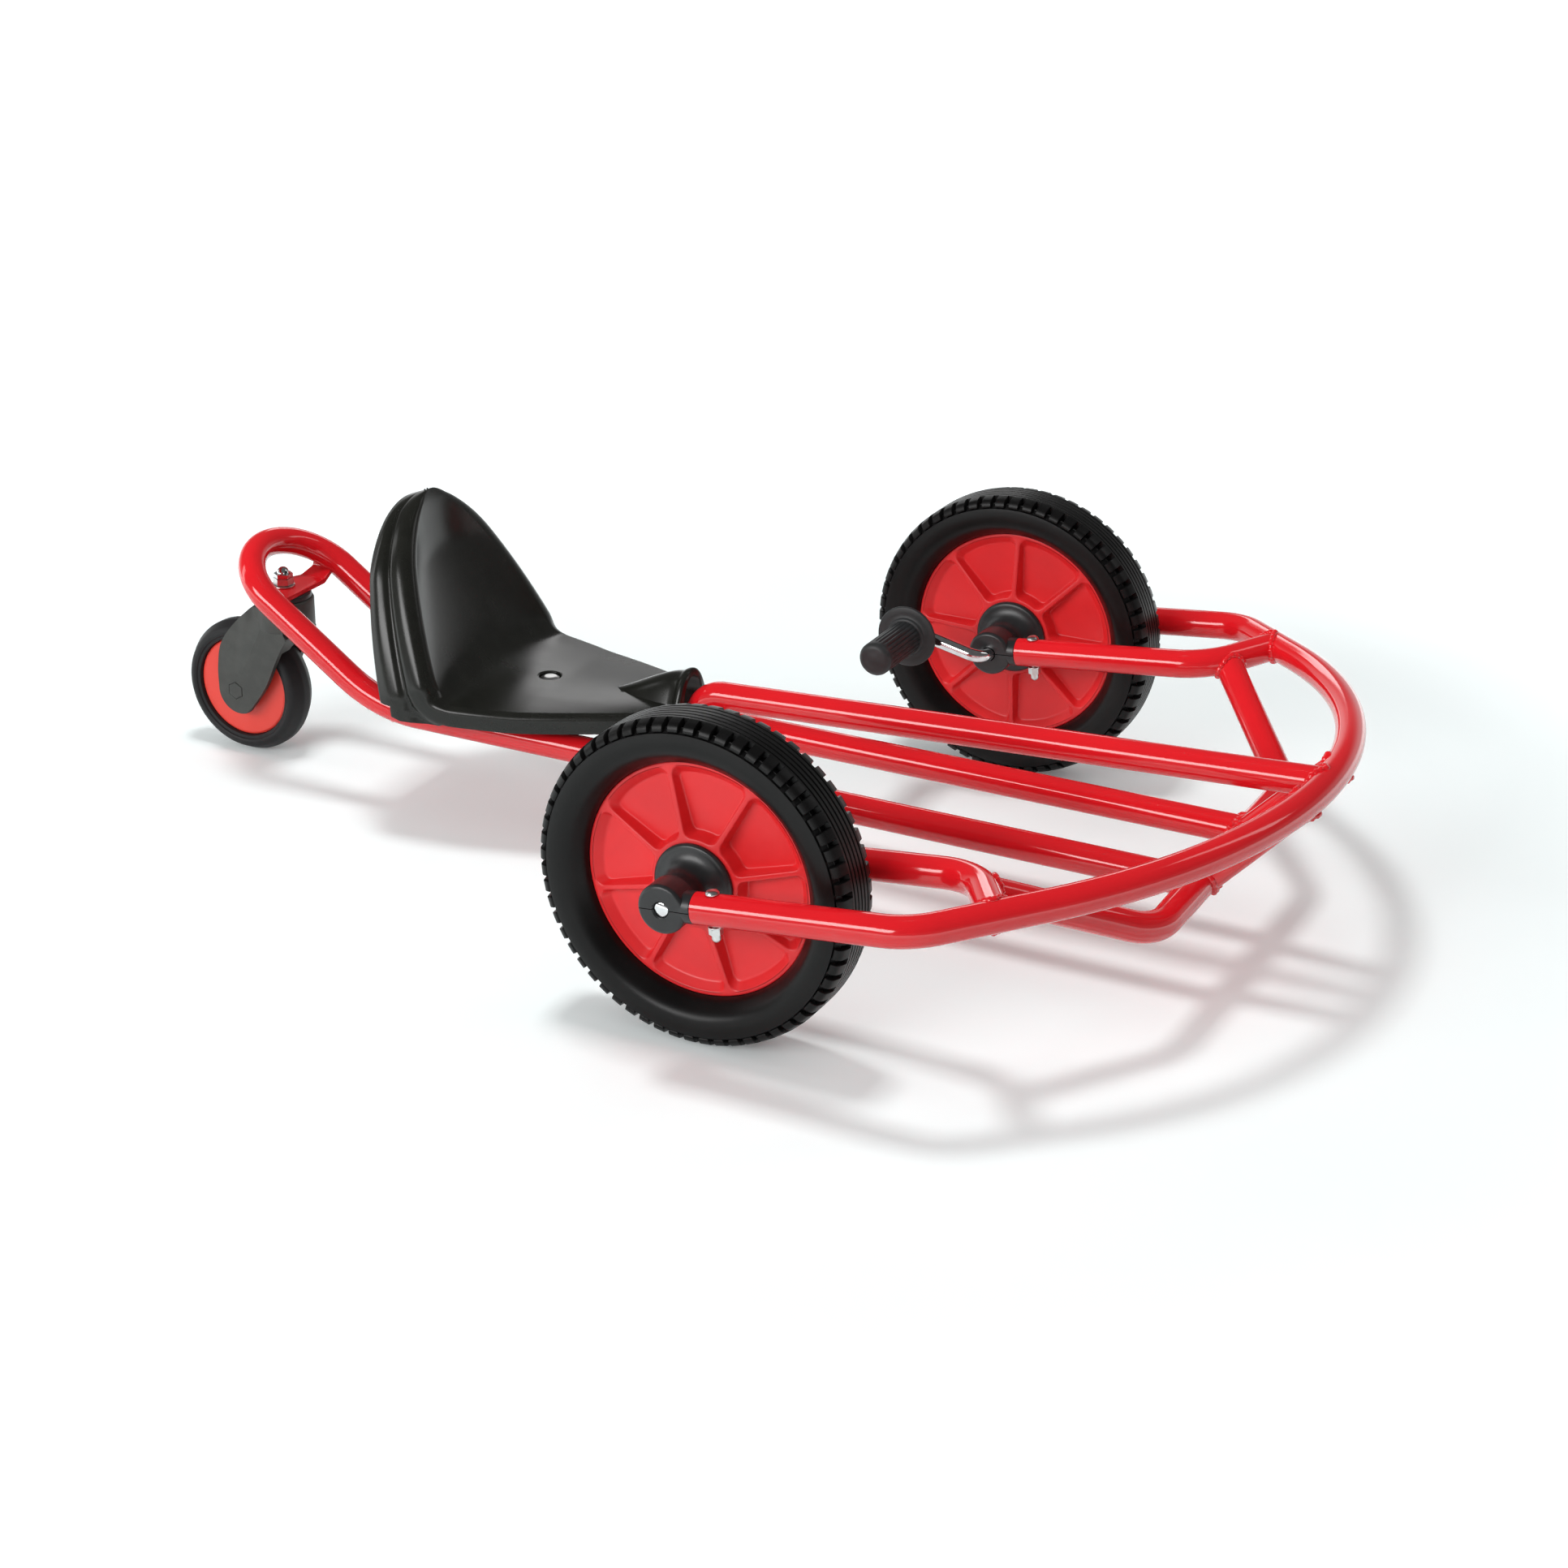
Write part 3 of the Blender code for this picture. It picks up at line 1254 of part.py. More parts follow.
stud_room = hide(turned("cut_fork_stud", [
    (0.0, head_low_z - cutter_reach), (stud_room_radius, head_low_z - cutter_reach),
    (stud_room_radius, bolt_seat_z), (stud_bore, bolt_seat_z),
    (stud_bore, head_top_z + cutter_reach), (0.0, head_top_z + cutter_reach),
], fork_plastic, 16, swivel, axis="Z"))
combine(fork, stud_room)
cap_room_radius = caster_cap_radius + gap
pin_room_radius = caster_pin_radius + gap
cap_floor = fork_outer - caster_cap_depth
axle_room = hide(turned("cut_fork_axle", [
    (0.0, -fork_outer - cutter_reach), (cap_room_radius, -fork_outer - cutter_reach),
    (cap_room_radius, -cap_floor), (pin_room_radius, -cap_floor),
    (pin_room_radius, cap_floor), (cap_room_radius, cap_floor),
    (cap_room_radius, fork_outer + cutter_reach), (0.0, fork_outer + cutter_reach),
], fork_plastic, 12, caster))
combine(fork, axle_room)

pin_half = cap_floor - gap
turned("caster_pin", [
    (0.0, -pin_half), (caster_pin_radius, -pin_half), (caster_pin_radius, pin_half), (0.0, pin_half),
], zinc, 12, swivel, caster_place - swivel_place)
for face, word in ((-1.0, "right"), (1.0, "left")):
    inner_y = face * (cap_floor + gap)
    outer_y = face * (fork_outer + caster_cap_proud)
    cap_profile = [
        (0.0, inner_y), (caster_cap_radius, inner_y), (caster_cap_radius, outer_y), (0.0, outer_y),
    ]
    turned("caster_" + word + "_cap", cap_profile, fork_plastic, 6, swivel, caster_place - swivel_place)

# Swivel: cap ring, bolt, washer, nut and dome nut on the plate
ring_bore = hole_for(swivel_bolt_radius)
turned("swivel_cap_ring", [
    (ring_bore, ring_low_z), (cap_ring_radius, ring_low_z), (cap_ring_radius, ring_top_z - cap_ring_chamfer),
    (cap_ring_radius - cap_ring_chamfer, ring_top_z), (ring_bore, ring_top_z),
], black_plastic, 20, place=swivel_place, axis="Z", closed=True)
washer_low = plate_top_z + gap
washer_top = washer_low + swivel_washer_thickness
nut_low = washer_top + gap
nut_high = nut_low + swivel_nut_height
dome_low = nut_high + gap
dome_hex_top = dome_low + swivel_dome_hex_height
dome_top = dome_hex_top + swivel_dome_height
bolt_top = dome_hex_top + swivel_bolt_top_share * swivel_dome_height
head_bolt_low = bolt_seat_z - gap - swivel_head_height
turned("swivel_bolt", [
    (0.0, head_bolt_low), (swivel_head_radius, head_bolt_low), (swivel_head_radius, bolt_seat_z - gap),
    (swivel_bolt_radius, bolt_seat_z - gap), (swivel_bolt_radius, bolt_top), (0.0, bolt_top),
], zinc, 12, place=swivel_place, axis="Z")
turned("swivel_washer", [
    (ring_bore, washer_low), (swivel_washer_radius, washer_low), (swivel_washer_radius, washer_top),
    (ring_bore, washer_top),
], zinc, 14, place=swivel_place, axis="Z", closed=True)
swivel_nut_profile = [
    (ring_bore, nut_low), (swivel_nut_radius, nut_low), (swivel_nut_radius, nut_high), (ring_bore, nut_high),
]
swivel_nut_mesh = turned_mesh("swivel_nut", swivel_nut_profile, zinc, 12, True, swivel_nut_radius)
put("swivel_nut", swivel_nut_mesh, place=swivel_place)
dome_hex_radius = swivel_dome_hex_share * swivel_nut_radius
dome_side_share, dome_side_rise = swivel_dome_side
dome_crown_share, dome_crown_rise = swivel_dome_crown
dome_nut_profile = [
    (ring_bore, dome_low), (dome_hex_radius, dome_low), (dome_hex_radius, dome_hex_top),
    (swivel_dome_radius, dome_hex_top + swivel_dome_foot),
    (dome_side_share * swivel_dome_radius, dome_hex_top + dome_side_rise * swivel_dome_height),
    (dome_crown_share * swivel_dome_radius, dome_hex_top + dome_crown_rise * swivel_dome_height),
    (0.0, dome_top),
    (0.0, bolt_top + gap), (ring_bore, bolt_top + gap),
]
dome_nut_mesh = turned_mesh("swivel_dome_nut", dome_nut_profile, zinc, 12, True, dome_hex_radius)
put("swivel_dome_nut", dome_nut_mesh, place=swivel_place)
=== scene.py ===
"""Looks of a hand-cranked swing car: painted tube frame, moulded seat, cranked wheels and caster."""

import json
import math

import bmesh
import bpy
import numpy as np
from bpy.props import FloatProperty, FloatVectorProperty, IntProperty, PointerProperty
from mathutils import Matrix, Vector


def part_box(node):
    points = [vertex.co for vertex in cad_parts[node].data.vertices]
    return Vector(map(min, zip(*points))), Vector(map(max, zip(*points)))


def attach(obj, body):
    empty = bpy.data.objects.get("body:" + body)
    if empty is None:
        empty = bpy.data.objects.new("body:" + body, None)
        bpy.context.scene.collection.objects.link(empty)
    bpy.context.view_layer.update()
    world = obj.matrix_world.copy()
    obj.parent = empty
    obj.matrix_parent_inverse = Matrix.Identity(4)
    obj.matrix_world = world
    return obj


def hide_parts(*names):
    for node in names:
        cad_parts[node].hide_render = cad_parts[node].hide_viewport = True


bl_info = {
    "name": "Swing Car Looks",
    "version": (1, 0, 0),
    "blender": (4, 5, 0),
    "location": "3D View > Sidebar > Swing Car",
    "description": "Builds the finished pieces of a hand-cranked swing car over its frame",
    "category": "Object",
}

mm = 0.001
deg = math.pi / 180.0
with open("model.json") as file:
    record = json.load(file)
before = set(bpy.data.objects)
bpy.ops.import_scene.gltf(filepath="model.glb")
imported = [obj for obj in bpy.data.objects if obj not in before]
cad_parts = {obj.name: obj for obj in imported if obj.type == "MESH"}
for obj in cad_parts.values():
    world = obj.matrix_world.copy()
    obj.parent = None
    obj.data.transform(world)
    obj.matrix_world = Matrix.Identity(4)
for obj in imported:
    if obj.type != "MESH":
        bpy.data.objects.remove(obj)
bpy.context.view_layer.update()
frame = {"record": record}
NODE_BODY = {node: body for body, nodes in frame["record"]["behaviour"]["bodies"].items() for node in nodes}


def middle(node):
    low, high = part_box(node)
    return (low + high) / 2.0


WHEELS = {"right": middle("right_tyre"), "left": middle("left_tyre")}
AXLE = Vector((WHEELS["right"].x, 0.0, WHEELS["right"].z))
CASTER_AXLE = middle("caster_disc")
SWIVEL = middle("swivel_washer")
AHEAD = Vector((1.0, 0.0, 0.0))
ACROSS = Vector((0.0, 1.0, 0.0))
UP = Vector((0.0, 0.0, 1.0))
ORIGIN = Vector((0.0, 0.0, 0.0))
SIDES = ((-1.0, "right"), (1.0, "left"))


# Sizes
def length(label, value, about):
    return FloatProperty(name=label, description=about, default=value * mm, unit="LENGTH", precision=4)


def angle(label, value, about):
    return FloatProperty(name=label, description=about, default=value * deg, subtype="ANGLE", precision=2)


def number(label, value, about):
    return IntProperty(name=label, description=about, default=value, min=3)


def share(label, value, about):
    return FloatProperty(name=label, description=about, default=value, subtype="FACTOR", precision=3)


def colour(label, value, about):
    return FloatVectorProperty(
        name=label, description=about, default=value, subtype="COLOR", min=0.0, max=1.0)


class FrameSizes(bpy.types.PropertyGroup):
    tube_radius: length("Tube radius", 12.7, "Outside radius of every frame tube")
    tube_wall: length("Tube wall", 1.5, "Wall of the frame tubes")
    tube_sides: number("Tube sides", 56, "Faces round a frame tube")
    pitch: angle("Pitch", 6.28, "Upward tilt of the hoop's plane")
    tube_start: length("Tube start", 25.0, "Reach from the axle where a tube meets its clamp")
    hoop_y: length("Hoop half width", 362.2, "Half width between the hoop's legs")
    hoop_start: length("Hoop bend start", 178.8, "Reach where the hoop's side bend starts")
    hoop_bend: length("Hoop side bend", 53.8, "Radius of the hoop's side bends")
    hoop_turn: angle("Hoop side turn", 44.65, "Turn of the hoop's side bends")
    hoop_nose: length("Hoop nose radius", 405.1, "Radius of the hoop's nose")
    arm_y: length("Arm half width", 249.8, "Half width between the inner arms")
    arm_start: length("Arm bend start", 175.6, "Reach where an inner arm's bend starts")
    arm_bend: length("Arm bend", 54.0, "Radius of an inner arm's bend")
    arm_turn: angle("Arm turn", 57.8, "Turn of an inner arm's bend")
    rail_z: length("Low rail height", 96.4, "Height of the low rails' middle")
    rail_y: length("Low rail half spacing", 57.2, "Half spacing of the low rails")
    bar_x: length("Crossbar reach", 313.8, "Distance of the crossbar ahead of the axle")
    bar_y: length("Crossbar corner", 156.0, "Half width of the crossbar's corners")
    bar_bend: length("Crossbar bend", 62.0, "Radius of the crossbar's bends")
    bar_top: length("Crossbar top reach", 215.3, "Reach where the crossbar meets an arm")
    bar_top_y: length("Crossbar top half width", 273.5, "Half width where the crossbar meets the arms")
    stay_foot: length("Stay foot", 49.5, "Half spacing of the stays on the crossbar")
    stay_head: length("Stay head", 39.5, "Half spacing of the stays on the hoop")
    centre_x: length("Centre rail bend", -172.5, "Place of the centre rail's bend behind the axle")
    centre_z: length("Centre rail height", 147.0, "Height of the centre rail's bend")
    centre_bend: length("Centre rail radius", 27.0, "Radius of the centre rail's bend")
    loop_start: length("Loop bend start", -428.5, "Place where the low rails start to rise")
    loop_bend: length("Loop bend", 131.0, "Radius of the rear loop's rise")
    loop_rise: angle("Loop rise", 34.8, "Slope of the rear loop's legs")
    loop_leg: length("Loop leg", 97.0, "Straight length of the rear loop's legs")
    cross_x: length("Rear cross tube", -455.0, "Place of the rear cross tube")
    bead: length("Weld bead", 2.7, "Radius of the weld beads")
    bead_pitch: length("Weld ripple pitch", 4.6, "Distance between the ripples of a weld")
    bead_ripple: share("Weld ripple", 0.17, "Depth of the ripples of a weld")


class SeatSizes(bpy.types.PropertyGroup):
    wall: length("Wall", 4.0, "Thickness of the moulding")
    front_x: length("Front", -178.0, "Front edge behind the axle")
    front_z: length("Front height", 138.5, "Height of the front edge")
    pan_x: length("Pan", -310.0, "Lowest place of the pan")
    pan_z: length("Pan height", 131.3, "Height of the pan's edge line")
    corner_x: length("Corner", -376.0, "Place where the pan turns up to the back")
    corner_z: length("Corner height", 132.5, "Height where the pan turns up")
    corner_bend: length("Corner bend", 17.0, "Radius of that turn")
    top_x: length("Top", -445.5, "Place of the back's top")
    top_z: length("Top height", 290.5, "Height of the back's top")
    knee_run: length("Knee run", 21.0, "How far ahead of the top the back's knee is")
    knee_drop: length("Knee drop", 53.0, "How far under the top the back's knee is")
    half_width: length("Half width", 109.5, "Half width at the corner")
    front_half: length("Front half width", 38.0, "Half width of the front edge")
    skirt: length("Skirt", 18.0, "Depth of the pan's skirt")
    flange_low: length("Low flange", 55.0, "Depth of the back's rim at its foot")
    flange_top: length("Top flange", 24.0, "Depth of the back's rim at its top")
    roll: length("Rolled edge", 7.0, "Radius of the pan's rolled edge")
    back_roll: length("Back's rolled edge", 12.5, "Radius of the back's rolled edge")
    groove: length("Groove", 3.2, "Depth of the groove round the back's rim")
    hollow: length("Hollow", 11.0, "Hollow of the back")
    crown: length("Crown", 3.0, "Crown of the pan")
    hump: length("Hump", 27.0, "Height of the hump over the centre rail")
    hump_length: length("Hump length", 98.0, "Length of the hump")
    hump_half: length("Hump half width", 19.5, "Half width of the hump's open end")
    hump_lip: length("Hump lip", 2.6, "How far the lip of the hump's open end stands out")
    across: number("Points across", 32, "Points across half of the seating surface")
    blend_rounds: number("Corner blend", 130, "How far the pan's turn to the back is drawn out")
    bolt_x: length("Bolt", -323.5, "Place of the seat bolt behind the axle")
    hole: length("Hole", 10.0, "Radius of the hole over the seat bolt")


class WheelSizes(bpy.types.PropertyGroup):
    blocks: number("Shoulder blocks", 60, "Tread blocks round each shoulder of a tyre")
    block_share: share("Block share", 0.66, "Share of the pitch that a block takes")
    slot_depth: length("Slot depth", 6.2, "Depth between the shoulder blocks")
    groove: length("Groove depth", 1.9, "Depth of the grooves round the tread")
    rim_edge: length("Rim edge", 8.5, "Half width of the rim's edge")
    rim_hub: length("Rim hub", 15.0, "Half width of the rim at its hub")
    rim_web: length("Rim web", 4.0, "Thickness of the rim's panels")
    ribs: number("Ribs", 8, "Ribs on each side of a rim")
    rib_width: length("Rib width", 4.4, "Width of a rib's top")
    rim_corner: length("Panel corner", 6.6, "Rounding of the panels' corners")
    right_phase: angle("Right phase", 16.5, "Turn of the right rim's ribs")
    left_phase: angle("Left phase", 0.35, "Turn of the left rim's ribs")
    hub_radius: length("Hub radius", 33.7, "Radius of a hub flange")
    neck_radius: length("Neck radius", 15.5, "Radius of a hub flange's neck")
    clamp_offset: length("Clamp offset", 56.2, "Distance of a clamp from the wheel's middle")
    clamp_radius: length("Clamp radius", 20.2, "Radius of a hub clamp")
    clamp_half: length("Clamp half width", 12.2, "Half width of a hub clamp")
    clamp_round: length("Clamp rounding", 3.6, "Rounding of a hub clamp's rim")
    split: length("Split", 0.7, "Gap between a clamp's halves")
    bolt_reach: length("Bolt reach", 39.5, "Reach of a clamp's bolt from the axle")
    rod: length("Rod radius", 6.0, "Radius of the axle and crank")
    crank_length: length("Crank length", 70.3, "Distance between axle and grip")
    crank_angle: angle("Crank angle", 167.7, "Angle of the crank's arm at rest")
    crank_bend: length("Crank bend", 14.0, "Radius of the crank's bends")
    grip_length: length("Grip length", 74.0, "Length of a grip")
    grip_radius: length("Grip radius", 15.6, "Radius of a grip over its ribs")
    grip_ribs: number("Grip ribs", 24, "Ribs along a grip")
    guard_radius: length("Guard radius", 28.5, "Radius of a grip's guard")


class CasterSizes(bpy.types.PropertyGroup):
    radius: length("Caster radius", 64.7, "Radius of the caster's tyre")
    half_width: length("Caster half width", 17.0, "Half width of the caster's tyre")
    disc_radius: length("Disc radius", 48.0, "Radius of the caster's disc")
    disc_half: length("Disc half width", 13.4, "Half width of the caster's disc")
    fork_inner: length("Fork room", 18.6, "Half of the room between the fork's legs")
    fork_outer: length("Fork half width", 24.5, "Half width over the fork's legs")
    head_radius: length("Head radius", 27.4, "Radius of the fork's head")
    head_low: length("Head foot", 130.8, "Height of the head's foot")
    head_top: length("Head top", 159.8, "Height of the head's top")
    tip_radius: length("Tip radius", 22.5, "Radius of the fork's tips")
    plate_top: length("Plate top", 169.5, "Height of the caster plate's top")
    plate: length("Plate", 4.0, "Thickness of the caster plate")
    ring_radius: length("Cap ring", 25.4, "Radius of the swivel's cap ring")
    washer: length("Washer", 10.6, "Radius of the swivel's washer")
    nut: length("Nut", 9.6, "Corner radius of the swivel's nut")


class Colours(bpy.types.PropertyGroup):
    frame_red: colour("Frame", (0.71, 0.0105, 0.0165), "Powder coat of the frame")
    rim_red: colour("Rims", (0.79, 0.020, 0.024), "Moulded red of the rims")
    disc_red: colour("Caster disc", (0.78, 0.050, 0.034), "Moulded red of the caster's disc")
    seat_black: colour("Seat", (0.0105, 0.0108, 0.0088), "Moulded seat")
    hub_black: colour("Hubs", (0.017, 0.017, 0.018), "Hub flanges and clamps")
    grip_black: colour("Grips", (0.021, 0.022, 0.023), "Hand grips")
    fork_black: colour("Fork", (0.040, 0.041, 0.037), "Caster fork")
    tyre_black: colour("Tyres", (0.0046, 0.0044, 0.0044), "Front tyres")
    caster_black: colour("Caster tyre", (0.016, 0.016, 0.017), "Caster tyre")
    chrome: colour("Chrome", (0.80, 0.80, 0.81), "Cranks and dome nut")
    zinc: colour("Zinc", (0.70, 0.70, 0.69), "Bolts, nuts and washers")
    floor: colour("Floor", (0.80, 0.86, 0.86), "Studio floor")


# Materials
class Wire:
    """A node's socket: sums, products and quotients of it become Math nodes."""

    def __init__(self, net, socket):
        self.net = net
        self.socket = socket

    def math(self, operation, first, second):
        return self.net.wire("ShaderNodeMath", {0: first, 1: second}, operation=operation)

    def __add__(self, other):
        return self.math("ADD", self, other)

    def __radd__(self, other):
        return self.math("ADD", other, self)

    def __mul__(self, other):
        return self.math("MULTIPLY", self, other)

    def __rmul__(self, other):
        return self.math("MULTIPLY", other, self)

    def __truediv__(self, other):
        return self.math("DIVIDE", self, other)

    def __rtruediv__(self, other):
        return self.math("DIVIDE", other, self)

    def clamped(self):
        return self.math("MINIMUM", self.math("MAXIMUM", self, 0.0), 1.0)


class Net:
    """The nodes of one tree: a material's, the world's or a geometry tree's."""

    def __init__(self, tree):
        self.tree = tree

    def add(self, kind, values=None, **settings):
        """A new node; its settings are set before its sockets."""
        node = self.tree.nodes.new(kind)
        for key, value in settings.items():
            setattr(node, key, value)
        for key, value in (values or {}).items():
            self.feed(node.inputs[key], value)
        return node

    def wire(self, kind, values=None, key=0, **settings):
        """One output of a new node."""
        return Wire(self, self.add(kind, values, **settings).outputs[key])

    def feed(self, socket, value):
        if isinstance(value, Wire):
            self.tree.links.new(value.socket, socket)
        else:
            socket.default_value = value

    def place(self, scale=(1.0, 1.0, 1.0), turn=(0.0, 0.0, 0.0)):
        where = self.wire("ShaderNodeTexCoord", key="Object")
        return self.wire("ShaderNodeMapping", {"Vector": where, "Scale": scale, "Rotation": turn})

    def noise(self, scale, detail=3.0, rough=0.5, warp=0.0, where=None):
        values = {"Scale": scale, "Detail": detail, "Roughness": rough, "Distortion": warp}
        values["Vector"] = self.place() if where is None else where
        return self.wire("ShaderNodeTexNoise", values)

    def cells(self, scale):
        values = {"Scale": scale, "Vector": self.place()}
        return self.wire("ShaderNodeTexVoronoi", values, "Distance", feature="F1")

    def ramp(self, factor, low, high, first=0.0, last=1.0):
        """Smooth step from the first value to the last while the factor goes from low to high."""
        values = {"Value": factor, "From Min": low, "From Max": high, "To Min": first, "To Max": last}
        return self.wire("ShaderNodeMapRange", values, interpolation_type="SMOOTHSTEP")

    def blend(self, factor, first, second):
        return self.wire("ShaderNodeMix", {0: factor, 6: first, 7: second}, 2, data_type="RGBA")

    def bump(self, height, strength, distance, under=None):
        values = {"Height": height, "Strength": strength, "Distance": distance}
        if under is not None:
            values["Normal"] = under
        return self.wire("ShaderNodeBump", values)

    def dress(self, **values):
        """Feeds the shader's own sockets."""
        shader = self.tree.nodes["Principled BSDF"]
        for key, value in values.items():
            self.feed(shader.inputs[key.replace("_", " ")], value)


def material_net(name):
    material = bpy.data.materials.new(name)
    material.use_nodes = True
    return Net(material.node_tree)


def shade(rgb, factor):
    """The colour made lighter or darker, as a node's value."""
    return tuple(min(1.0, channel * factor) for channel in rgb) + (1.0,)


def powder_coat(net, rgb):
    """Glossy baked paint: faint orange peel, a few dust nibs and slight cloudiness."""
    cloud = net.noise(9.0, 4.0)
    base = net.blend(net.ramp(cloud, 0.3, 0.7), shade(rgb, 0.95), shade(rgb, 1.04))
    peel = net.noise(160.0, 2.0, 0.45)
    nibs = net.ramp(net.cells(170.0), 0.07, 0.02)
    normal = net.bump(peel, 0.02, 0.0003)
    normal = net.bump(nibs, 0.08, 0.0002, normal)
    rough = net.noise(38.0, 4.0, 0.6) * 0.05 + 0.09 + nibs * 0.1
    net.dress(Base_Color=base, Roughness=rough, Normal=normal, Coat_Weight=0.25, Coat_Roughness=0.06)


def moulded_red(net, rgb):
    """Satin moulded plastic with a fine eroded grain and faint flow clouds."""
    flow = net.noise(14.0, 3.0, 0.5, 0.6)
    base = net.blend(net.ramp(flow, 0.3, 0.72), shade(rgb, 0.93), shade(rgb, 1.05))
    grain = net.noise(1500.0, 2.0, 0.6)
    wave = net.noise(26.0, 2.0, 0.4)
    normal = net.bump(wave, 0.09, 0.0012)
    normal = net.bump(grain, 0.10, 0.0002, normal)
    rough = net.noise(60.0, 4.0, 0.6) * 0.14 + 0.30
    net.dress(Base_Color=base, Roughness=rough, Normal=normal)


def seat_moulding(net, rgb):
    """Thick black moulding: polished skin with long soft waves and rubbed streaks."""
    streak = net.noise(9.0, 3.0, 0.5, 0.3, net.place((0.6, 2.4, 1.2), (0.0, 0.35, 0.0)))
    worn = net.ramp(streak, 0.35, 0.8)
    mottle = net.noise(48.0, 4.0, 0.55)
    base = net.blend(net.ramp(mottle, 0.3, 0.75), shade(rgb, 0.86), shade(rgb, 1.18))
    base = net.blend(worn * 0.12, base, shade(rgb, 1.8))
    scratch = net.noise(300.0, 2.0, 0.6, 0.0, net.place((0.12, 1.6, 1.0), (0.0, 0.0, 0.5)))
    lines = net.ramp(scratch, 0.66, 0.74)
    normal = net.bump(net.noise(11.0, 2.0, 0.4), 0.05, 0.003)
    normal = net.bump(net.noise(900.0, 2.0, 0.6), 0.03, 0.0001, normal)
    base = net.blend(lines * 0.25, base, shade(rgb, 1.6))
    rough = worn * 0.06 + mottle * 0.04 + 0.21
    net.dress(Base_Color=base, Roughness=rough, Normal=normal, Specular_IOR_Level=0.36)


def black_moulding(net, rgb, polish, grain_size):
    """Small black mouldings with a spark-eroded grain."""
    grain = net.noise(grain_size, 3.0, 0.6)
    patch = net.noise(70.0, 4.0, 0.55)
    base = net.blend(net.ramp(patch, 0.3, 0.75), shade(rgb, 0.84), shade(rgb, 1.22))
    normal = net.bump(grain, 0.16, 0.0003)
    normal = net.bump(net.noise(120.0, 2.0, 0.4), 0.06, 0.0008, normal)
    rough = patch * 0.14 + grain * 0.08 + (polish - 0.09)
    net.dress(Base_Color=base, Roughness=rough, Normal=normal)


def rubber(net, rgb, polish, dust):
    """Solid rubber: fine pores, uneven bloom and pale dust in patches."""
    pores = net.noise(1100.0, 3.0, 0.65)
    bloom = net.noise(22.0, 5.0, 0.6)
    base = net.blend(net.ramp(bloom, 0.3, 0.75), shade(rgb, 0.82), shade(rgb, 1.3))
    specks = net.ramp(net.noise(420.0, 3.0, 0.7), 0.60, 0.78) * net.ramp(bloom, 0.42, 0.68)
    base = net.blend(specks * dust, base, shade((0.12, 0.115, 0.105), 1.0))
    normal = net.bump(pores, 0.10, 0.0002)
    normal = net.bump(net.noise(60.0, 3.0, 0.5), 0.10, 0.0012, normal)
    rough = bloom * 0.14 + specks * 0.25 + (polish - 0.07)
    net.dress(Base_Color=base, Roughness=rough, Normal=normal, Specular_IOR_Level=0.22)


def bright_metal(net, rgb, polish, grain):
    """Plated steel with faint drawing lines and small clouds in the polish."""
    lines = net.noise(60.0, 3.0, 0.6, 0.0, net.place((30.0, 1.2, 30.0)))
    cloud = net.noise(140.0, 3.0, 0.55)
    base = net.blend(net.ramp(cloud, 0.3, 0.7), shade(rgb, 0.93), shade(rgb, 1.06))
    normal = net.bump(lines, grain, 0.0002)
    rough = cloud * 0.08 + lines * grain * 0.3 + polish
    net.dress(Base_Color=base, Metallic=1.0, Roughness=rough, Normal=normal)


# Each slot's finish: how it is made, its name, its colour, and what else the maker needs.
FINISHES = {
    "frame_red": (powder_coat, "frame_powder_coat", "frame_red"),
    "rim_red": (moulded_red, "rim_moulding", "rim_red"),
    "disc_red": (moulded_red, "disc_moulding", "disc_red"),
    "seat_black": (seat_moulding, "seat_moulding", "seat_black"),
    "hub_black": (black_moulding, "hub_moulding", "hub_black", 0.32, 700.0),
    "grip_black": (black_moulding, "grip_moulding", "grip_black", 0.46, 1200.0),
    "fork_black": (black_moulding, "fork_moulding", "fork_black", 0.50, 900.0),
    "tyre_rubber": (rubber, "tyre_compound", "tyre_black", 0.36, 0.05),
    "caster_rubber": (rubber, "caster_compound", "caster_black", 0.50, 0.15),
    "chrome": (bright_metal, "crank_chrome", "chrome", 0.05, 0.004),
    "zinc": (bright_metal, "fastener_zinc", "zinc", 0.26, 0.10),
}


def make_finishes(colours):
    for dress_as, name, tint, *more in FINISHES.values():
        dress_as(material_net(name), getattr(colours, tint), *more)


def finish_for(slot):
    name = FINISHES[slot][1]
    if name not in bpy.data.materials:
        raise RuntimeError("make the finishes first: there is no " + name)
    return bpy.data.materials[name]


# Mesh helpers
def polar(radius, swing):
    return radius * math.cos(swing), radius * math.sin(swing)


def at(x, y, z):
    """A point given from the front axle's middle, on the ground."""
    return Vector((AXLE.x + x, y, z))


def on_plane(sizes, reach, y):
    """A point of the hoop's tilted plane, at a reach from the axle."""
    return at(reach * math.cos(sizes.pitch), y, AXLE.z + reach * math.sin(sizes.pitch))


def smooth(x):
    x = min(1.0, max(0.0, x))
    return x * x * (3.0 - 2.0 * x)


def add_rows(bm, rows, wrap=True, close=False):
    """Rows of points joined by four-sided faces."""
    lines = [[bm.verts.new(p) for p in row] for row in rows]
    pairs = list(zip(lines[:-1], lines[1:]))
    if close:
        pairs.append((lines[-1], lines[0]))
    for first, second in pairs:
        count = len(first)
        for i in range(count if wrap else count - 1):
            j = (i + 1) % count
            bm.faces.new((first[i], first[j], second[j], second[i]))
    return lines


def tidy(bm, distance=2e-6):
    """Merges doubles, drops faces without an area and turns the faces outwards."""
    bmesh.ops.remove_doubles(bm, verts=bm.verts, dist=distance)
    bmesh.ops.dissolve_degenerate(bm, dist=1e-7, edges=bm.edges)
    bmesh.ops.recalc_face_normals(bm, faces=bm.faces)


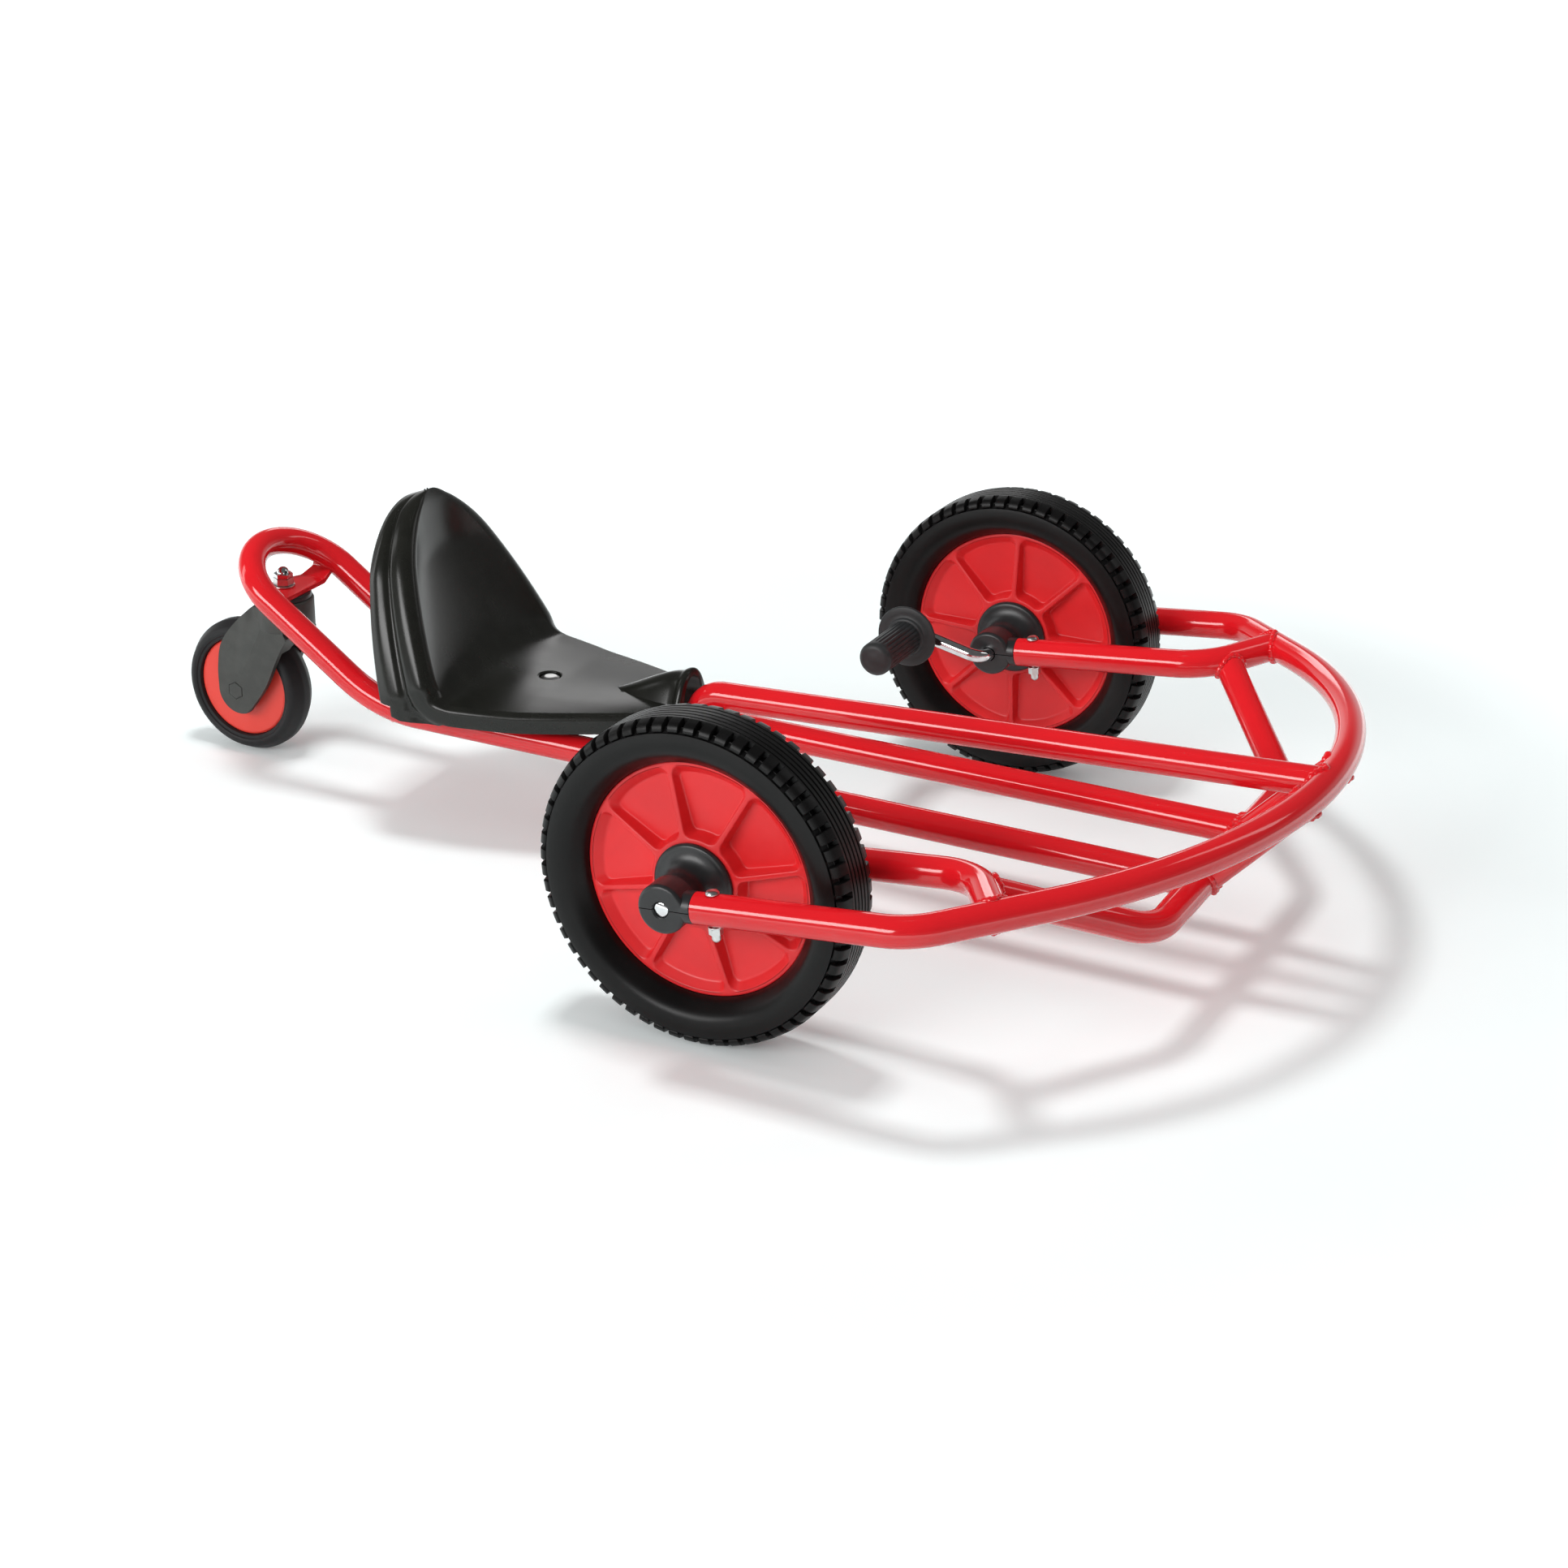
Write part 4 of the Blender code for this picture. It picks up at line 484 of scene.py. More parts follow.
def mesh_from(name, bm):
    mesh = bpy.data.meshes.new(name)
    bm.to_mesh(mesh)
    bm.free()
    return mesh


def put(name, data):
    """New object of the scene, at the origin."""
    obj = bpy.data.objects.new(name, data)
    bpy.context.scene.collection.objects.link(obj)
    return obj


def wrap_mesh(name, mesh, slot, crease):
    mesh.materials.clear()
    mesh.materials.append(finish_for(slot))
    mesh.shade_smooth()
    mesh.set_sharp_from_angle(angle=crease * deg)
    return put(name, mesh)


def piece(name, bm, slot, crease=38.0):
    """Object at the origin from a mesh in place, smooth but for its real edges."""
    tidy(bm)
    return wrap_mesh(name, mesh_from(name, bm), slot, crease)


def remade(name, slot, mesh, crease):
    """Piece from a plain mesh, whose doubles are merged."""
    bm = bmesh.new()
    bm.from_mesh(mesh)
    bpy.data.meshes.remove(mesh)
    return piece(name, bm, slot, crease)


def tool(name, bm):
    """Solid that only joins or cuts."""
    tidy(bm)
    return put(name, mesh_from(name, bm))


def join(name, bm):
    return "UNION", tool(name, bm)


def cut(name, bm):
    return "DIFFERENCE", tool(name, bm)


def capped(rows):
    """Solid of closed rows, with a face over each end."""
    bm = bmesh.new()
    lines = add_rows(bm, rows)
    bm.faces.new(lines[0][::-1])
    bm.faces.new(lines[-1])
    return bm


def levels(node):
    """Height of a node's foot and top."""
    low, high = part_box(node)
    return low.z, high.z


def settle(obj, slot, *nodes):
    """The piece stands for these nodes of the frame and rides with them; the slot is not used."""
    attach(obj, NODE_BODY[nodes[0]])
    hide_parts(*nodes)
    return obj


def evaluated(obj):
    """Plain mesh of an object with its modifiers."""
    bpy.context.view_layer.update()
    graph = bpy.context.evaluated_depsgraph_get()
    return bpy.data.meshes.new_from_object(obj.evaluated_get(graph))


def drop(*objects):
    for obj in objects:
        bpy.data.objects.remove(obj, do_unlink=True)


def carved(name, slot, base, steps, crease=38.0):
    """The base with solids joined to it or cut from it, as one plain mesh."""
    for operation, solid in steps:
        mod = base.modifiers.new("carve", "BOOLEAN")
        mod.operation = operation
        mod.solver = "EXACT"
        mod.object = solid
    mesh = evaluated(base)
    drop(base, *[solid for _, solid in steps])
    return remade(name, slot, mesh, crease)


def fillet_path(corners, radii, step=3.0 * deg):
    """Polyline through the corners, each inner corner rounded to its radius."""
    points = [corners[0].copy()]
    for before, corner, after, radius in zip(corners[:-2], corners[1:-1], corners[2:], radii):
        back = (before - corner).normalized()
        ahead = (after - corner).normalized()
        turn = math.pi - back.angle(ahead)
        if radius < 1e-7 or turn < 1e-4:
            points.append(corner.copy())
            continue
        reach = radius * math.tan(turn / 2.0)
        start = corner + back * reach
        end = corner + ahead * reach
        centre = corner + (back + ahead).normalized() * math.hypot(radius, reach)
        count = max(2, math.ceil(turn / step))
        for i in range(count + 1):
            swing = turn * i / count
            part = math.sin(turn - swing) / math.sin(turn)
            rest = math.sin(swing) / math.sin(turn)
            points.append(centre + (start - centre) * part + (end - centre) * rest)
    points.append(corners[-1].copy())
    return points


def rounded(corners, step=18.0 * deg):
    """Profile of (radius, height) points from corners that each have their own rounding."""
    flat = [Vector((r, h, 0.0)) for r, h, _ in corners]
    path = fillet_path(flat, [size for _, _, size in corners[1:-1]], step)
    return [(p.x, p.y) for p in path]


def rounded_ring(corners, step=18.0 * deg):
    """Closed profile whose corners are all rounded."""
    whole = [corners[-1]] + list(corners) + [corners[0]]
    flat = [Vector((r, h, 0.0)) for r, h, _ in whole]
    path = fillet_path(flat, [size for _, _, size in corners], step)
    return [(p.x, p.y) for p in path[1:-1]]


def square_to(axis, wanted, spare):
    """The axis as a unit vector and two directions square to it, the first of them nearest to the wanted
    direction, or to the spare one where the axis itself lies near the wanted one."""
    axis = Vector(axis).normalized()
    side = wanted if abs(axis.dot(wanted)) < 0.9 else spare
    side = (side - axis * side.dot(axis)).normalized()
    return axis, side, axis.cross(side)


def turn_rows(profile, centre, axis, segments):
    """Rows of a profile turned about an axis through a centre."""
    axis, side, up = square_to(axis, UP, AHEAD)
    ways = []
    for i in range(segments):
        swing = 2.0 * math.pi * i / segments
        ways.append(side * math.cos(swing) + up * math.sin(swing))
    return [[centre + axis * height + way * radius for way in ways] for radius, height in profile]


def turned_bm(profile, centre, axis, segments, close=False):
    bm = bmesh.new()
    add_rows(bm, turn_rows(profile, centre, axis, segments), True, close)
    return bm


def turned(name, slot, profile, centre, axis, segments, close=False):
    return piece(name, turned_bm(profile, centre, axis, segments, close), slot)


def in_mm(*corners):
    """Corners of a profile: a radius in mm, a level in metres, a height over it and a rounding in mm."""
    return [(radius * mm, level + over * mm, size * mm) for radius, level, over, size in corners]


def bore_profile(radius):
    """Profile of a cutting cylinder that reaches 50 mm to both sides of its centre."""
    return [(0.0, -0.05), (radius, -0.05), (radius, 0.05), (0.0, 0.05)]


def frames_along(points):
    """Position, side and up of each ring along a polyline, with the corner planes halved."""
    heading = (points[1] - points[0]).normalized()
    helper = Vector((0.0, 0.0, 1.0)) if abs(heading.z) < 0.8 else Vector((1.0, 0.0, 0.0))
    side = heading.cross(helper).normalized()
    up = side.cross(heading).normalized()
    result = []
    for i, point in enumerate(points):
        ahead = (points[i + 1] - point).normalized() if i < len(points) - 1 else heading
        half = heading.lerp(ahead, 0.5).normalized()
        first = heading.rotation_difference(half)
        side_here, up_here = side.copy(), up.copy()
        side_here.rotate(first)
        up_here.rotate(first)
        result.append((point, side_here, up_here))
        turn = heading.rotation_difference(ahead)
        side.rotate(turn)
        up.rotate(turn)
        heading = ahead
    return result


def sweep_rows(points, radius, count):
    """Rings of points round a polyline."""
    spots = [polar(radius, 2.0 * math.pi * (k + 0.5) / count) for k in range(count)]
    return [[point + side * a + up * b for a, b in spots] for point, side, up in frames_along(points)]


def cope(row, along, line, reach):
    """Pushes a tube's end points along the tube until each meets the skin round another line."""
    path = np.array([tuple(p) for p in line])
    keep = np.r_[True, np.linalg.norm(np.diff(path, axis=0), axis=1) > 1e-7]
    path = path[keep]
    spans = path[1:] - path[:-1]
    squares = (spans ** 2).sum(1)
    steps = np.arange(0.0, 95.0, 0.25) * mm
    result = []
    for point in row:
        probe = np.array(point)[None] + steps[:, None] * np.array(along)[None]
        offset = probe[:, None] - path[None, :-1]
        part = np.clip((offset * spans).sum(2) / squares, 0.0, 1.0)
        gap = np.linalg.norm(offset - spans * part[..., None], axis=2).min(1) - reach
        inside = np.nonzero(gap < 0.0)[0]
        if len(inside) and inside[0] > 0:
            k = inside[0]
            stop = steps[k - 1] + (steps[k] - steps[k - 1]) * gap[k - 1] / (gap[k - 1] - gap[k])
        else:
            stop = steps[int(np.argmin(np.abs(gap)))]
        result.append(point + along * float(stop))
    return result


# Geometry nodes
def new_tree(name, **inputs):
    """Net of a new geometry tree, and its inputs by name."""
    tree = bpy.data.node_groups.new(name, "GeometryNodeTree")
    for way in ("INPUT", "OUTPUT"):
        tree.interface.new_socket("Geometry", in_out=way, socket_type="NodeSocketGeometry")
    for label, kind in inputs.items():
        tree.interface.new_socket(label, in_out="INPUT", socket_type="NodeSocket" + kind)
    net = Net(tree)
    given = net.add("NodeGroupInput").outputs
    return net, {label: Wire(net, given[label]) for label in ("Geometry", *inputs)}


def end_tree(net, real, finish):
    """Paints what the tree has made real, and gives it back."""
    painted = net.wire("GeometryNodeSetMaterial", {"Geometry": real, "Material": finish})
    net.add("NodeGroupOutput", {0: painted})
    return net.tree


def copies_at(net, spots, shape, turn_y):
    """Real copies of a shape at the spots, turned about Y."""
    turn = net.wire("ShaderNodeCombineXYZ", {"Y": turn_y})
    copies = net.wire("GeometryNodeInstanceOnPoints", {"Points": spots, "Instance": shape, "Rotation": turn})
    return net.wire("GeometryNodeRealizeInstances", {"Geometry": copies})


def ring_tree(name):
    """Repeats one sector round an axle: tread blocks, rim panels or grip ribs."""
    net, given = new_tree(name, Count="Int", Phase="Float", Centre="Vector", Merge="Float", Finish="Material")
    swing = net.wire("GeometryNodeInputIndex") * (2.0 * math.pi / given["Count"]) + given["Phase"]
    spots = net.wire("GeometryNodePoints", {"Count": given["Count"], "Position": given["Centre"]})
    real = copies_at(net, spots, given["Geometry"], swing * -1.0)
    joined = net.wire("GeometryNodeMergeByDistance", {"Geometry": real, "Distance": given["Merge"]})
    return end_tree(net, joined, given["Finish"])


def bead_tree(name):
    """Weld beads: a round, rippled bead along each edge of a mesh of seams."""
    net, given = new_tree(name, Radius="Float", Pitch="Float", Ripple="Float", Finish="Material")
    seam = net.wire("GeometryNodeMeshToCurve", {"Mesh": given["Geometry"]})
    even = net.wire("GeometryNodeResampleCurve", {"Curve": seam, "Length": 1.1 * mm}, mode="LENGTH")
    along = net.wire("GeometryNodeSplineParameter", key="Length")
    wave = net.wire("ShaderNodeMath", {0: along * (2.0 * math.pi) / given["Pitch"]}, operation="SINE")
    drift = net.wire("ShaderNodeTexNoise", {"Scale": 90.0, "Detail": 2.0}, noise_dimensions="3D")
    width = (wave * given["Ripple"] + 0.85 + drift * 0.3) * given["Radius"]
    wide = net.wire("GeometryNodeSetCurveRadius", {"Curve": even, "Radius": width})
    ring = net.wire("GeometryNodeCurvePrimitiveCircle", {"Resolution": 12, "Radius": 1.0})
    bead = net.wire("GeometryNodeCurveToMesh", {"Curve": wide, "Profile Curve": ring, "Scale": width})
    return end_tree(net, net.wire("GeometryNodeRealizeInstances", {"Geometry": bead}), given["Finish"])


def copies_tree(name):
    """Copies of one fastener at marked places, all with the same tilt."""
    net, given = new_tree(name, Fastener="Object", Tilt="Float", Finish="Material")
    spots = net.wire("GeometryNodeMeshToPoints", {"Mesh": given["Geometry"]})
    shape = net.wire("GeometryNodeObjectInfo", {"Object": given["Fastener"]}, "Geometry")
    return end_tree(net, copies_at(net, spots, shape, given["Tilt"]), given["Finish"])


def run_tree(obj, name, build, values):
    """Plain mesh that a tree makes of an object; its inputs are set by their identifiers."""
    tree = bpy.data.node_groups.get(name) or build(name)
    mod = obj.modifiers.new(name, "NODES")
    mod.node_group = tree
    for item in tree.interface.items_tree:
        if item.item_type == "SOCKET" and item.in_out == "INPUT" and item.name in values:
            mod[item.identifier] = values[item.name]
    mesh = evaluated(obj)
    obj.modifiers.remove(mod)
    drop(obj)
    return mesh


def loose_mesh(name, points, edges=()):
    mesh = bpy.data.meshes.new(name)
    mesh.from_pydata([tuple(p) for p in points], list(edges), [])
    return put(name, mesh)


def ring_of(name, slot, bm, count, phase, centre, crease):
    """Full ring from one sector, which is modelled about the X axis of its axle."""
    sector = put(name + "_sector", mesh_from(name + "_sector", bm))
    values = {"Count": count, "Phase": phase, "Centre": tuple(centre), "Merge": 4e-6}
    values["Finish"] = finish_for(slot)
    return remade(name, slot, run_tree(sector, "sectors_round_axle", ring_tree, values), crease)


# The frame
def hoop_shape(tubes):
    corner = tubes.hoop_start + tubes.hoop_bend * math.tan(tubes.hoop_turn / 2.0)
    peak = corner + tubes.hoop_y / math.tan(tubes.hoop_turn)
    reach = peak - tubes.hoop_nose * (1.0 / math.sin(tubes.hoop_turn) - 1.0)
    return corner, peak, reach


def hoop_line(tubes):
    corner, peak, _ = hoop_shape(tubes)
    start, side = tubes.tube_start, tubes.hoop_y
    spots = ((start, -side), (corner, -side), (peak, 0.0), (corner, side), (start, side))
    corners = [on_plane(tubes, reach, y) for reach, y in spots]
    return fillet_path(corners, [tubes.hoop_bend, tubes.hoop_nose, tubes.hoop_bend], 2.0 * deg)


def arm_line(tubes, side):
    reach = tubes.arm_start + tubes.arm_bend * math.tan(tubes.arm_turn / 2.0)
    rise, fall = math.tan(tubes.arm_turn), math.tan(tubes.hoop_turn)
    end = (tubes.hoop_y - tubes.arm_y + hoop_shape(tubes)[0] * fall + reach * rise) / (rise + fall)
    spots = ((tubes.tube_start, tubes.arm_y), (reach, tubes.arm_y), (end, tubes.arm_y + (end - reach) * rise))
    corners = [on_plane(tubes, along, side * y) for along, y in spots]
    return fillet_path(corners, [tubes.arm_bend])


def bar_line(tubes):
    corners = [on_plane(tubes, tubes.bar_top, -tubes.bar_top_y), at(tubes.bar_x, -tubes.bar_y, tubes.rail_z),
               at(tubes.bar_x, tubes.bar_y, tubes.rail_z), on_plane(tubes, tubes.bar_top, tubes.bar_top_y)]
    return fillet_path(corners, [tubes.bar_bend, tubes.bar_bend])


def stay_line(tubes, side):
    reach = hoop_shape(tubes)[2] - tubes.hoop_nose + math.sqrt(tubes.hoop_nose ** 2 - tubes.stay_head ** 2)
    foot = at(tubes.bar_x, side * tubes.stay_foot, tubes.rail_z)
    return [foot, on_plane(tubes, reach, side * tubes.stay_head)]


def loop_top(tubes):
    flat = tubes.loop_start - tubes.loop_bend * math.sin(tubes.loop_rise)
    height = tubes.rail_z + tubes.loop_bend * (1.0 - math.cos(tubes.loop_rise))
    run, climb = polar(tubes.loop_leg, tubes.loop_rise)
    return flat - run, height + climb


def loop_line(tubes):
    corner = tubes.loop_start - tubes.loop_bend * math.tan(tubes.loop_rise / 2.0)
    top_x, top_z = loop_top(tubes)
    legs = []
    for y in (-tubes.rail_y, tubes.rail_y):
        corners = [at(tubes.bar_x, y, tubes.rail_z), at(corner, y, tubes.rail_z), at(top_x, y, top_z)]
        legs.append(fillet_path(corners, [tubes.loop_bend]))
    outward = Vector((-math.cos(tubes.loop_rise), 0.0, math.sin(tubes.loop_rise)))
    round_end = []
    count = 45
    for i in range(1, count):
        swing = math.pi * i / count
        across = Vector((0.0, -math.cos(swing), 0.0)) * tubes.rail_y
        round_end.append(at(top_x, 0.0, top_z) + across + outward * (tubes.rail_y * math.sin(swing)))
    return legs[0] + round_end + legs[1][::-1]


def leg_height(tubes, x):
    bend_end = tubes.loop_start - tubes.loop_bend * math.sin(tubes.loop_rise)
    if x > tubes.loop_start:
        return tubes.rail_z
    if x > bend_end:
        return tubes.rail_z + tubes.loop_bend - math.sqrt(tubes.loop_bend ** 2 - (tubes.loop_start - x) ** 2)
    height = tubes.rail_z + tubes.loop_bend * (1.0 - math.cos(tubes.loop_rise))
    return height + (bend_end - x) * math.tan(tubes.loop_rise)


def centre_line(tubes):
    corners = [on_plane(tubes, hoop_shape(tubes)[2], 0.0), at(tubes.centre_x, 0.0, tubes.centre_z),
               at(tubes.centre_x, 0.0, tubes.rail_z)]
    return fillet_path(corners, [tubes.centre_bend])


# How far a tube's end is pulled back before its last ring is coped to the tube that it meets.
COPE_ROOM = 42.0 * mm


def cut_back(points):
    """The polyline with its end pulled back from the tube that it meets, and the heading there."""
    span = points[-1] - points[-2]
    along = span.normalized()
    pull = min(COPE_ROOM, 0.92 * span.length)
    return points[:-1] + [points[-1] - along * pull], along


def make_tube(name, tubes, points, first_on=None, last_on=None):
    """Hollow frame tube; an end that lies on another tube's line is coped to it. Returns the seams."""
    line = list(points)
    first_way = last_way = None
    if last_on is not None:
        line, last_way = cut_back(line)
    if first_on is not None:
        back, first_way = cut_back(line[::-1])
        line = back[::-1]
    skins = []
    for radius in (tubes.tube_radius, tubes.tube_radius - tubes.tube_wall):
        rows = sweep_rows(line, radius, tubes.tube_sides)
        if first_way is not None:
            rows.insert(0, cope(rows[0], first_way, first_on, tubes.tube_radius))
        if last_way is not None:
            rows.append(cope(rows[-1], last_way, last_on, tubes.tube_radius))
        skins.append(rows)
    bm = bmesh.new()
    add_rows(bm, skins[0] + skins[1][::-1], True, True)
    settle(piece(name + "_tube", bm, "frame_red", 50.0), "frame_red", name)
    return [row for row, way in ((skins[0][0], first_way), (skins[0][-1], last_way)) if way is not None]


def make_welds(tubes, seams):
    points, edges = [], []
    for seam in seams:
        first = len(points)
        points.extend(seam)
        edges.extend((first + i, first + (i + 1) % len(seam)) for i in range(len(seam)))
    values = {"Radius": tubes.bead, "Pitch": tubes.bead_pitch, "Ripple": tubes.bead_ripple}
    values["Finish"] = finish_for("frame_red")
    mesh = run_tree(loose_mesh("weld_tracks", points, edges), "weld_beads", bead_tree, values)
    obj = wrap_mesh("frame_welds", mesh, "frame_red", 60.0)
    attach(obj, "frame")


def prism(outline, depth, bevel=0.0, steps=3):
    """Closed prism from an outline pushed along a vector, its long edges rounded."""
    bm = capped([outline, [p + depth for p in outline]])
    if bevel > 0.0:
        bm.faces.ensure_lookup_table()
        edges = [edge for cap in (bm.faces[-2], bm.faces[-1]) for edge in cap.edges]
        bmesh.ops.bevel(bm, geom=edges, offset=bevel, segments=steps, profile=0.5, affect="EDGES")
    return bm


def block_bm(size, shift, turn, place):
    """Block moved by a shift, turned about the origin and put in its place."""
    bm = bmesh.new()
    bmesh.ops.create_cube(bm, size=1.0)
    bmesh.ops.scale(bm, vec=Vector(size), verts=bm.verts)
    bmesh.ops.translate(bm, vec=Vector(shift), verts=bm.verts)
    bmesh.ops.rotate(bm, cent=ORIGIN, matrix=turn, verts=bm.verts)
    bmesh.ops.translate(bm, vec=place, verts=bm.verts)
    return bm


def make_plate(tubes, caster):
    """Caster plate: a strap whose ends turn up to the loop's legs, rounded along its edges."""
    front, rear = SWIVEL.x + 22.0 * mm, SWIVEL.x - 15.0 * mm
    low, high = caster.plate_top - caster.plate, caster.plate_top
    ear, corner = tubes.rail_y - 9.2 * mm, tubes.rail_y - 23.2 * mm
    ear_top = leg_height(tubes, front - AXLE.x) + 16.0 * mm
    outer = ((0.0, low), (corner, low), (ear + 2.0 * mm, low + 9.0 * mm), (ear + 2.0 * mm, ear_top))
    inner = ((ear - 2.0 * mm, ear_top), (ear - 2.0 * mm, low + 11.0 * mm), (corner, high), (0.0, high))
    half = []
    for corners, radii in ((outer, [9.0 * mm, 6.0 * mm]), (inner, [4.0 * mm, 6.0 * mm])):
        half += fillet_path([Vector((0.0, y, z)) for y, z in corners], radii)
    right = [Vector((front, -p.y, p.z)) for p in half]
    left = [Vector((front, p.y, p.z)) for p in half[::-1]]
    plate = tool("plate_strip", prism(right[:-1] + left[:-1], Vector((rear - front, 0.0, 0.0)), 0.7 * mm, 2))
    loop = capped(sweep_rows(loop_line(tubes), tubes.tube_radius - 0.6 * mm, 40))
    steps = [cut("plate_loop", loop)]
    waist = SWIVEL.x + 2.0 * mm
    for side, _ in SIDES:
        spots = ((rear, 12.0 * mm), (waist, ear), (waist, 0.1), (rear - 0.1, 0.1), (rear - 0.1, 12.0 * mm))
        outline = [Vector((x, side * y, low - 0.05)) for x, y in spots]
        steps.append(cut("plate_corner", prism(outline, Vector((0.0, 0.0, 0.2)))))
    tilt = Matrix.Rotation(tubes.loop_rise, 3, "Y")
    middle_x = (front + rear) / 2.0
    top = Vector((middle_x, 0.0, leg_height(tubes, middle_x - AXLE.x))) + tilt @ Vector((0.0, 0.0, 0.05))
    steps.append(cut("plate_trim", block_bm((0.2, 0.2, 0.1), ORIGIN, tilt, top)))
    settle(carved("caster_plate_strap", "frame_red", plate, steps), "frame_red", "caster_plate")


def make_frame(tubes, caster):
    hoop, loop, bar = hoop_line(tubes), loop_line(tubes), bar_line(tubes)
    make_tube("front_hoop", tubes, hoop)
    seams = []
    arms = {}
    for side, word in SIDES:
        arms[word] = arm_line(tubes, side)
        seams += make_tube(word + "_inner_arm", tubes, arms[word], None, hoop)
        seams += make_tube(word + "_nose_stay", tubes, stay_line(tubes, side), bar, hoop)
    seams += make_tube("lower_crossbar", tubes, bar, arms["right"], arms["left"])
    seams += make_tube("rear_loop", tubes, loop, bar, bar)
    cross = [at(tubes.centre_x, -tubes.rail_y, tubes.rail_z), at(tubes.centre_x, tubes.rail_y, tubes.rail_z)]
    seams += make_tube("centre_rail", tubes, centre_line(tubes), hoop, cross)
    front = [cross[0], cross[0].lerp(cross[1], 0.5), cross[1]]
    seams += make_tube("front_cross_tube", tubes, front, loop, loop)
    height = leg_height(tubes, tubes.cross_x)
    rear = [at(tubes.cross_x, y, height) for y in (-tubes.rail_y, 0.0, tubes.rail_y)]
    seams += make_tube("rear_cross_tube", tubes, rear, loop, loop)
    make_welds(tubes, seams)
    make_plate(tubes, caster)
    low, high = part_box("seat_strap")
    spots = ((low.y, low.z), (high.y, low.z), (high.y, high.z), (low.y, high.z))
    strap = prism([Vector((low.x, y, z)) for y, z in spots], Vector((high.x - low.x, 0.0, 0.0)), 0.8 * mm, 2)
    settle(piece("seat_strap_bar", strap, "frame_red"), "frame_red", "seat_strap")


# The seat
def seat_stations(seat, rows_pan, rows_corner, rows_back):
    """Stations (point, normal, pan share, back share) along the edge line, from front to top."""
    spots = ((seat.front_x, seat.front_z), (seat.pan_x, seat.pan_z), (seat.corner_x, seat.corner_z),
             (seat.top_x + seat.knee_run, seat.top_z - seat.knee_drop), (seat.top_x, seat.top_z))
    corners = [Vector((x, 0.0, z)) for x, z in spots]
    points = fillet_path(corners, [60.0 * mm, seat.corner_bend, 150.0 * mm], 4.0 * deg)
    dense = [points[0]]
    for a, b in zip(points[:-1], points[1:]):
        pieces = max(1, int((b - a).length / (2.0 * mm)))
        dense.extend(a.lerp(b, (i + 1) / pieces) for i in range(pieces))
    line = np.array([(p.x, p.z) for p in dense])
    for _ in range(10):
        line[1:-1] = 0.25 * line[:-2] + 0.5 * line[1:-1] + 0.25 * line[2:]
    lengths = np.r_[0.0, np.cumsum(np.linalg.norm(np.diff(line, axis=0), axis=1))]
    total = lengths[-1]
    corner_at = (Vector((seat.corner_x, 0.0, seat.corner_z)) - points[0]).length - seat.corner_bend
    corner_end = corner_at + 2.0 * seat.corner_bend
    marks = [corner_at * i / rows_pan for i in range(rows_pan)]
    marks += [corner_at + (corner_end - corner_at) * i / rows_corner for i in range(rows_corner)]
    shares = [math.sin(math.pi / 2.0 * i / rows_back) for i in range(rows_back + 1)]
    marks += [corner_end + (total - corner_end) * part for part in shares]
    slope = np.gradient(line, axis=0)
    slope /= np.linalg.norm(slope, axis=1)[:, None]
    stations = []
    for mark in marks:
        x, z = np.interp(mark, lengths, line[:, 0]), np.interp(mark, lengths, line[:, 1])
        tx, tz = np.interp(mark, lengths, slope[:, 0]), np.interp(mark, lengths, slope[:, 1])
        normal = Vector((tz, 0.0, -tx)).normalized()
        if normal.z < 0.0:
            normal = -normal
        pan = max(0.0, 1.0 - mark / corner_end)
        back = 0.0 if mark <= corner_at else max(0.0, (z - seat.corner_z) / (seat.top_z - seat.corner_z))
        stations.append((Vector((x, 0.0, z)), normal, pan, min(1.0, back)))
    return stations


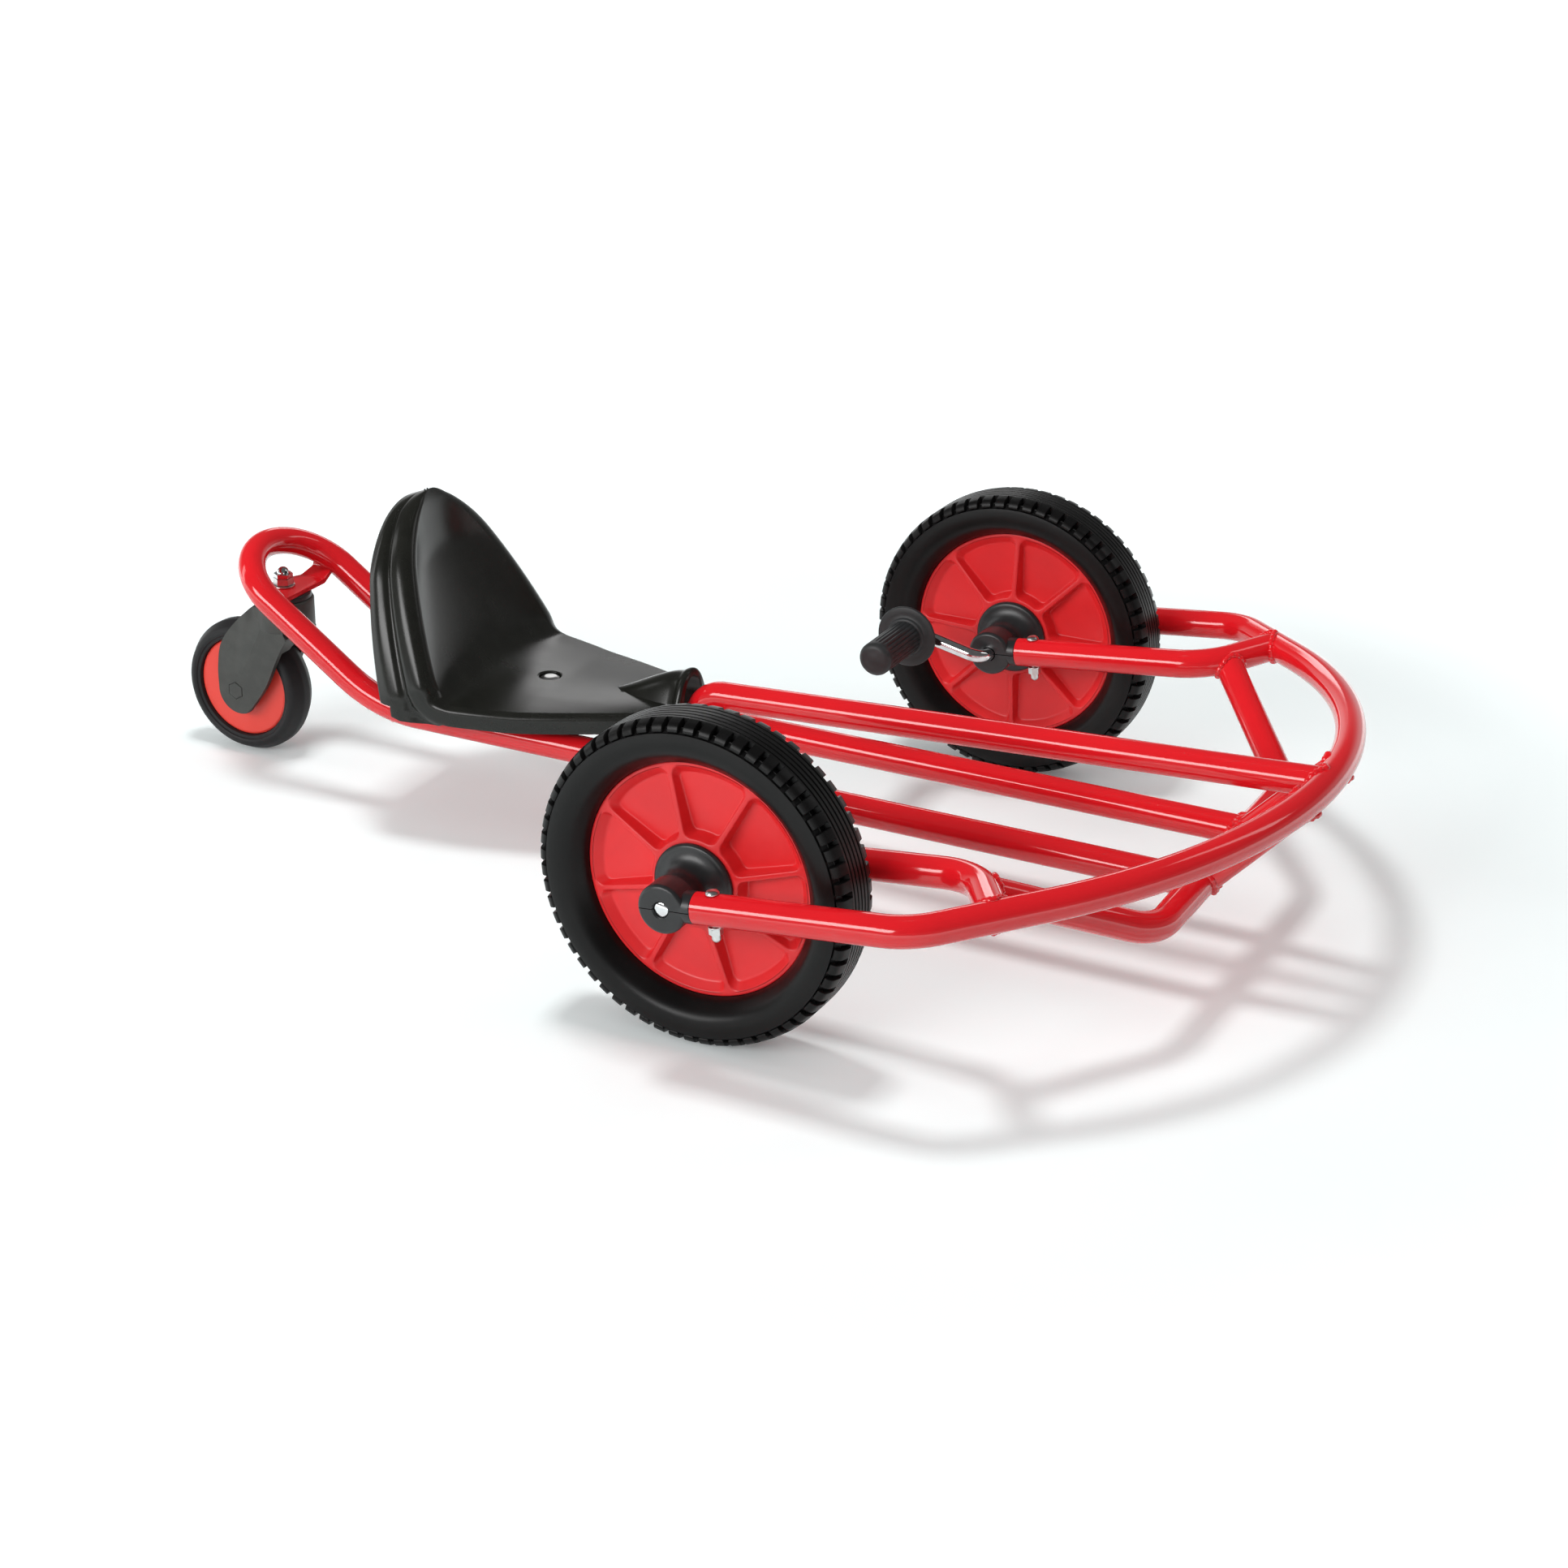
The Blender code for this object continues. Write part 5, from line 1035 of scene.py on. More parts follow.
def seat_section(seat, rail_top, station, across, roll_steps, wall_steps):
    """One section of the seat: flange, rolled edge, seating surface, rolled edge, flange."""
    point, normal, pan, back = station
    narrower = (seat.half_width - seat.front_half) * pan ** 1.4
    half = seat.half_width * math.sqrt(max(0.0, 1.0 - back ** 1.2)) - narrower
    up = smooth(normal.x / 0.8)
    arch = smooth(back / 0.12) * smooth((1.0 - back) / 0.35)
    bulge = -seat.crown * (1.0 - up) + seat.hollow * arch
    roll = min(seat.roll + (seat.back_roll - seat.roll) * smooth((normal.x - 0.2) / 0.7), half * 0.45)
    inner = max(0.0, half - roll)
    flange = seat.flange_top + (seat.flange_low - seat.flange_top) * (1.0 - back) ** 0.5
    depth = seat.skirt + (flange - seat.skirt) * smooth((normal.x - 0.15) / 0.6)
    if normal.z > 0.01:
        depth = min(depth, (point.z - rail_top - 3.4 * mm) / normal.z)
    if normal.z > 0.01 and normal.x > 0.01:
        over_rail = (point.z - rail_top - 15.9 * mm) / normal.z
        depth = min(depth, max(over_rail, (point.x + 421.0 * mm) / normal.x))
    depth = max(depth, roll + 2.0 * mm)
    slope = math.atan2(2.0 * bulge, max(inner, roll)) if half > roll * 1.2 else 0.0
    right = []
    for i in range(across + 1):
        part = math.sin(math.pi / 2.0 * i / across)
        right.append((inner * part, -bulge * (1.0 - part * part)))
    for i in range(1, roll_steps + 1):
        swing = -slope + (math.pi / 2.0 + slope) * i / roll_steps
        out = roll * (math.sin(swing) + math.sin(slope))
        right.append((inner + out, roll * (math.cos(swing) - math.cos(slope))))
    edge_y, edge_n = right[-1]
    wave = min(1.0, half / (30.0 * mm))
    for i in range(1, wall_steps + 1):
        part = i / wall_steps
        where = (depth + edge_n) * part / max(1.0 * mm, flange + edge_n)
        groove = -seat.groove * math.exp(-((where - 0.34) / 0.09) ** 2)
        swell = 0.8 * seat.groove * math.exp(-((where - 0.72) / 0.24) ** 2)
        right.append((edge_y + wave * (groove + swell), edge_n + (-depth - edge_n) * part))
    section = [seat_point(point, normal, -y, n) for y, n in right[::-1]]
    return section + [seat_point(point, normal, y, n) for y, n in right[1:]]


def seat_point(point, normal, y, n):
    return at(point.x, y, point.z) + normal * n


def blend_corner(seat, rows):
    """Draws the pan's turn up to the back out into a wide hollow, and leaves the edges as they are."""
    whole = np.array([[tuple(p) for p in row] for row in rows])
    soft = whole.copy()
    for _ in range(seat.blend_rounds):
        soft[1:-1] = 0.25 * soft[:-2] + 0.5 * soft[1:-1] + 0.25 * soft[2:]
    widths = np.abs(whole[:, :, 1])
    half = widths.max(axis=1, keepdims=True) - seat.roll
    inside = np.clip(1.0 - (widths / half) ** 2, 0.0, 1.0)
    middle_part = whole.shape[1] // 2
    reach = np.abs(np.arange(whole.shape[1]) - middle_part)[None] <= seat.across
    place = whole[:, middle_part, 0] - AXLE.x
    near = np.exp(-(((place - seat.corner_x) / (60.0 * mm)) ** 2))[:, None]
    share_of = (inside * reach * near)[..., None]
    return [[Vector(p) for p in row] for row in (whole + (soft - whole) * share_of)]


def hump_rows(seat, shrink, low, front):
    """Rows of the hump: a ridge that grows to a round arch with a thick lip at its open end."""
    outside = shrink == 0.0
    marks = [0.0, 0.03, 0.08, 0.14] + [0.2 + 0.7 * i / 14 for i in range(15)]
    lips = [(0.925, 0.35), (0.945, 0.8), (0.965, 1.0), (0.985, 1.0), (0.994, 0.75), (1.0, 0.3)]
    start = seat.front_x - seat.hump_length
    rows = []
    for mark, lip in [(mark, 0.0) for mark in marks] + lips:
        out = seat.hump_lip * lip if outside else -shrink
        grow = math.sin(0.5 * math.pi * mark) ** 0.9
        half = max(0.4 * mm, seat.hump_half * (0.05 + 0.95 * grow) + out)
        base = seat.pan_z + (seat.front_z - seat.pan_z) * smooth(mark)
        rise = (seat.hump + 2.0 * mm) * (0.06 + 0.94 * smooth(0.06 + 0.94 * mark)) + out
        row = []
        for i in range(33):
            swing = math.pi * i / 32
            flare = 1.0 + (0.24 * (1.0 - math.sin(swing)) ** 3 if outside else 0.0)
            height = base - 2.0 * mm + max(0.5 * mm, rise) * math.sin(swing) ** 0.9
            row.append((-half * math.cos(swing) * flare, height))
        row = [(row[0][0], low(mark))] + row + [(row[-1][0], low(mark))]
        x = start + seat.hump_length * mark + (front if mark == 1.0 else 0.0)
        rows.append([at(x, y, z) for y, z in row])
    return rows


def make_seat(seat, tubes):
    rail_top = tubes.rail_z + tubes.tube_radius
    bm = bmesh.new()
    stations = seat_stations(seat, 64, 16, 54)
    rows = [seat_section(seat, rail_top, station, seat.across, 7, 22) for station in stations]
    add_rows(bm, blend_corner(seat, rows), False)
    tidy(bm, 0.02 * mm)
    pan = [face for face in bm.faces if abs(face.calc_center_median().y) < 0.03 and face.normal.z ** 2 > 0.8]
    if sum(face.normal.z for face in pan) < 0.0:
        bmesh.ops.reverse_faces(bm, faces=bm.faces)
    shell = tool("seat_sheet", bm)
    wall = shell.modifiers.new("wall", "SOLIDIFY")
    wall.thickness = seat.wall
    wall.offset = -1.0
    wall.use_even_offset = True
    wall.use_quality_normals = True
    edge = shell.modifiers.new("edge", "BEVEL")
    edge.width = 1.2 * mm
    edge.segments = 2
    edge.limit_method = "ANGLE"
    edge.angle_limit = 60.0 * deg
    bolt = at(seat.bolt_x, 0.0, 0.0)
    wide = seat.hole + 1.4 * mm
    hole = turned_bm([(0.0, 0.10), (wide, 0.10), (wide, 0.20), (0.0, 0.20)], bolt, UP, 64)

    def leg_low(mark):
        return seat.pan_z - 2.5 * mm - 9.0 * mm * smooth((mark - 0.72) / 0.25)

    def room_low(_):
        return seat.pan_z - 40.0 * mm

    steps = [join("seat_hump", capped(hump_rows(seat, 0.0, leg_low, 0.0))),
             cut("seat_hump_room", capped(hump_rows(seat, seat.wall, room_low, 0.05))),
             cut("seat_hole", hole)]
    settle(carved("seat_shell", "seat_black", shell, steps, 50.0), "seat_black", "seat")
    top = seat.pan_z + seat.crown + 0.15 * mm
    floor = top - 3.4 * mm
    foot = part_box("seat_strap")[1].z + 0.3 * mm
    cup = rounded_ring([
        (4.5 * mm, floor, 0.3 * mm), (seat.hole, floor, 0.8 * mm), (seat.hole, top, 0.8 * mm),
        (seat.hole + 2.0 * mm, top - 0.15 * mm, 0.6 * mm), (seat.hole + 2.0 * mm, top - 2.4 * mm, 0.3 * mm),
        *in_mm((17.0, top, -2.6, 0.5), (17.0, foot, 0.0, 0.5), (4.5, foot, 0.0, 0.3))])
    boss = turned("seat_bolt_cup", "seat_black", cup, bolt, UP, 64, True)
    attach(boss, "frame")


# Bolts and nuts
def hexagon_rows(radius, low, high, centre, axis, chamfers=(False, False)):
    """Hexagon as rows of points, with its corners chamfered at the low and the high end if wanted."""
    axis, side, up = square_to(axis, AHEAD, UP)
    count = 36
    inner = 0.925 * radius
    rows = [[], [], [], []]
    for i in range(count):
        swing = 2.0 * math.pi * i / count
        local = (swing + math.pi / 6.0) % (math.pi / 3.0) - math.pi / 6.0
        flat = radius * math.cos(math.pi / 6.0) / math.cos(local)
        cut = max(0.0, flat - inner) * 0.6
        way = side * math.cos(swing) + up * math.sin(swing)
        low_end = (min(flat, inner), low + cut) if chamfers[0] else (flat, low)
        high_end = (min(flat, inner), high - cut) if chamfers[1] else (flat, high)
        ends = ((low_end[0], low), (flat, low_end[1]), (flat, high_end[1]), (high_end[0], high))
        for row, (reach, height) in zip(rows, ends):
            row.append(centre + axis * height + way * reach)
    return rows


def nut_bm(radius, low, high, bore, centre, chamfers=(True, True)):
    """Upright hexagon nut with a chamfered bore."""
    edge = 0.12 * bore
    hole = [(bore + edge, high), (bore, high - edge), (bore, low + edge), (bore + edge, low)]
    bm = bmesh.new()
    rows = hexagon_rows(radius, low, high, centre, UP, chamfers)
    add_rows(bm, rows + turn_rows(hole, centre, UP, 36), True, True)
    return bm


def clamp_fasteners(tubes):
    """Dome-headed bolt, washer and dome nut, each about its own upright axis."""
    top = tubes.tube_radius + 0.2 * mm
    base = -tubes.tube_radius - 0.2 * mm
    head = rounded(in_mm(
        (0.0, base, -6.0, 0.0), (2.9, base, -6.0, 0.3), (2.9, top, 0.0, 0.0), (5.4, top, 0.0, 0.25),
        (5.5, top, 0.9, 0.5), (4.2, top, 2.9, 2.4), (1.6, top, 3.6, 2.0), (0.0, top, 3.6, 0.0)))
    disc = rounded_ring(in_mm(
        (3.2, base, 0.0, 0.1), (5.8, base, 0.0, 0.35), (5.8, base, -1.2, 0.35), (3.2, base, -1.2, 0.1)))
    nut_top = base - 1.4 * mm
    nut = nut_bm(5.6 * mm, nut_top - 5.2 * mm, nut_top, 3.2 * mm, ORIGIN)
    dome = rounded(in_mm(
        (0.0, nut_top, -4.0, 0.0), (3.6, nut_top, -4.0, 0.0), (3.7, nut_top, -9.0, 0.6),
        (3.3, nut_top, -10.2, 2.4), (1.2, nut_top, -12.0, 1.4), (0.0, nut_top, -12.0, 0.0)))
    add_rows(nut, turn_rows(dome, ORIGIN, UP, 32))
    bolt, washer = turned_bm(head, ORIGIN, UP, 40), turned_bm(disc, ORIGIN, UP, 40, True)
    return {"bolt": bolt, "washer": washer, "nut": nut}


def make_clamp_fasteners(wheel, tubes):
    tilt = Matrix.Rotation(-tubes.pitch, 3, "Y")
    places, nodes = [], []
    for side, word in SIDES:
        for where, lateral in (("outer", tubes.hoop_y), ("inner", tubes.arm_y)):
            bolt = tilt @ Vector((wheel.bolt_reach, 0.0, 0.0))
            places.append(AXLE + Vector((0.0, side * lateral, 0.0)) + bolt)
            nodes.append(word + "_" + where + "_clamp_")
    for kind, bm in clamp_fasteners(tubes).items():
        template = tool("clamp_" + kind + "_shape", bm)
        spots = loose_mesh("clamp_" + kind + "_places", places)
        values = {"Fastener": template, "Tilt": -tubes.pitch, "Finish": finish_for("zinc")}
        mesh = run_tree(spots, "fasteners_at_places", copies_tree, values)
        drop(template)
        obj = wrap_mesh("clamp_" + kind + "s", mesh, "zinc", 35.0)
        settle(obj, "zinc", *[node + kind for node in nodes])


def make_other_fasteners(seat, caster):
    bolt = at(seat.bolt_x, 0.0, 0.0)
    swivel = Vector((SWIVEL.x, SWIVEL.y, 0.0))
    low, high = levels("seat_bolt")
    head = rounded(in_mm(
        (0.0, low, 0.0, 0.0), (4.0, low, 0.0, 0.4), (4.0, high, -2.6, 0.0), (8.5, high, -2.6, 0.2),
        (8.6, high, -1.6, 0.6), (5.4, high, -0.1, 3.0), (0.0, high, 0.0, 0.0)))
    settle(turned("seat_bolt_head", "zinc", head, bolt, UP, 48), "zinc", "seat_bolt")
    low, high = levels("seat_nut")
    settle(piece("seat_lock_nut", nut_bm(7.5 * mm, low, high, 4.3 * mm, bolt), "zinc"), "zinc", "seat_nut")
    low, high = levels("swivel_washer")
    disc = rounded_ring([(5.4 * mm, low, 0.1 * mm), (caster.washer, low, 0.5 * mm),
                         (caster.washer, high, 0.5 * mm), (5.4 * mm, high, 0.1 * mm)])
    settle(turned("swivel_flat_washer", "zinc", disc, swivel, UP, 56, True), "zinc", "swivel_washer")
    low, high = levels("swivel_nut")
    nut = nut_bm(caster.nut, low, high, 5.4 * mm, swivel)
    settle(piece("swivel_hex_nut", nut, "zinc"), "zinc", "swivel_nut")
    low, high = levels("swivel_dome_nut")
    hex_top = low + 3.6 * mm
    foot = hex_top + 0.6 * mm
    bm = nut_bm(0.94 * caster.nut, low, hex_top, 5.2 * mm, swivel, (False, True))
    dome = [(0.0, low + 1.0 * mm), (5.8 * mm, low + 1.0 * mm), (5.8 * mm, foot)]
    rise = high - hex_top - 0.6 * mm
    swings = [a * 9.0 * deg for a in range(1, 11)]
    dome += [(5.8 * mm * math.cos(swing), foot + rise * math.sin(swing)) for swing in swings]
    add_rows(bm, turn_rows(dome, swivel, UP, 48))
    settle(piece("swivel_cap_nut", bm, "chrome"), "chrome", "swivel_dome_nut")
    low, high = levels("swivel_bolt")
    shank = rounded(in_mm(
        (0.0, low, 0.0, 0.0), (8.8, low, 0.0, 0.6), (8.8, low, 6.0, 0.4), (5.0, low, 6.0, 0.0),
        (5.0, high, 0.0, 0.5), (0.0, high, 0.0, 0.0)))
    settle(turned("swivel_stud", "zinc", shank, swivel, UP, 40), "zinc", "swivel_bolt")
    low, high = levels("swivel_cap_ring")
    ring = rounded_ring([(5.6 * mm, low, 0.2 * mm), (caster.ring_radius, low, 0.5 * mm),
                         (caster.ring_radius, high, 1.6 * mm), (5.6 * mm, high, 0.2 * mm)])
    settle(turned("swivel_ring", "hub_black", ring, swivel, UP, 72, True), "hub_black", "swivel_cap_ring")
    low, high = (corner.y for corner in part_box("caster_pin"))
    pin = rounded(in_mm(
        (0.0, low, 0.0, 0.0), (4.0, low, 0.0, 0.4), (4.0, high, 0.0, 0.4), (0.0, high, 0.0, 0.0)))
    settle(turned("caster_axle_pin", "zinc", pin, caster_axle(), ACROSS, 32), "zinc", "caster_pin")


# The wheels
# Half of the tyre's skin from the rim up: radius and height in mm, and how much of it is tread block,
# or 2 where the skin runs on round the tyre.
TYRE_SIDE = (
    (96.95, 8.9, 0.0), (97.5, 11.4, 0.0), (98.5, 13.8, 0.0), (100.4, 16.2, 0.0), (102.6, 18.9, 0.0),
    (104.6, 21.4, 0.0), (106.4, 23.2, 0.0), (108.6, 24.9, 0.0), (111.2, 26.1, 0.0), (114.0, 26.8, 0.0),
    (116.4, 27.1, 0.0), (118.2, 27.1, 0.0), (120.2, 27.0, 0.0), (122.2, 26.75, 0.0), (124.0, 26.4, 0.0),
    (125.4, 26.05, 0.0), (126.1, 25.85, 0.25), (126.6, 25.7, 0.8), (127.3, 25.5, 1.0), (129.0, 24.9, 1.0),
    (130.6, 24.1, 1.0), (131.8, 23.2, 1.0), (132.7, 22.0, 1.0), (133.3, 20.4, 1.0), (133.9, 18.4, 1.0),
    (134.4, 16.4, 1.0), (134.7, 14.9, 1.0), (134.85, 14.2, 1.0), (134.9, 13.7, 2.0),
)


def tyre_sector(wheel):
    """One pitch of the tyre: a shoulder block on each side and the grooved middle between them."""
    pitch = 2.0 * math.pi / wheel.blocks
    half = 0.5 * wheel.block_share
    stations = [-0.5, -half - 0.03, -half - 0.006, -half + 0.02, -half + 0.055, 0.0,
                half - 0.055, half - 0.02, half + 0.006, half + 0.03, 0.5]
    covers = [0.0, 0.0, 0.86, 1.0, 1.0, 1.0, 1.0, 1.0, 0.86, 0.0, 0.0]
    rows = []
    for radius, height, block in TYRE_SIDE:
        low_r, low_h = carcass(wheel, radius, height, block)
        tongue = 0.45 + 0.55 * block if 0.0 < block < 1.0 else 1.0
        row = []
        for place, cover in zip(stations, covers):
            on_block = 1.0 if block > 1.5 or block <= 0.0 else cover * min(1.0, block)
            edge = 0.01 < abs(place) < 0.49 and block > 0.0
            r = low_r + (radius * mm - low_r) * on_block
            h = low_h + (height * mm - low_h) * on_block
            row.append((r, h, (place * tongue if edge else place) * pitch))
        rows.append(row)
    middle_rows = []
    groove = ((0.95, 0.0), (0.62, 0.8), (0.5, 1.0), (-0.5, 1.0), (-0.62, 0.8), (-0.95, 0.0))
    for y in (10.6, 5.3, 0.0, -5.3, -10.6):
        radius = 135.0 - 0.1 * abs(y) / 10.6
        for offset, depth in groove:
            r, h = radius * mm - wheel.groove * depth, (y + offset) * mm
            middle_rows.append([(r, h, place * pitch) for place in stations])
    mirrored = [[(r, -h, a) for r, h, a in row] for row in rows[::-1]]
    bm = bmesh.new()
    add_rows(bm, [spun(row) for row in rows + middle_rows + mirrored], False, True)
    return bm


def spun(row):
    """Points from (radius, height, angle) about an axle along Y."""
    return [Vector((r * math.cos(a), h, r * math.sin(a))) for r, h, a in row]


def carcass(wheel, radius, height, block):
    """Where the tyre's skin lies between two blocks, under a point of the blocks' skin."""
    if block <= 0.0:
        return radius * mm, height * mm
    depth = wheel.slot_depth / mm
    share_up = smooth((radius - 125.5) / 5.5)
    inward = 2.6 + (depth - 2.6) * share_up
    slope = smooth((height - 19.0) / 6.5)
    return (radius - inward * (1.0 - 0.8 * slope)) * mm, (height - inward * slope * 0.85) * mm


def even_steps(stops):
    """Points in even steps through the stops; each stop ends in the number of steps that follow it."""
    points = []
    for (*here, count), (*there, _) in zip(stops[:-1], stops[1:]):
        points += [tuple(a + (b - a) * i / count for a, b in zip(here, there)) for i in range(count)]
    return points + [tuple(stops[-1][:-1])]


def rim_outline(wheel, s_in, s_out, s_side, corner, counts):
    """Panel outline between two ribs, inset by its own amounts, as (x, z) about its middle."""
    side_n, turn_n, outer_n, inner_n = counts
    step = math.pi / wheel.ribs
    half = wheel.rib_width / 2.0 + s_side
    inner_r, outer_r = 37.0 * mm + s_in, 93.0 * mm - s_out
    across = half + corner
    far = math.sqrt((outer_r - corner) ** 2 - across ** 2)
    near = math.sqrt((inner_r + corner) ** 2 - across ** 2)
    out_angle, in_angle = math.atan2(across, far), math.atan2(across, near)

    def corner_turn(x, first, sweep):
        swings = [first + sweep * i / turn_n for i in range(turn_n)]
        return [(x + corner * math.cos(a), across + corner * math.sin(a)) for a in swings]

    def arc(radius, start, count):
        return [polar(radius, start * (1.0 - 2.0 * i / count)) for i in range(count)]

    def turn_to(points, way):
        """From a rib's own direction to the panel's: the first rib (-1) or, mirrored, the other (1)."""
        cos, sin = math.cos(way * step), math.sin(way * step)
        return [(x * cos - y * sin, x * sin + y * cos) for x, y in [(x, -way * y) for x, y in points]]

    side = [(near + (far - near) * i / side_n, half) for i in range(side_n)]
    turn_out = corner_turn(far, -math.pi / 2.0, math.pi / 2.0 + out_angle)
    turn_in = corner_turn(near, math.pi + in_angle, math.pi / 2.0 - in_angle)
    far_half = [polar(outer_r, out_angle)] + turn_out[1:][::-1] + [(far, half)] + side[1:][::-1]
    far_half += [(near, half)] + turn_in[1:][::-1]
    outer, inner = arc(outer_r, -step + out_angle, outer_n), arc(inner_r, step - in_angle, inner_n)
    return turn_to(side + turn_out, -1.0) + outer + turn_to(far_half, 1.0) + inner + turn_to(turn_in, -1.0)


def rim_border(wheel, counts):
    """Edge of one panel's sector of the rim, point for point with the panel's outline."""
    side_n, turn_n, outer_n, inner_n = counts
    step = math.pi / wheel.ribs
    inner_r, outer_r = 34.5 * mm, 93.6 * mm
    near, far = inner_r + 5.0 * mm, outer_r - 5.0 * mm
    swing = 0.8 * step
    half = turn_n // 2
    stops = [(near, -step, side_n), (far, -step, half), (outer_r, -step, half), (outer_r, -swing, outer_n),
             (outer_r, swing, half), (outer_r, step, half), (far, step, side_n), (near, step, half),
             (inner_r, step, half), (inner_r, swing, inner_n), (inner_r, -swing, half),
             (inner_r, -step, half)]
    return [polar(r, a) for r, a in even_steps(stops + stops[:1])[:-1]]


def rim_sector(wheel):
    """One panel of the rim with its two half ribs, on both faces, and the edges between them."""
    counts = (12, 6, 22, 6)
    step = math.pi / wheel.ribs
    swing = 0.8 * step
    half = counts[1] // 2
    bm = bmesh.new()

    def face_height(x, z):
        part = min(1.0, max(0.0, (math.hypot(x, z) - 36.0 * mm) / (57.0 * mm)))
        return wheel.rim_hub + (wheel.rim_edge - wheel.rim_hub) * part

    def skin(profile, count):
        """Strip along the border's arc with that many points between its ribs."""
        angles = even_steps([(-step, half), (-swing, count), (swing, half), (step, 0)])
        add_rows(bm, [spun([(r, h, a) for a, in angles]) for r, h in profile], False)

    # Insets towards the hub, the rim's edge and the ribs, drop from the face and rise over the web, in mm.
    levels = [(-1.0, -1.0, -0.9, 0.0, 0.0), (-0.35, -0.35, -0.35, 0.2, 0.0), (0.1, 0.1, 0.05, 0.75, 0.0),
              (0.4, 0.9, 0.25, 1.6, 0.0), (2.2, 5.0, 1.5, 0.0, 1.15), (2.7, 5.9, 1.9, 0.0, 0.35),
              (3.4, 6.9, 2.5, 0.0, 0.03), (4.4, 8.0, 3.4, 0.0, 0.0)]
    border = rim_border(wheel, counts)
    for facing in (-1.0, 1.0):
        rows = [[Vector((x, facing * face_height(x, z), z)) for x, z in border]]
        for s_in, s_out, s_side, down, rise in levels:
            corner = wheel.rim_corner - 0.8 * max(0.0, s_side) * mm
            on_face = rise == 0.0 and down > 0.0 or s_side < 0.0
            row = []
            for x, z in rim_outline(wheel, s_in * mm, s_out * mm, s_side * mm, corner, counts):
                height = face_height(x, z) - down * mm if on_face else wheel.rim_web / 2.0 + rise * mm
                row.append(Vector((x, facing * height, z)))
            rows.append(row)
        bm.faces.new(add_rows(bm, rows)[-1])
    lip = [(93.6 * mm, face_height(93.6 * mm, 0.0))]
    lip += [(r * mm, h * mm) for r, h in ((95.7, 8.5), (96.4, 8.3), (96.8, 7.8), (96.9, 7.1))]
    skin(lip + [(r, -h) for r, h in lip[::-1]], counts[2])
    bore = ((34.5, 15.0), (7.0, 15.0), (6.3, 14.3), (6.3, -14.3), (7.0, -15.0), (34.5, -15.0))
    skin([(r * mm, h * mm) for r, h in bore], counts[3])
    return bm


def hub_profile(wheel, facing):
    """Trumpet-shaped flange from the rim's face to the clamp."""
    start = wheel.rim_hub + 0.3 * mm
    end = wheel.clamp_offset - wheel.clamp_half - 0.4 * mm
    brim = wheel.hub_radius - 1.0 * mm
    points = [(6.3 * mm, start), (wheel.hub_radius - 0.3 * mm, start), (wheel.hub_radius, start + 0.4 * mm),
              (wheel.hub_radius - 0.2 * mm, start + 2.4 * mm), (brim - 0.1 * mm, start + 3.3 * mm),
              (brim - 0.9 * mm, start + 3.9 * mm)]
    run = end - start - 3.9 * mm
    for i in range(1, 13):
        swing = math.pi / 2.0 * i / 12
        reach = wheel.neck_radius + (brim - 1.2 * mm - wheel.neck_radius) * (1.0 - math.sin(swing))
        points.append((reach, start + 3.9 * mm + 0.62 * run * (1.0 - math.cos(swing))))
    points += [(wheel.neck_radius, end - 0.6 * mm), (wheel.neck_radius - 0.5 * mm, end), (6.3 * mm, end)]
    return [(r, facing * h) for r, h in points]


def make_wheels(wheel):
    for side, word in SIDES:
        centre = WHEELS[word]
        block = tyre_sector(wheel)
        tyre = ring_of(word + "_treaded_tyre", "tyre_rubber", block, wheel.blocks, 0.0, centre, 42.0)
        settle(tyre, "tyre_rubber", word + "_tyre")
        phase = (wheel.right_phase if word == "right" else wheel.left_phase) + math.pi / wheel.ribs
        rim = ring_of(word + "_ribbed_rim", "rim_red", rim_sector(wheel), wheel.ribs, phase, centre, 44.0)
        settle(rim, "rim_red", word + "_rim")
        for where, facing in (("outer", side), ("inner", -side)):
            node = word + "_" + where + "_hub"
            hub = turned(node + "_flange", "hub_black", hub_profile(wheel, facing), centre, ACROSS, 80, True)
            settle(hub, "hub_black", node)


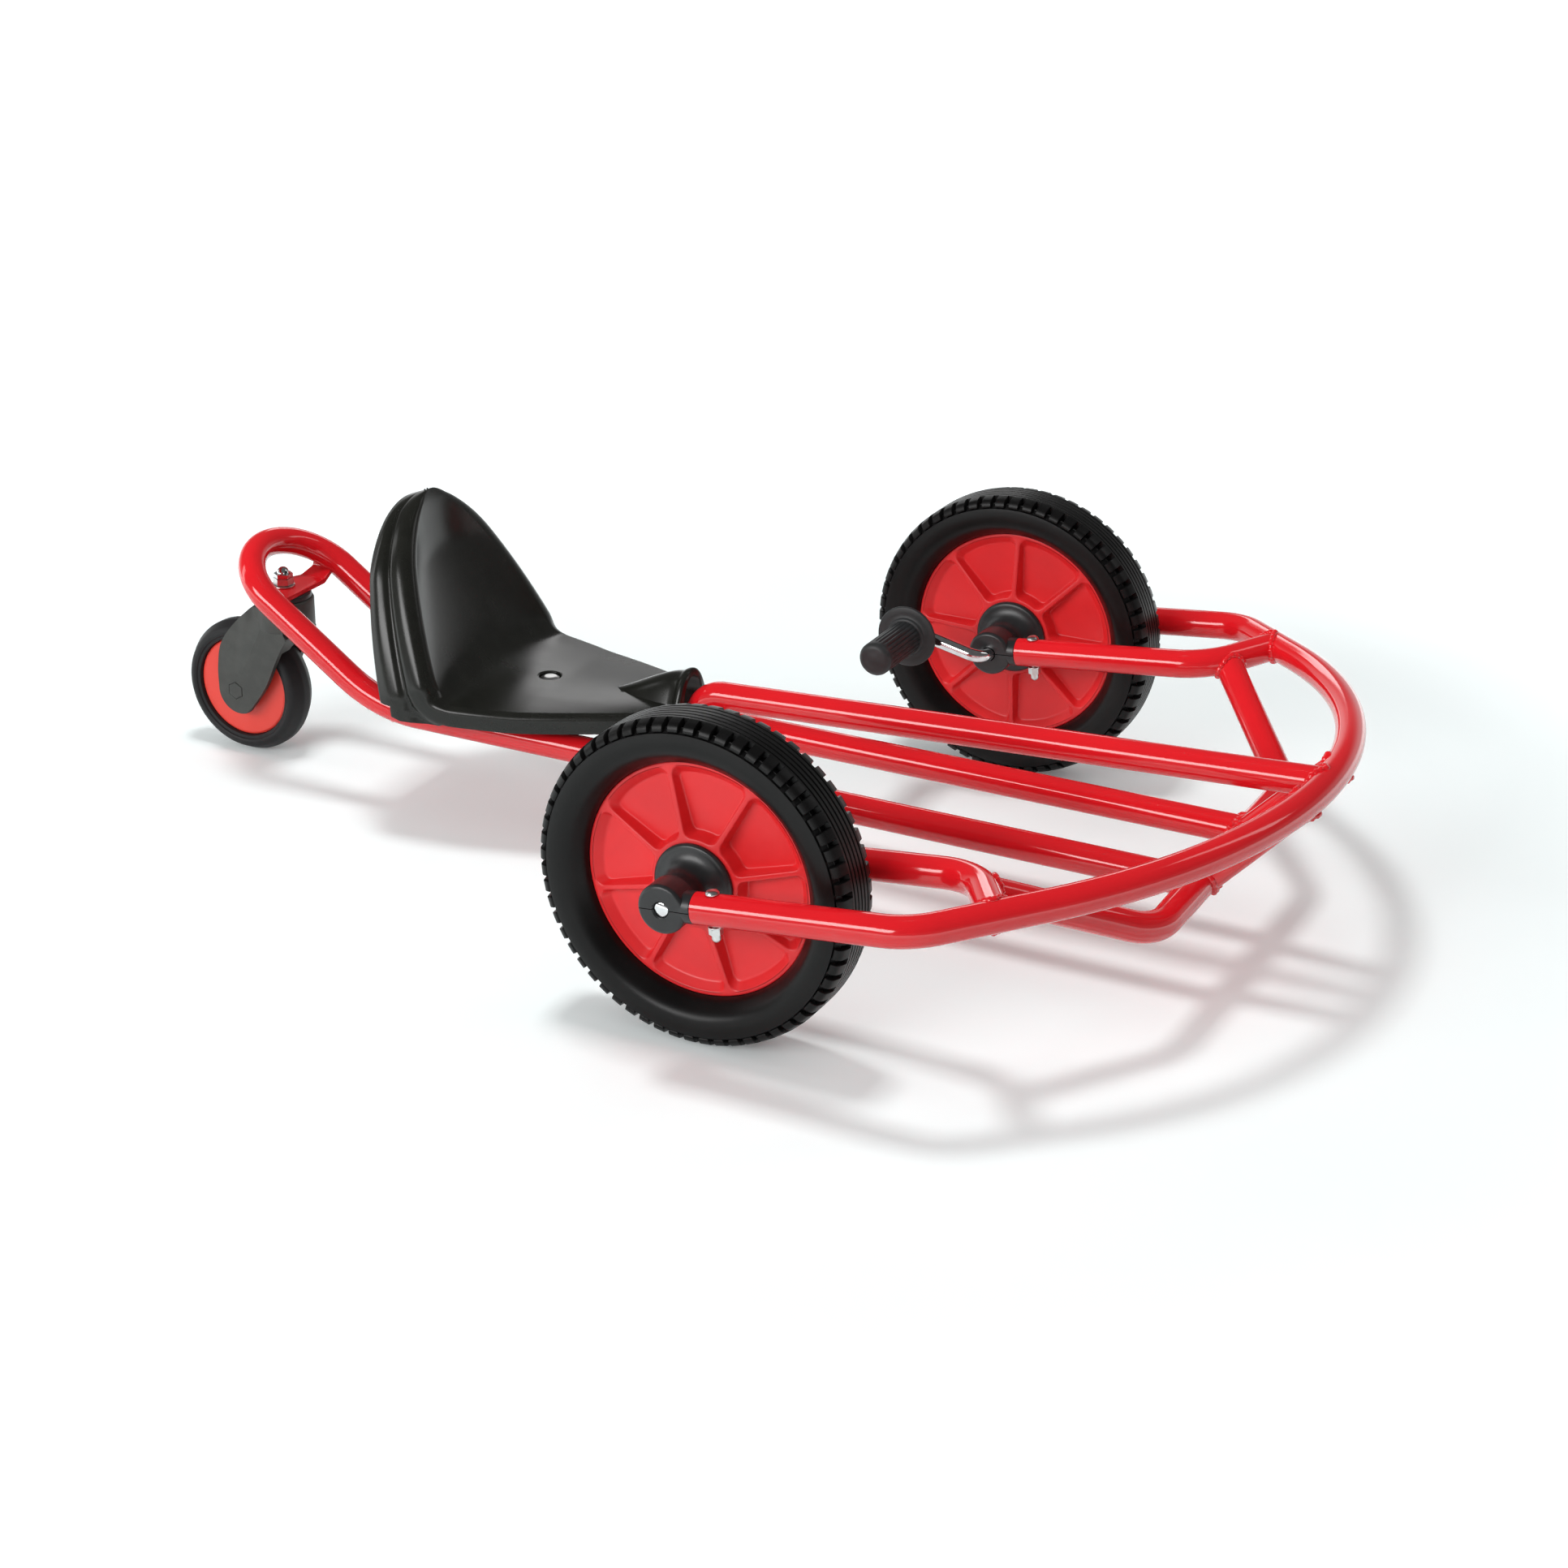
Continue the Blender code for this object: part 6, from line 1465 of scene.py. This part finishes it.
# Clamps and cranks
def make_clamps(wheel, tubes):
    tilt = Matrix.Rotation(-tubes.pitch, 3, "Y")
    ahead = tilt @ AHEAD
    half, edge = wheel.clamp_half, wheel.clamp_round
    end = tubes.tube_start - 0.3 * mm
    body = rounded([(0.0, -half, 0.0), (wheel.clamp_radius, -half, edge), (wheel.clamp_radius, half, edge),
                    (0.0, half, 0.0)], 12.0 * deg)
    collar = rounded(in_mm(
        (0.0, 0.0, 6.0, 0.0), (11.8, 0.0, 6.0, 0.0), (12.7, 0.0, 18.5, 3.0), (12.7, end, 0.0, 0.7),
        (0.0, end, 0.0, 0.0)))
    spigot = [(0.0, 20.0 * mm), (10.8 * mm, 20.0 * mm), (10.8 * mm, 62.0 * mm), (0.0, 62.0 * mm)]
    floor, mouth = half - 1.2 * mm, half + 0.4 * mm
    recess = [(0.0, floor), (6.9 * mm, floor), (7.6 * mm, mouth), (0.0, mouth)]
    spots = [(word, where, side * lateral, out) for side, word in SIDES
             for where, lateral, out in (("outer", tubes.hoop_y, side), ("inner", tubes.arm_y, -side))]
    for word, where, y, out in spots:
        origin = AXLE + ACROSS * y
        for half_name, face in (("upper", 1.0), ("lower", -1.0)):
            base = tool("clamp_body", turned_bm(body, origin, ACROSS, 72))
            steps = [join("clamp_collar", turned_bm(collar, origin, ahead, 56)),
                     join("clamp_spigot", turned_bm(spigot, origin, ahead, 40)),
                     cut("clamp_bore", turned_bm(bore_profile(6.55 * mm), origin, ACROSS, 48))]
            if where == "outer":
                steps.append(cut("clamp_recess", turned_bm(recess, origin, ACROSS * out, 48)))
            bolt_at = origin + ahead * wheel.bolt_reach
            hole = turned_bm(bore_profile(3.2 * mm), bolt_at, tilt @ UP, 24)
            steps.append(cut("clamp_hole", hole))
            shift = (0.02, 0.0, -face * (0.1 - wheel.split / 2.0))
            steps.append(cut("clamp_split", block_bm((0.2, 0.2, 0.2), shift, tilt, origin)))
            node = word + "_" + where + "_clamp_" + half_name
            settle(carved(node + "_half", "hub_black", base, steps, 34.0), "hub_black", node)


def crank_points(wheel, side):
    """Axle, arm and grip pin of one bent rod about the wheel's middle, the arm, and the side it lies at."""
    clamp_end = wheel.clamp_offset + wheel.clamp_half
    outer = side * (clamp_end - 1.0 * mm)
    arm_y = -side * (clamp_end + wheel.crank_bend + 0.6 * mm)
    arm = Vector((math.cos(wheel.crank_angle), 0.0, math.sin(wheel.crank_angle))) * wheel.crank_length
    pin_end = arm_y - side * (wheel.crank_bend + wheel.grip_length - 9.0 * mm)
    corners = [Vector((0.0, outer, 0.0)), Vector((0.0, arm_y, 0.0)), Vector((arm.x, arm_y, arm.z)),
               Vector((arm.x, pin_end, arm.z))]
    return fillet_path(corners, [wheel.crank_bend, wheel.crank_bend], 7.5 * deg), arm, arm_y


def grip_sector(wheel, near, way):
    """One rib of the grip, from the pin's hole over the guard and along to the round end."""
    pitch = 2.0 * math.pi / wheel.grip_ribs
    stations = [-0.5, -0.42, -0.3, 0.0, 0.3, 0.42, 0.5]
    valleys = [1.0, 0.75, 0.08, 0.0, 0.08, 0.75, 1.0]
    far, rim, rib = wheel.grip_length / mm, wheel.guard_radius / mm, wheel.grip_radius / mm
    plain = [(0.0, 64.5), (6.3, 64.5), (6.3, 0.0), (14.0, 0.0), (14.6, 0.35), (24.0, 0.35), (rim - 1.2, 0.3),
             (rim - 0.35, 0.65), (rim, 1.5), (rim, 2.2), (rim - 0.35, 3.1), (rim - 1.2, 3.6), (22.0, 3.7),
             (18.6, 3.8), (18.1, 4.2), (17.8, 5.6), (17.0, 6.2), (rib, 6.4)]
    profile = [(radius, height, 0.0) for radius, height in plain] + [(rib, 7.2, 0.5), (rib, 8.4, 1.0)]
    profile += [(rib, 8.4 + (far - 20.0) * i / 8, 1.0) for i in range(1, 9)]
    profile += [(rib, far - 10.2, 0.5), (rib, far - 9.0, 0.0)]
    for i in range(1, 9):
        swing = math.pi / 2.0 * i / 8
        reach = rib - 6.2 + 6.2 * math.cos(swing) if i < 8 else rib - 6.2
        profile.append((reach, far - 7.0 + 5.6 * math.sin(swing), 0.0))
    profile += [(6.0, far - 0.75, 0.0), (3.0, far - 0.2, 0.0), (0.0, far, 0.0)]
    rows = []
    for radius, height, ribbed in profile:
        y = near + way * height * mm
        reaches = [radius * mm - 0.85 * mm * valley * ribbed for valley in valleys]
        rows.append(spun([(reach, y, place * pitch) for reach, place in zip(reaches, stations)]))
    bm = bmesh.new()
    add_rows(bm, rows, False)
    return bm


def make_cranks(wheel):
    for side, word in SIDES:
        line = crank_points(wheel, side)[0]
        rows = sweep_rows([WHEELS[word] + p for p in line], wheel.rod, 36)
        for end, following in ((0, 1), (-1, -2)):
            heading = (line[end] - line[following]).normalized()
            centre = WHEELS[word] + line[end]
            face = [centre + (p - centre) * 0.86 for p in rows[end]]
            tip = [centre + (p - centre) * 0.02 for p in face]
            rows[end] = [p - heading * 0.7 * mm for p in rows[end]]
            rows = [tip, face] + rows if end == 0 else rows + [face, tip]
        settle(piece(word + "_crank_rod", capped(rows), "chrome", 40.0), "chrome", word + "_crank")


def make_grips(wheel):
    for side, word in SIDES:
        _, arm, arm_y = crank_points(wheel, side)
        sector = grip_sector(wheel, arm_y - side * wheel.crank_bend, -side)
        centre = WHEELS[word] + arm
        grip = ring_of(word + "_ribbed_grip", "grip_black", sector, wheel.grip_ribs, 0.0, centre, 50.0)
        settle(grip, "grip_black", word + "_grip")


# The caster
def caster_axle():
    """The caster wheel's middle, on the car's middle plane."""
    return Vector((CASTER_AXLE.x, 0.0, CASTER_AXLE.z))


def curve_through(points, per):
    """Smooth curve through points; the first and last only steer it."""
    result = []
    for four in zip(points[:-3], points[1:-2], points[2:-1], points[3:]):
        for i in range(per):
            t = i / per
            result.append(tuple(0.5 * (2.0 * q + (r - p) * t + (2.0 * p - 5.0 * q + 4.0 * r - s) * t * t
                                       + (3.0 * q - p - 3.0 * r + s) * t ** 3) for p, q, r, s in zip(*four)))
    result.append(points[-2])
    return result


def leaf_outline(caster):
    """Fork's leg seen from the side, about the swivel's axis and the ground."""
    trail = SWIVEL.x - CASTER_AXLE.x
    axle = CASTER_AXLE.z
    tip_x = -trail + 3.5 * mm
    chord = math.sqrt(caster.head_radius ** 2 - caster.fork_outer ** 2)
    shoulder = caster.head_low + 0.8 * (caster.head_top - caster.head_low)
    start = -64.0 * deg
    x, z = polar(caster.tip_radius, start)
    first = (tip_x + x, axle + z)
    front = [(chord + 2.0 * mm, caster.head_low), (chord + 5.0 * mm, caster.head_low - 4.0 * mm),
             (9.6 * mm, axle + 49.3 * mm), (2.1 * mm, axle + 34.2 * mm), (-10.5 * mm, axle + 8.0 * mm), first,
             (first[0] - 6.0 * mm, first[1] - 6.0 * mm)]
    points = [(chord, shoulder), (chord, caster.head_low + 0.3 * mm)] + curve_through(front, 5)
    points = points[:-1]
    count = 20
    for i in range(count + 1):
        swing = start + (-math.pi - start) * i / count
        x, z = polar(caster.tip_radius, swing)
        points.append((tip_x + x, axle + z))
    back = tip_x - caster.tip_radius
    neck = -caster.head_radius
    rear = [(back, axle - 12.0 * mm), (back, axle), (back + 0.3 * mm, axle + 22.0 * mm),
            (back + 5.5 * mm, axle + 46.0 * mm), (neck - 14.5 * mm, caster.head_low + 2.0 * mm),
            (neck + 8.4 * mm, shoulder), (neck + 20.0 * mm, shoulder + 8.0 * mm)]
    points += curve_through(rear, 6)[1:]
    return [Vector((SWIVEL.x + x, 0.0, z)) for x, z in points]


def make_fork(caster):
    outline = [p - Vector((0.0, caster.fork_outer, 0.0)) for p in leaf_outline(caster)]
    block = tool("fork_block", prism(outline, Vector((0.0, 2.0 * caster.fork_outer, 0.0)), 1.5 * mm, 3))
    swivel, axle = Vector((SWIVEL.x, 0.0, 0.0)), caster_axle()
    head = rounded([(0.0, caster.head_low, 0.0), (caster.head_radius, caster.head_low, 2.0 * mm),
                    (caster.head_radius, caster.head_top, 2.2 * mm), (0.0, caster.head_top, 0.0)])
    room_r = caster.radius + 4.0 * mm
    room = rounded([(0.0, -caster.fork_inner, 0.0), (room_r, -caster.fork_inner, 1.5 * mm),
                    (room_r, caster.fork_inner, 1.5 * mm), (0.0, caster.fork_inner, 0.0)])
    shoulder = caster.head_low + 9.0 * mm
    foot, top = caster.head_low - 0.05, caster.head_top + 0.05
    stud = [(0.0, foot), (10.0 * mm, foot), (10.0 * mm, shoulder), (5.5 * mm, shoulder), (5.5 * mm, top),
            (0.0, top)]
    depth = caster.fork_outer - 2.0 * mm
    steps = [join("fork_head", turned_bm(head, swivel, UP, 72)),
             cut("fork_room", turned_bm(room, axle, ACROSS, 96)),
             cut("fork_stud", turned_bm(stud, swivel, UP, 40)),
             cut("fork_pin", turned_bm(bore_profile(4.3 * mm), axle, ACROSS, 32))]
    for face, _ in SIDES:
        cap_room = capped(hexagon_rows(8.9 * mm, depth, caster.fork_outer + 0.02, axle, ACROSS * face))
        steps.append(cut("fork_cap_room", cap_room))
    settle(carved("caster_fork_moulding", "fork_black", block, steps, 32.0), "fork_black", "caster_fork")
    top = caster.fork_outer + 0.5 * mm
    for face, word in SIDES:
        rows = hexagon_rows(8.5 * mm, depth + 0.3 * mm, top, axle, ACROSS * face)
        rows[2] = [p - ACROSS * (face * 0.45 * mm) for p in rows[2]]
        rows[3] = hexagon_rows(8.0 * mm, depth, top, axle, ACROSS * face)[3]
        node = "caster_" + word + "_cap"
        settle(piece(node + "_hex", capped(rows), "fork_black", 30.0), "fork_black", node)


def make_caster_wheel(caster):
    r, h, d, g = caster.radius, caster.half_width, caster.disc_radius, caster.disc_half
    floor, boss = g - 1.8 * mm, caster.fork_inner - 0.4 * mm
    outer = [(d + 0.3 * mm, g - 1.2 * mm, 0.4 * mm), (d + 0.9 * mm, g + 0.9 * mm, 0.8 * mm),
             (d + 3.4 * mm, g + 1.4 * mm, 0.5 * mm), (d + 4.2 * mm, g + 2.6 * mm, 0.6 * mm),
             (d + 6.4 * mm, h, 3.0 * mm), (r - 5.6 * mm, h - 1.6 * mm, 7.0 * mm), (r, 4.6 * mm, 7.0 * mm)]
    inner = [(4.4 * mm, boss, 0.3 * mm), (12.6 * mm, boss, 0.8 * mm), (14.2 * mm, floor, 1.6 * mm),
             (d - 2.0 * mm, floor + 0.1 * mm, 1.2 * mm), (d, floor - 0.9 * mm, 0.9 * mm)]
    tyre_ring, disc_ring = [half + [(a, -b, e) for a, b, e in half[::-1]] for half in (outer, inner)]
    tyre_profile = rounded_ring(tyre_ring, 9.0 * deg)
    tyre = turned("caster_smooth_tyre", "caster_rubber", tyre_profile, caster_axle(), ACROSS, 112, True)
    settle(tyre, "caster_rubber", "caster_tyre")
    disc = turned("caster_red_disc", "disc_red", rounded_ring(disc_ring), caster_axle(), ACROSS, 96, True)
    settle(disc, "rim_red", "caster_disc")


# The stage
# Pixels across the photograph, in which the camera's focal length and shift were fitted.
PHOTO_WIDTH = 1932.0
SENSOR = 36.0


def make_camera():
    """Camera at the photograph's viewpoint."""
    right = Vector((0.88947427, 0.45685273, 0.0110046))
    up = Vector((-0.19027032, 0.34833968, 0.91785439))
    ahead = Vector((-0.41549094, 0.81850171, -0.3967647))
    data = bpy.data.cameras.new("studio_camera")
    data.sensor_width = SENSOR
    data.lens = 3695.3622 / PHOTO_WIDTH * SENSOR
    data.shift_x = -2.1459 / PHOTO_WIDTH
    data.shift_y = -3.0641 / PHOTO_WIDTH
    data.clip_end = 50.0
    camera = put("studio_camera", data)
    turn = Matrix((right, up, -ahead)).transposed().to_4x4()
    camera.matrix_world = Matrix.Translation(at(0.99756010586, -2.13425034328, 1.11485027629)) @ turn
    bpy.context.scene.camera = camera


def make_floor(rgb):
    """Pale floor: the camera sees it white away from the car, and it keeps the car's shadow."""
    bm = bmesh.new()
    rows = []
    for radius in (0.0, 0.4, 0.8, 1.2, 1.8, 2.6, 4.0, 7.0, 12.0):
        rows.append([Vector((*polar(radius, i * 7.5 * deg), 0.0)) for i in range(48)])
    add_rows(bm, rows)
    bmesh.ops.remove_doubles(bm, verts=bm.verts, dist=1e-6)
    bmesh.ops.recalc_face_normals(bm, faces=bm.faces)
    floor = put("studio_floor", mesh_from("studio_floor", bm))
    net = material_net("studio_floor")
    plain = net.wire("ShaderNodeBsdfDiffuse", {"Color": tuple(rgb) + (1.0,)})
    speckle = net.blend(net.noise(45.0, 3.0), (0.90, 0.97, 0.97, 1.0), (0.93, 1.0, 1.0, 1.0))
    lit = net.wire("ShaderNodeBsdfDiffuse", {"Color": speckle})
    reach = net.wire("ShaderNodeVectorMath", {0: net.place((1.0, 1.0, 0.0))}, "Value", operation="LENGTH")
    glow = net.ramp(reach, 0.7, 1.7) * 0.9 + 0.10
    white = net.wire("ShaderNodeEmission", {"Color": (1.0, 1.0, 1.0, 1.0), "Strength": glow})
    seen = net.wire("ShaderNodeAddShader", {0: lit, 1: white})
    rays = net.add("ShaderNodeLightPath").outputs
    wanted = ("Is Camera Ray", "Is Glossy Ray", "Is Transmission Ray")
    camera, gloss, glass = [Wire(net, rays[ray]) for ray in wanted]
    looked_at = (camera + gloss + glass).clamped()
    choice = net.wire("ShaderNodeMixShader", {0: looked_at, 1: plain, 2: seen})
    net.feed(net.tree.nodes["Material Output"].inputs["Surface"], choice)
    floor.data.materials.append(bpy.data.materials["studio_floor"])


def make_world():
    """White where the camera looks past the car, a soft room in the gloss, and an even light."""
    world = bpy.data.worlds.new("studio_world")
    world.use_nodes = True
    bpy.context.scene.world = world
    net = Net(world.node_tree)
    white = (1.0, 1.0, 1.0, 1.0)
    where = net.wire("ShaderNodeTexCoord", key="Generated")
    height = net.wire("ShaderNodeSeparateXYZ", {0: where}, "Z")
    values = {0: where, 1: (-0.45, 0.893, 0.0)}
    behind = net.wire("ShaderNodeVectorMath", values, "Value", operation="DOT_PRODUCT")
    room = net.ramp(height, 0.10, 0.42, 1.0, 0.0) * net.ramp(behind, 0.2, 0.85, 0.3, 0.75)
    backdrop = room.math("MAXIMUM", room, 0.10)
    plain = net.tree.nodes["Background"]
    plain.inputs["Color"].default_value = white
    plain.inputs["Strength"].default_value = 0.40
    mirrored = net.wire("ShaderNodeBackground", {"Color": white, "Strength": backdrop})
    seen = net.wire("ShaderNodeBackground", {"Color": white, "Strength": 1.0})
    rays = net.add("ShaderNodeLightPath").outputs
    result = Wire(net, plain.outputs[0])
    shows = {"Is Glossy Ray": mirrored, "Is Transmission Ray": mirrored, "Is Camera Ray": seen}
    for ray, shown in shows.items():
        result = net.wire("ShaderNodeMixShader", {0: Wire(net, rays[ray]), 1: result, 2: shown})
    net.feed(net.tree.nodes["World Output"].inputs["Surface"], result)


def make_lamps():
    lamps = (
        ("key_lamp", (-0.22, -0.03, 2.49), 24.0, (0.46, 0.46), False),
        ("back_softbox", (-1.25, 2.3, 1.25), 4.2, (1.2, 0.35), True),
        ("side_strip", (1.7, 1.2, 1.9), 4.0, (0.4, 1.4), True),
        ("front_softbox", (-2.9, -7.1, 3.3), 375.0, (5.6, 2.3), True),
        ("rear_strip", (-2.6, -0.5, 0.9), 5.0, (0.4, 1.5), True),
    )
    aim = Vector((0.05, 0.0, 0.1))
    for name, place, power, size, mirrored in lamps:
        data = bpy.data.lights.new(name, "AREA")
        data.energy = power
        data.shape = "RECTANGLE"
        data.size, data.size_y = size
        lamp = put(name, data)
        lamp.location = Vector(place)
        lamp.visible_glossy = mirrored
        lamp.rotation_euler = (aim - lamp.location).to_track_quat("-Z", "Y").to_euler()


# Operators
class Step:
    """What every operator here shares."""

    bl_options = {"REGISTER", "UNDO"}


class SWINGCAR_OT_finishes(Step, bpy.types.Operator):
    """Make the finishes: powder coat, mouldings, rubber, chrome and zinc"""

    bl_idname = "swingcar.finishes"
    bl_label = "Finishes"

    def execute(self, context):
        make_finishes(context.scene.swingcar_colours)
        return {"FINISHED"}


class SWINGCAR_OT_frame(Step, bpy.types.Operator):
    """Build the painted tube frame with its coped ends, welds, caster plate and seat strap"""

    bl_idname = "swingcar.frame"
    bl_label = "Tube frame"

    def execute(self, context):
        make_frame(context.scene.swingcar_frame, context.scene.swingcar_caster)
        return {"FINISHED"}


class SWINGCAR_OT_seat(Step, bpy.types.Operator):
    """Build the moulded seat and the cup round its bolt"""

    bl_idname = "swingcar.seat"
    bl_label = "Seat"

    def execute(self, context):
        make_seat(context.scene.swingcar_seat, context.scene.swingcar_frame)
        return {"FINISHED"}


class SWINGCAR_OT_wheels(Step, bpy.types.Operator):
    """Build the treaded tyres, ribbed rims and hub flanges"""

    bl_idname = "swingcar.wheels"
    bl_label = "Front wheels"

    def execute(self, context):
        make_wheels(context.scene.swingcar_wheels)
        return {"FINISHED"}


class SWINGCAR_OT_clamps(Step, bpy.types.Operator):
    """Build the split hub clamps at the ends of the hoop and the arms"""

    bl_idname = "swingcar.clamps"
    bl_label = "Hub clamps"

    def execute(self, context):
        make_clamps(context.scene.swingcar_wheels, context.scene.swingcar_frame)
        return {"FINISHED"}


class SWINGCAR_OT_cranks(Step, bpy.types.Operator):
    """Build the chromed axles with their cranks"""

    bl_idname = "swingcar.cranks"
    bl_label = "Cranks"

    def execute(self, context):
        make_cranks(context.scene.swingcar_wheels)
        return {"FINISHED"}


class SWINGCAR_OT_grips(Step, bpy.types.Operator):
    """Build the ribbed hand grips with their guards"""

    bl_idname = "swingcar.grips"
    bl_label = "Hand grips"

    def execute(self, context):
        make_grips(context.scene.swingcar_wheels)
        return {"FINISHED"}


class SWINGCAR_OT_fasteners(Step, bpy.types.Operator):
    """Build the bolts, washers and nuts of the clamps, the seat and the swivel"""

    bl_idname = "swingcar.fasteners"
    bl_label = "Fasteners"

    def execute(self, context):
        scene = context.scene
        make_clamp_fasteners(scene.swingcar_wheels, scene.swingcar_frame)
        make_other_fasteners(scene.swingcar_seat, scene.swingcar_caster)
        return {"FINISHED"}


class SWINGCAR_OT_caster(Step, bpy.types.Operator):
    """Build the caster's fork, hexagonal caps, tyre and disc"""

    bl_idname = "swingcar.caster"
    bl_label = "Caster"

    def execute(self, context):
        make_fork(context.scene.swingcar_caster)
        make_caster_wheel(context.scene.swingcar_caster)
        return {"FINISHED"}


class SWINGCAR_OT_stage(Step, bpy.types.Operator):
    """Set up the pale floor, the studio light and the camera"""

    bl_idname = "swingcar.stage"
    bl_label = "Stage"

    def execute(self, context):
        make_floor(context.scene.swingcar_colours.floor)
        make_world()
        make_lamps()
        make_camera()
        context.scene.view_settings.view_transform = "Standard"
        return {"FINISHED"}


BUILD_STEPS = (
    SWINGCAR_OT_finishes, SWINGCAR_OT_frame, SWINGCAR_OT_seat, SWINGCAR_OT_wheels, SWINGCAR_OT_clamps,
    SWINGCAR_OT_cranks, SWINGCAR_OT_grips, SWINGCAR_OT_fasteners, SWINGCAR_OT_caster, SWINGCAR_OT_stage,
)
SIZE_GROUPS = (
    ("swingcar_frame", FrameSizes), ("swingcar_seat", SeatSizes), ("swingcar_wheels", WheelSizes),
    ("swingcar_caster", CasterSizes), ("swingcar_colours", Colours),
)


class SWINGCAR_PT_panel(bpy.types.Panel):
    bl_idname = "SWINGCAR_PT_panel"
    bl_label = "Swing Car"
    bl_space_type = "VIEW_3D"
    bl_region_type = "UI"
    bl_category = "Swing Car"

    def draw(self, context):
        column = self.layout.column(align=True)
        for step in BUILD_STEPS:
            column.operator(step.bl_idname)
        for key, group in SIZE_GROUPS:
            box = self.layout.box()
            box.label(text=key.replace("swingcar_", "").capitalize())
            for name in group.__annotations__:
                box.prop(getattr(context.scene, key), name)


def register():
    for key, group in SIZE_GROUPS:
        bpy.utils.register_class(group)
        setattr(bpy.types.Scene, key, PointerProperty(type=group))
    for step in BUILD_STEPS:
        bpy.utils.register_class(step)
    bpy.utils.register_class(SWINGCAR_PT_panel)


def unregister():
    bpy.utils.unregister_class(SWINGCAR_PT_panel)
    for step in reversed(BUILD_STEPS):
        bpy.utils.unregister_class(step)
    for key, group in reversed(SIZE_GROUPS):
        delattr(bpy.types.Scene, key)
        bpy.utils.unregister_class(group)


def main():
    register()
    for step in BUILD_STEPS:
        family, name = step.bl_idname.split(".")
        getattr(getattr(bpy.ops, family), name)()


if __name__ == "__main__":
    main()
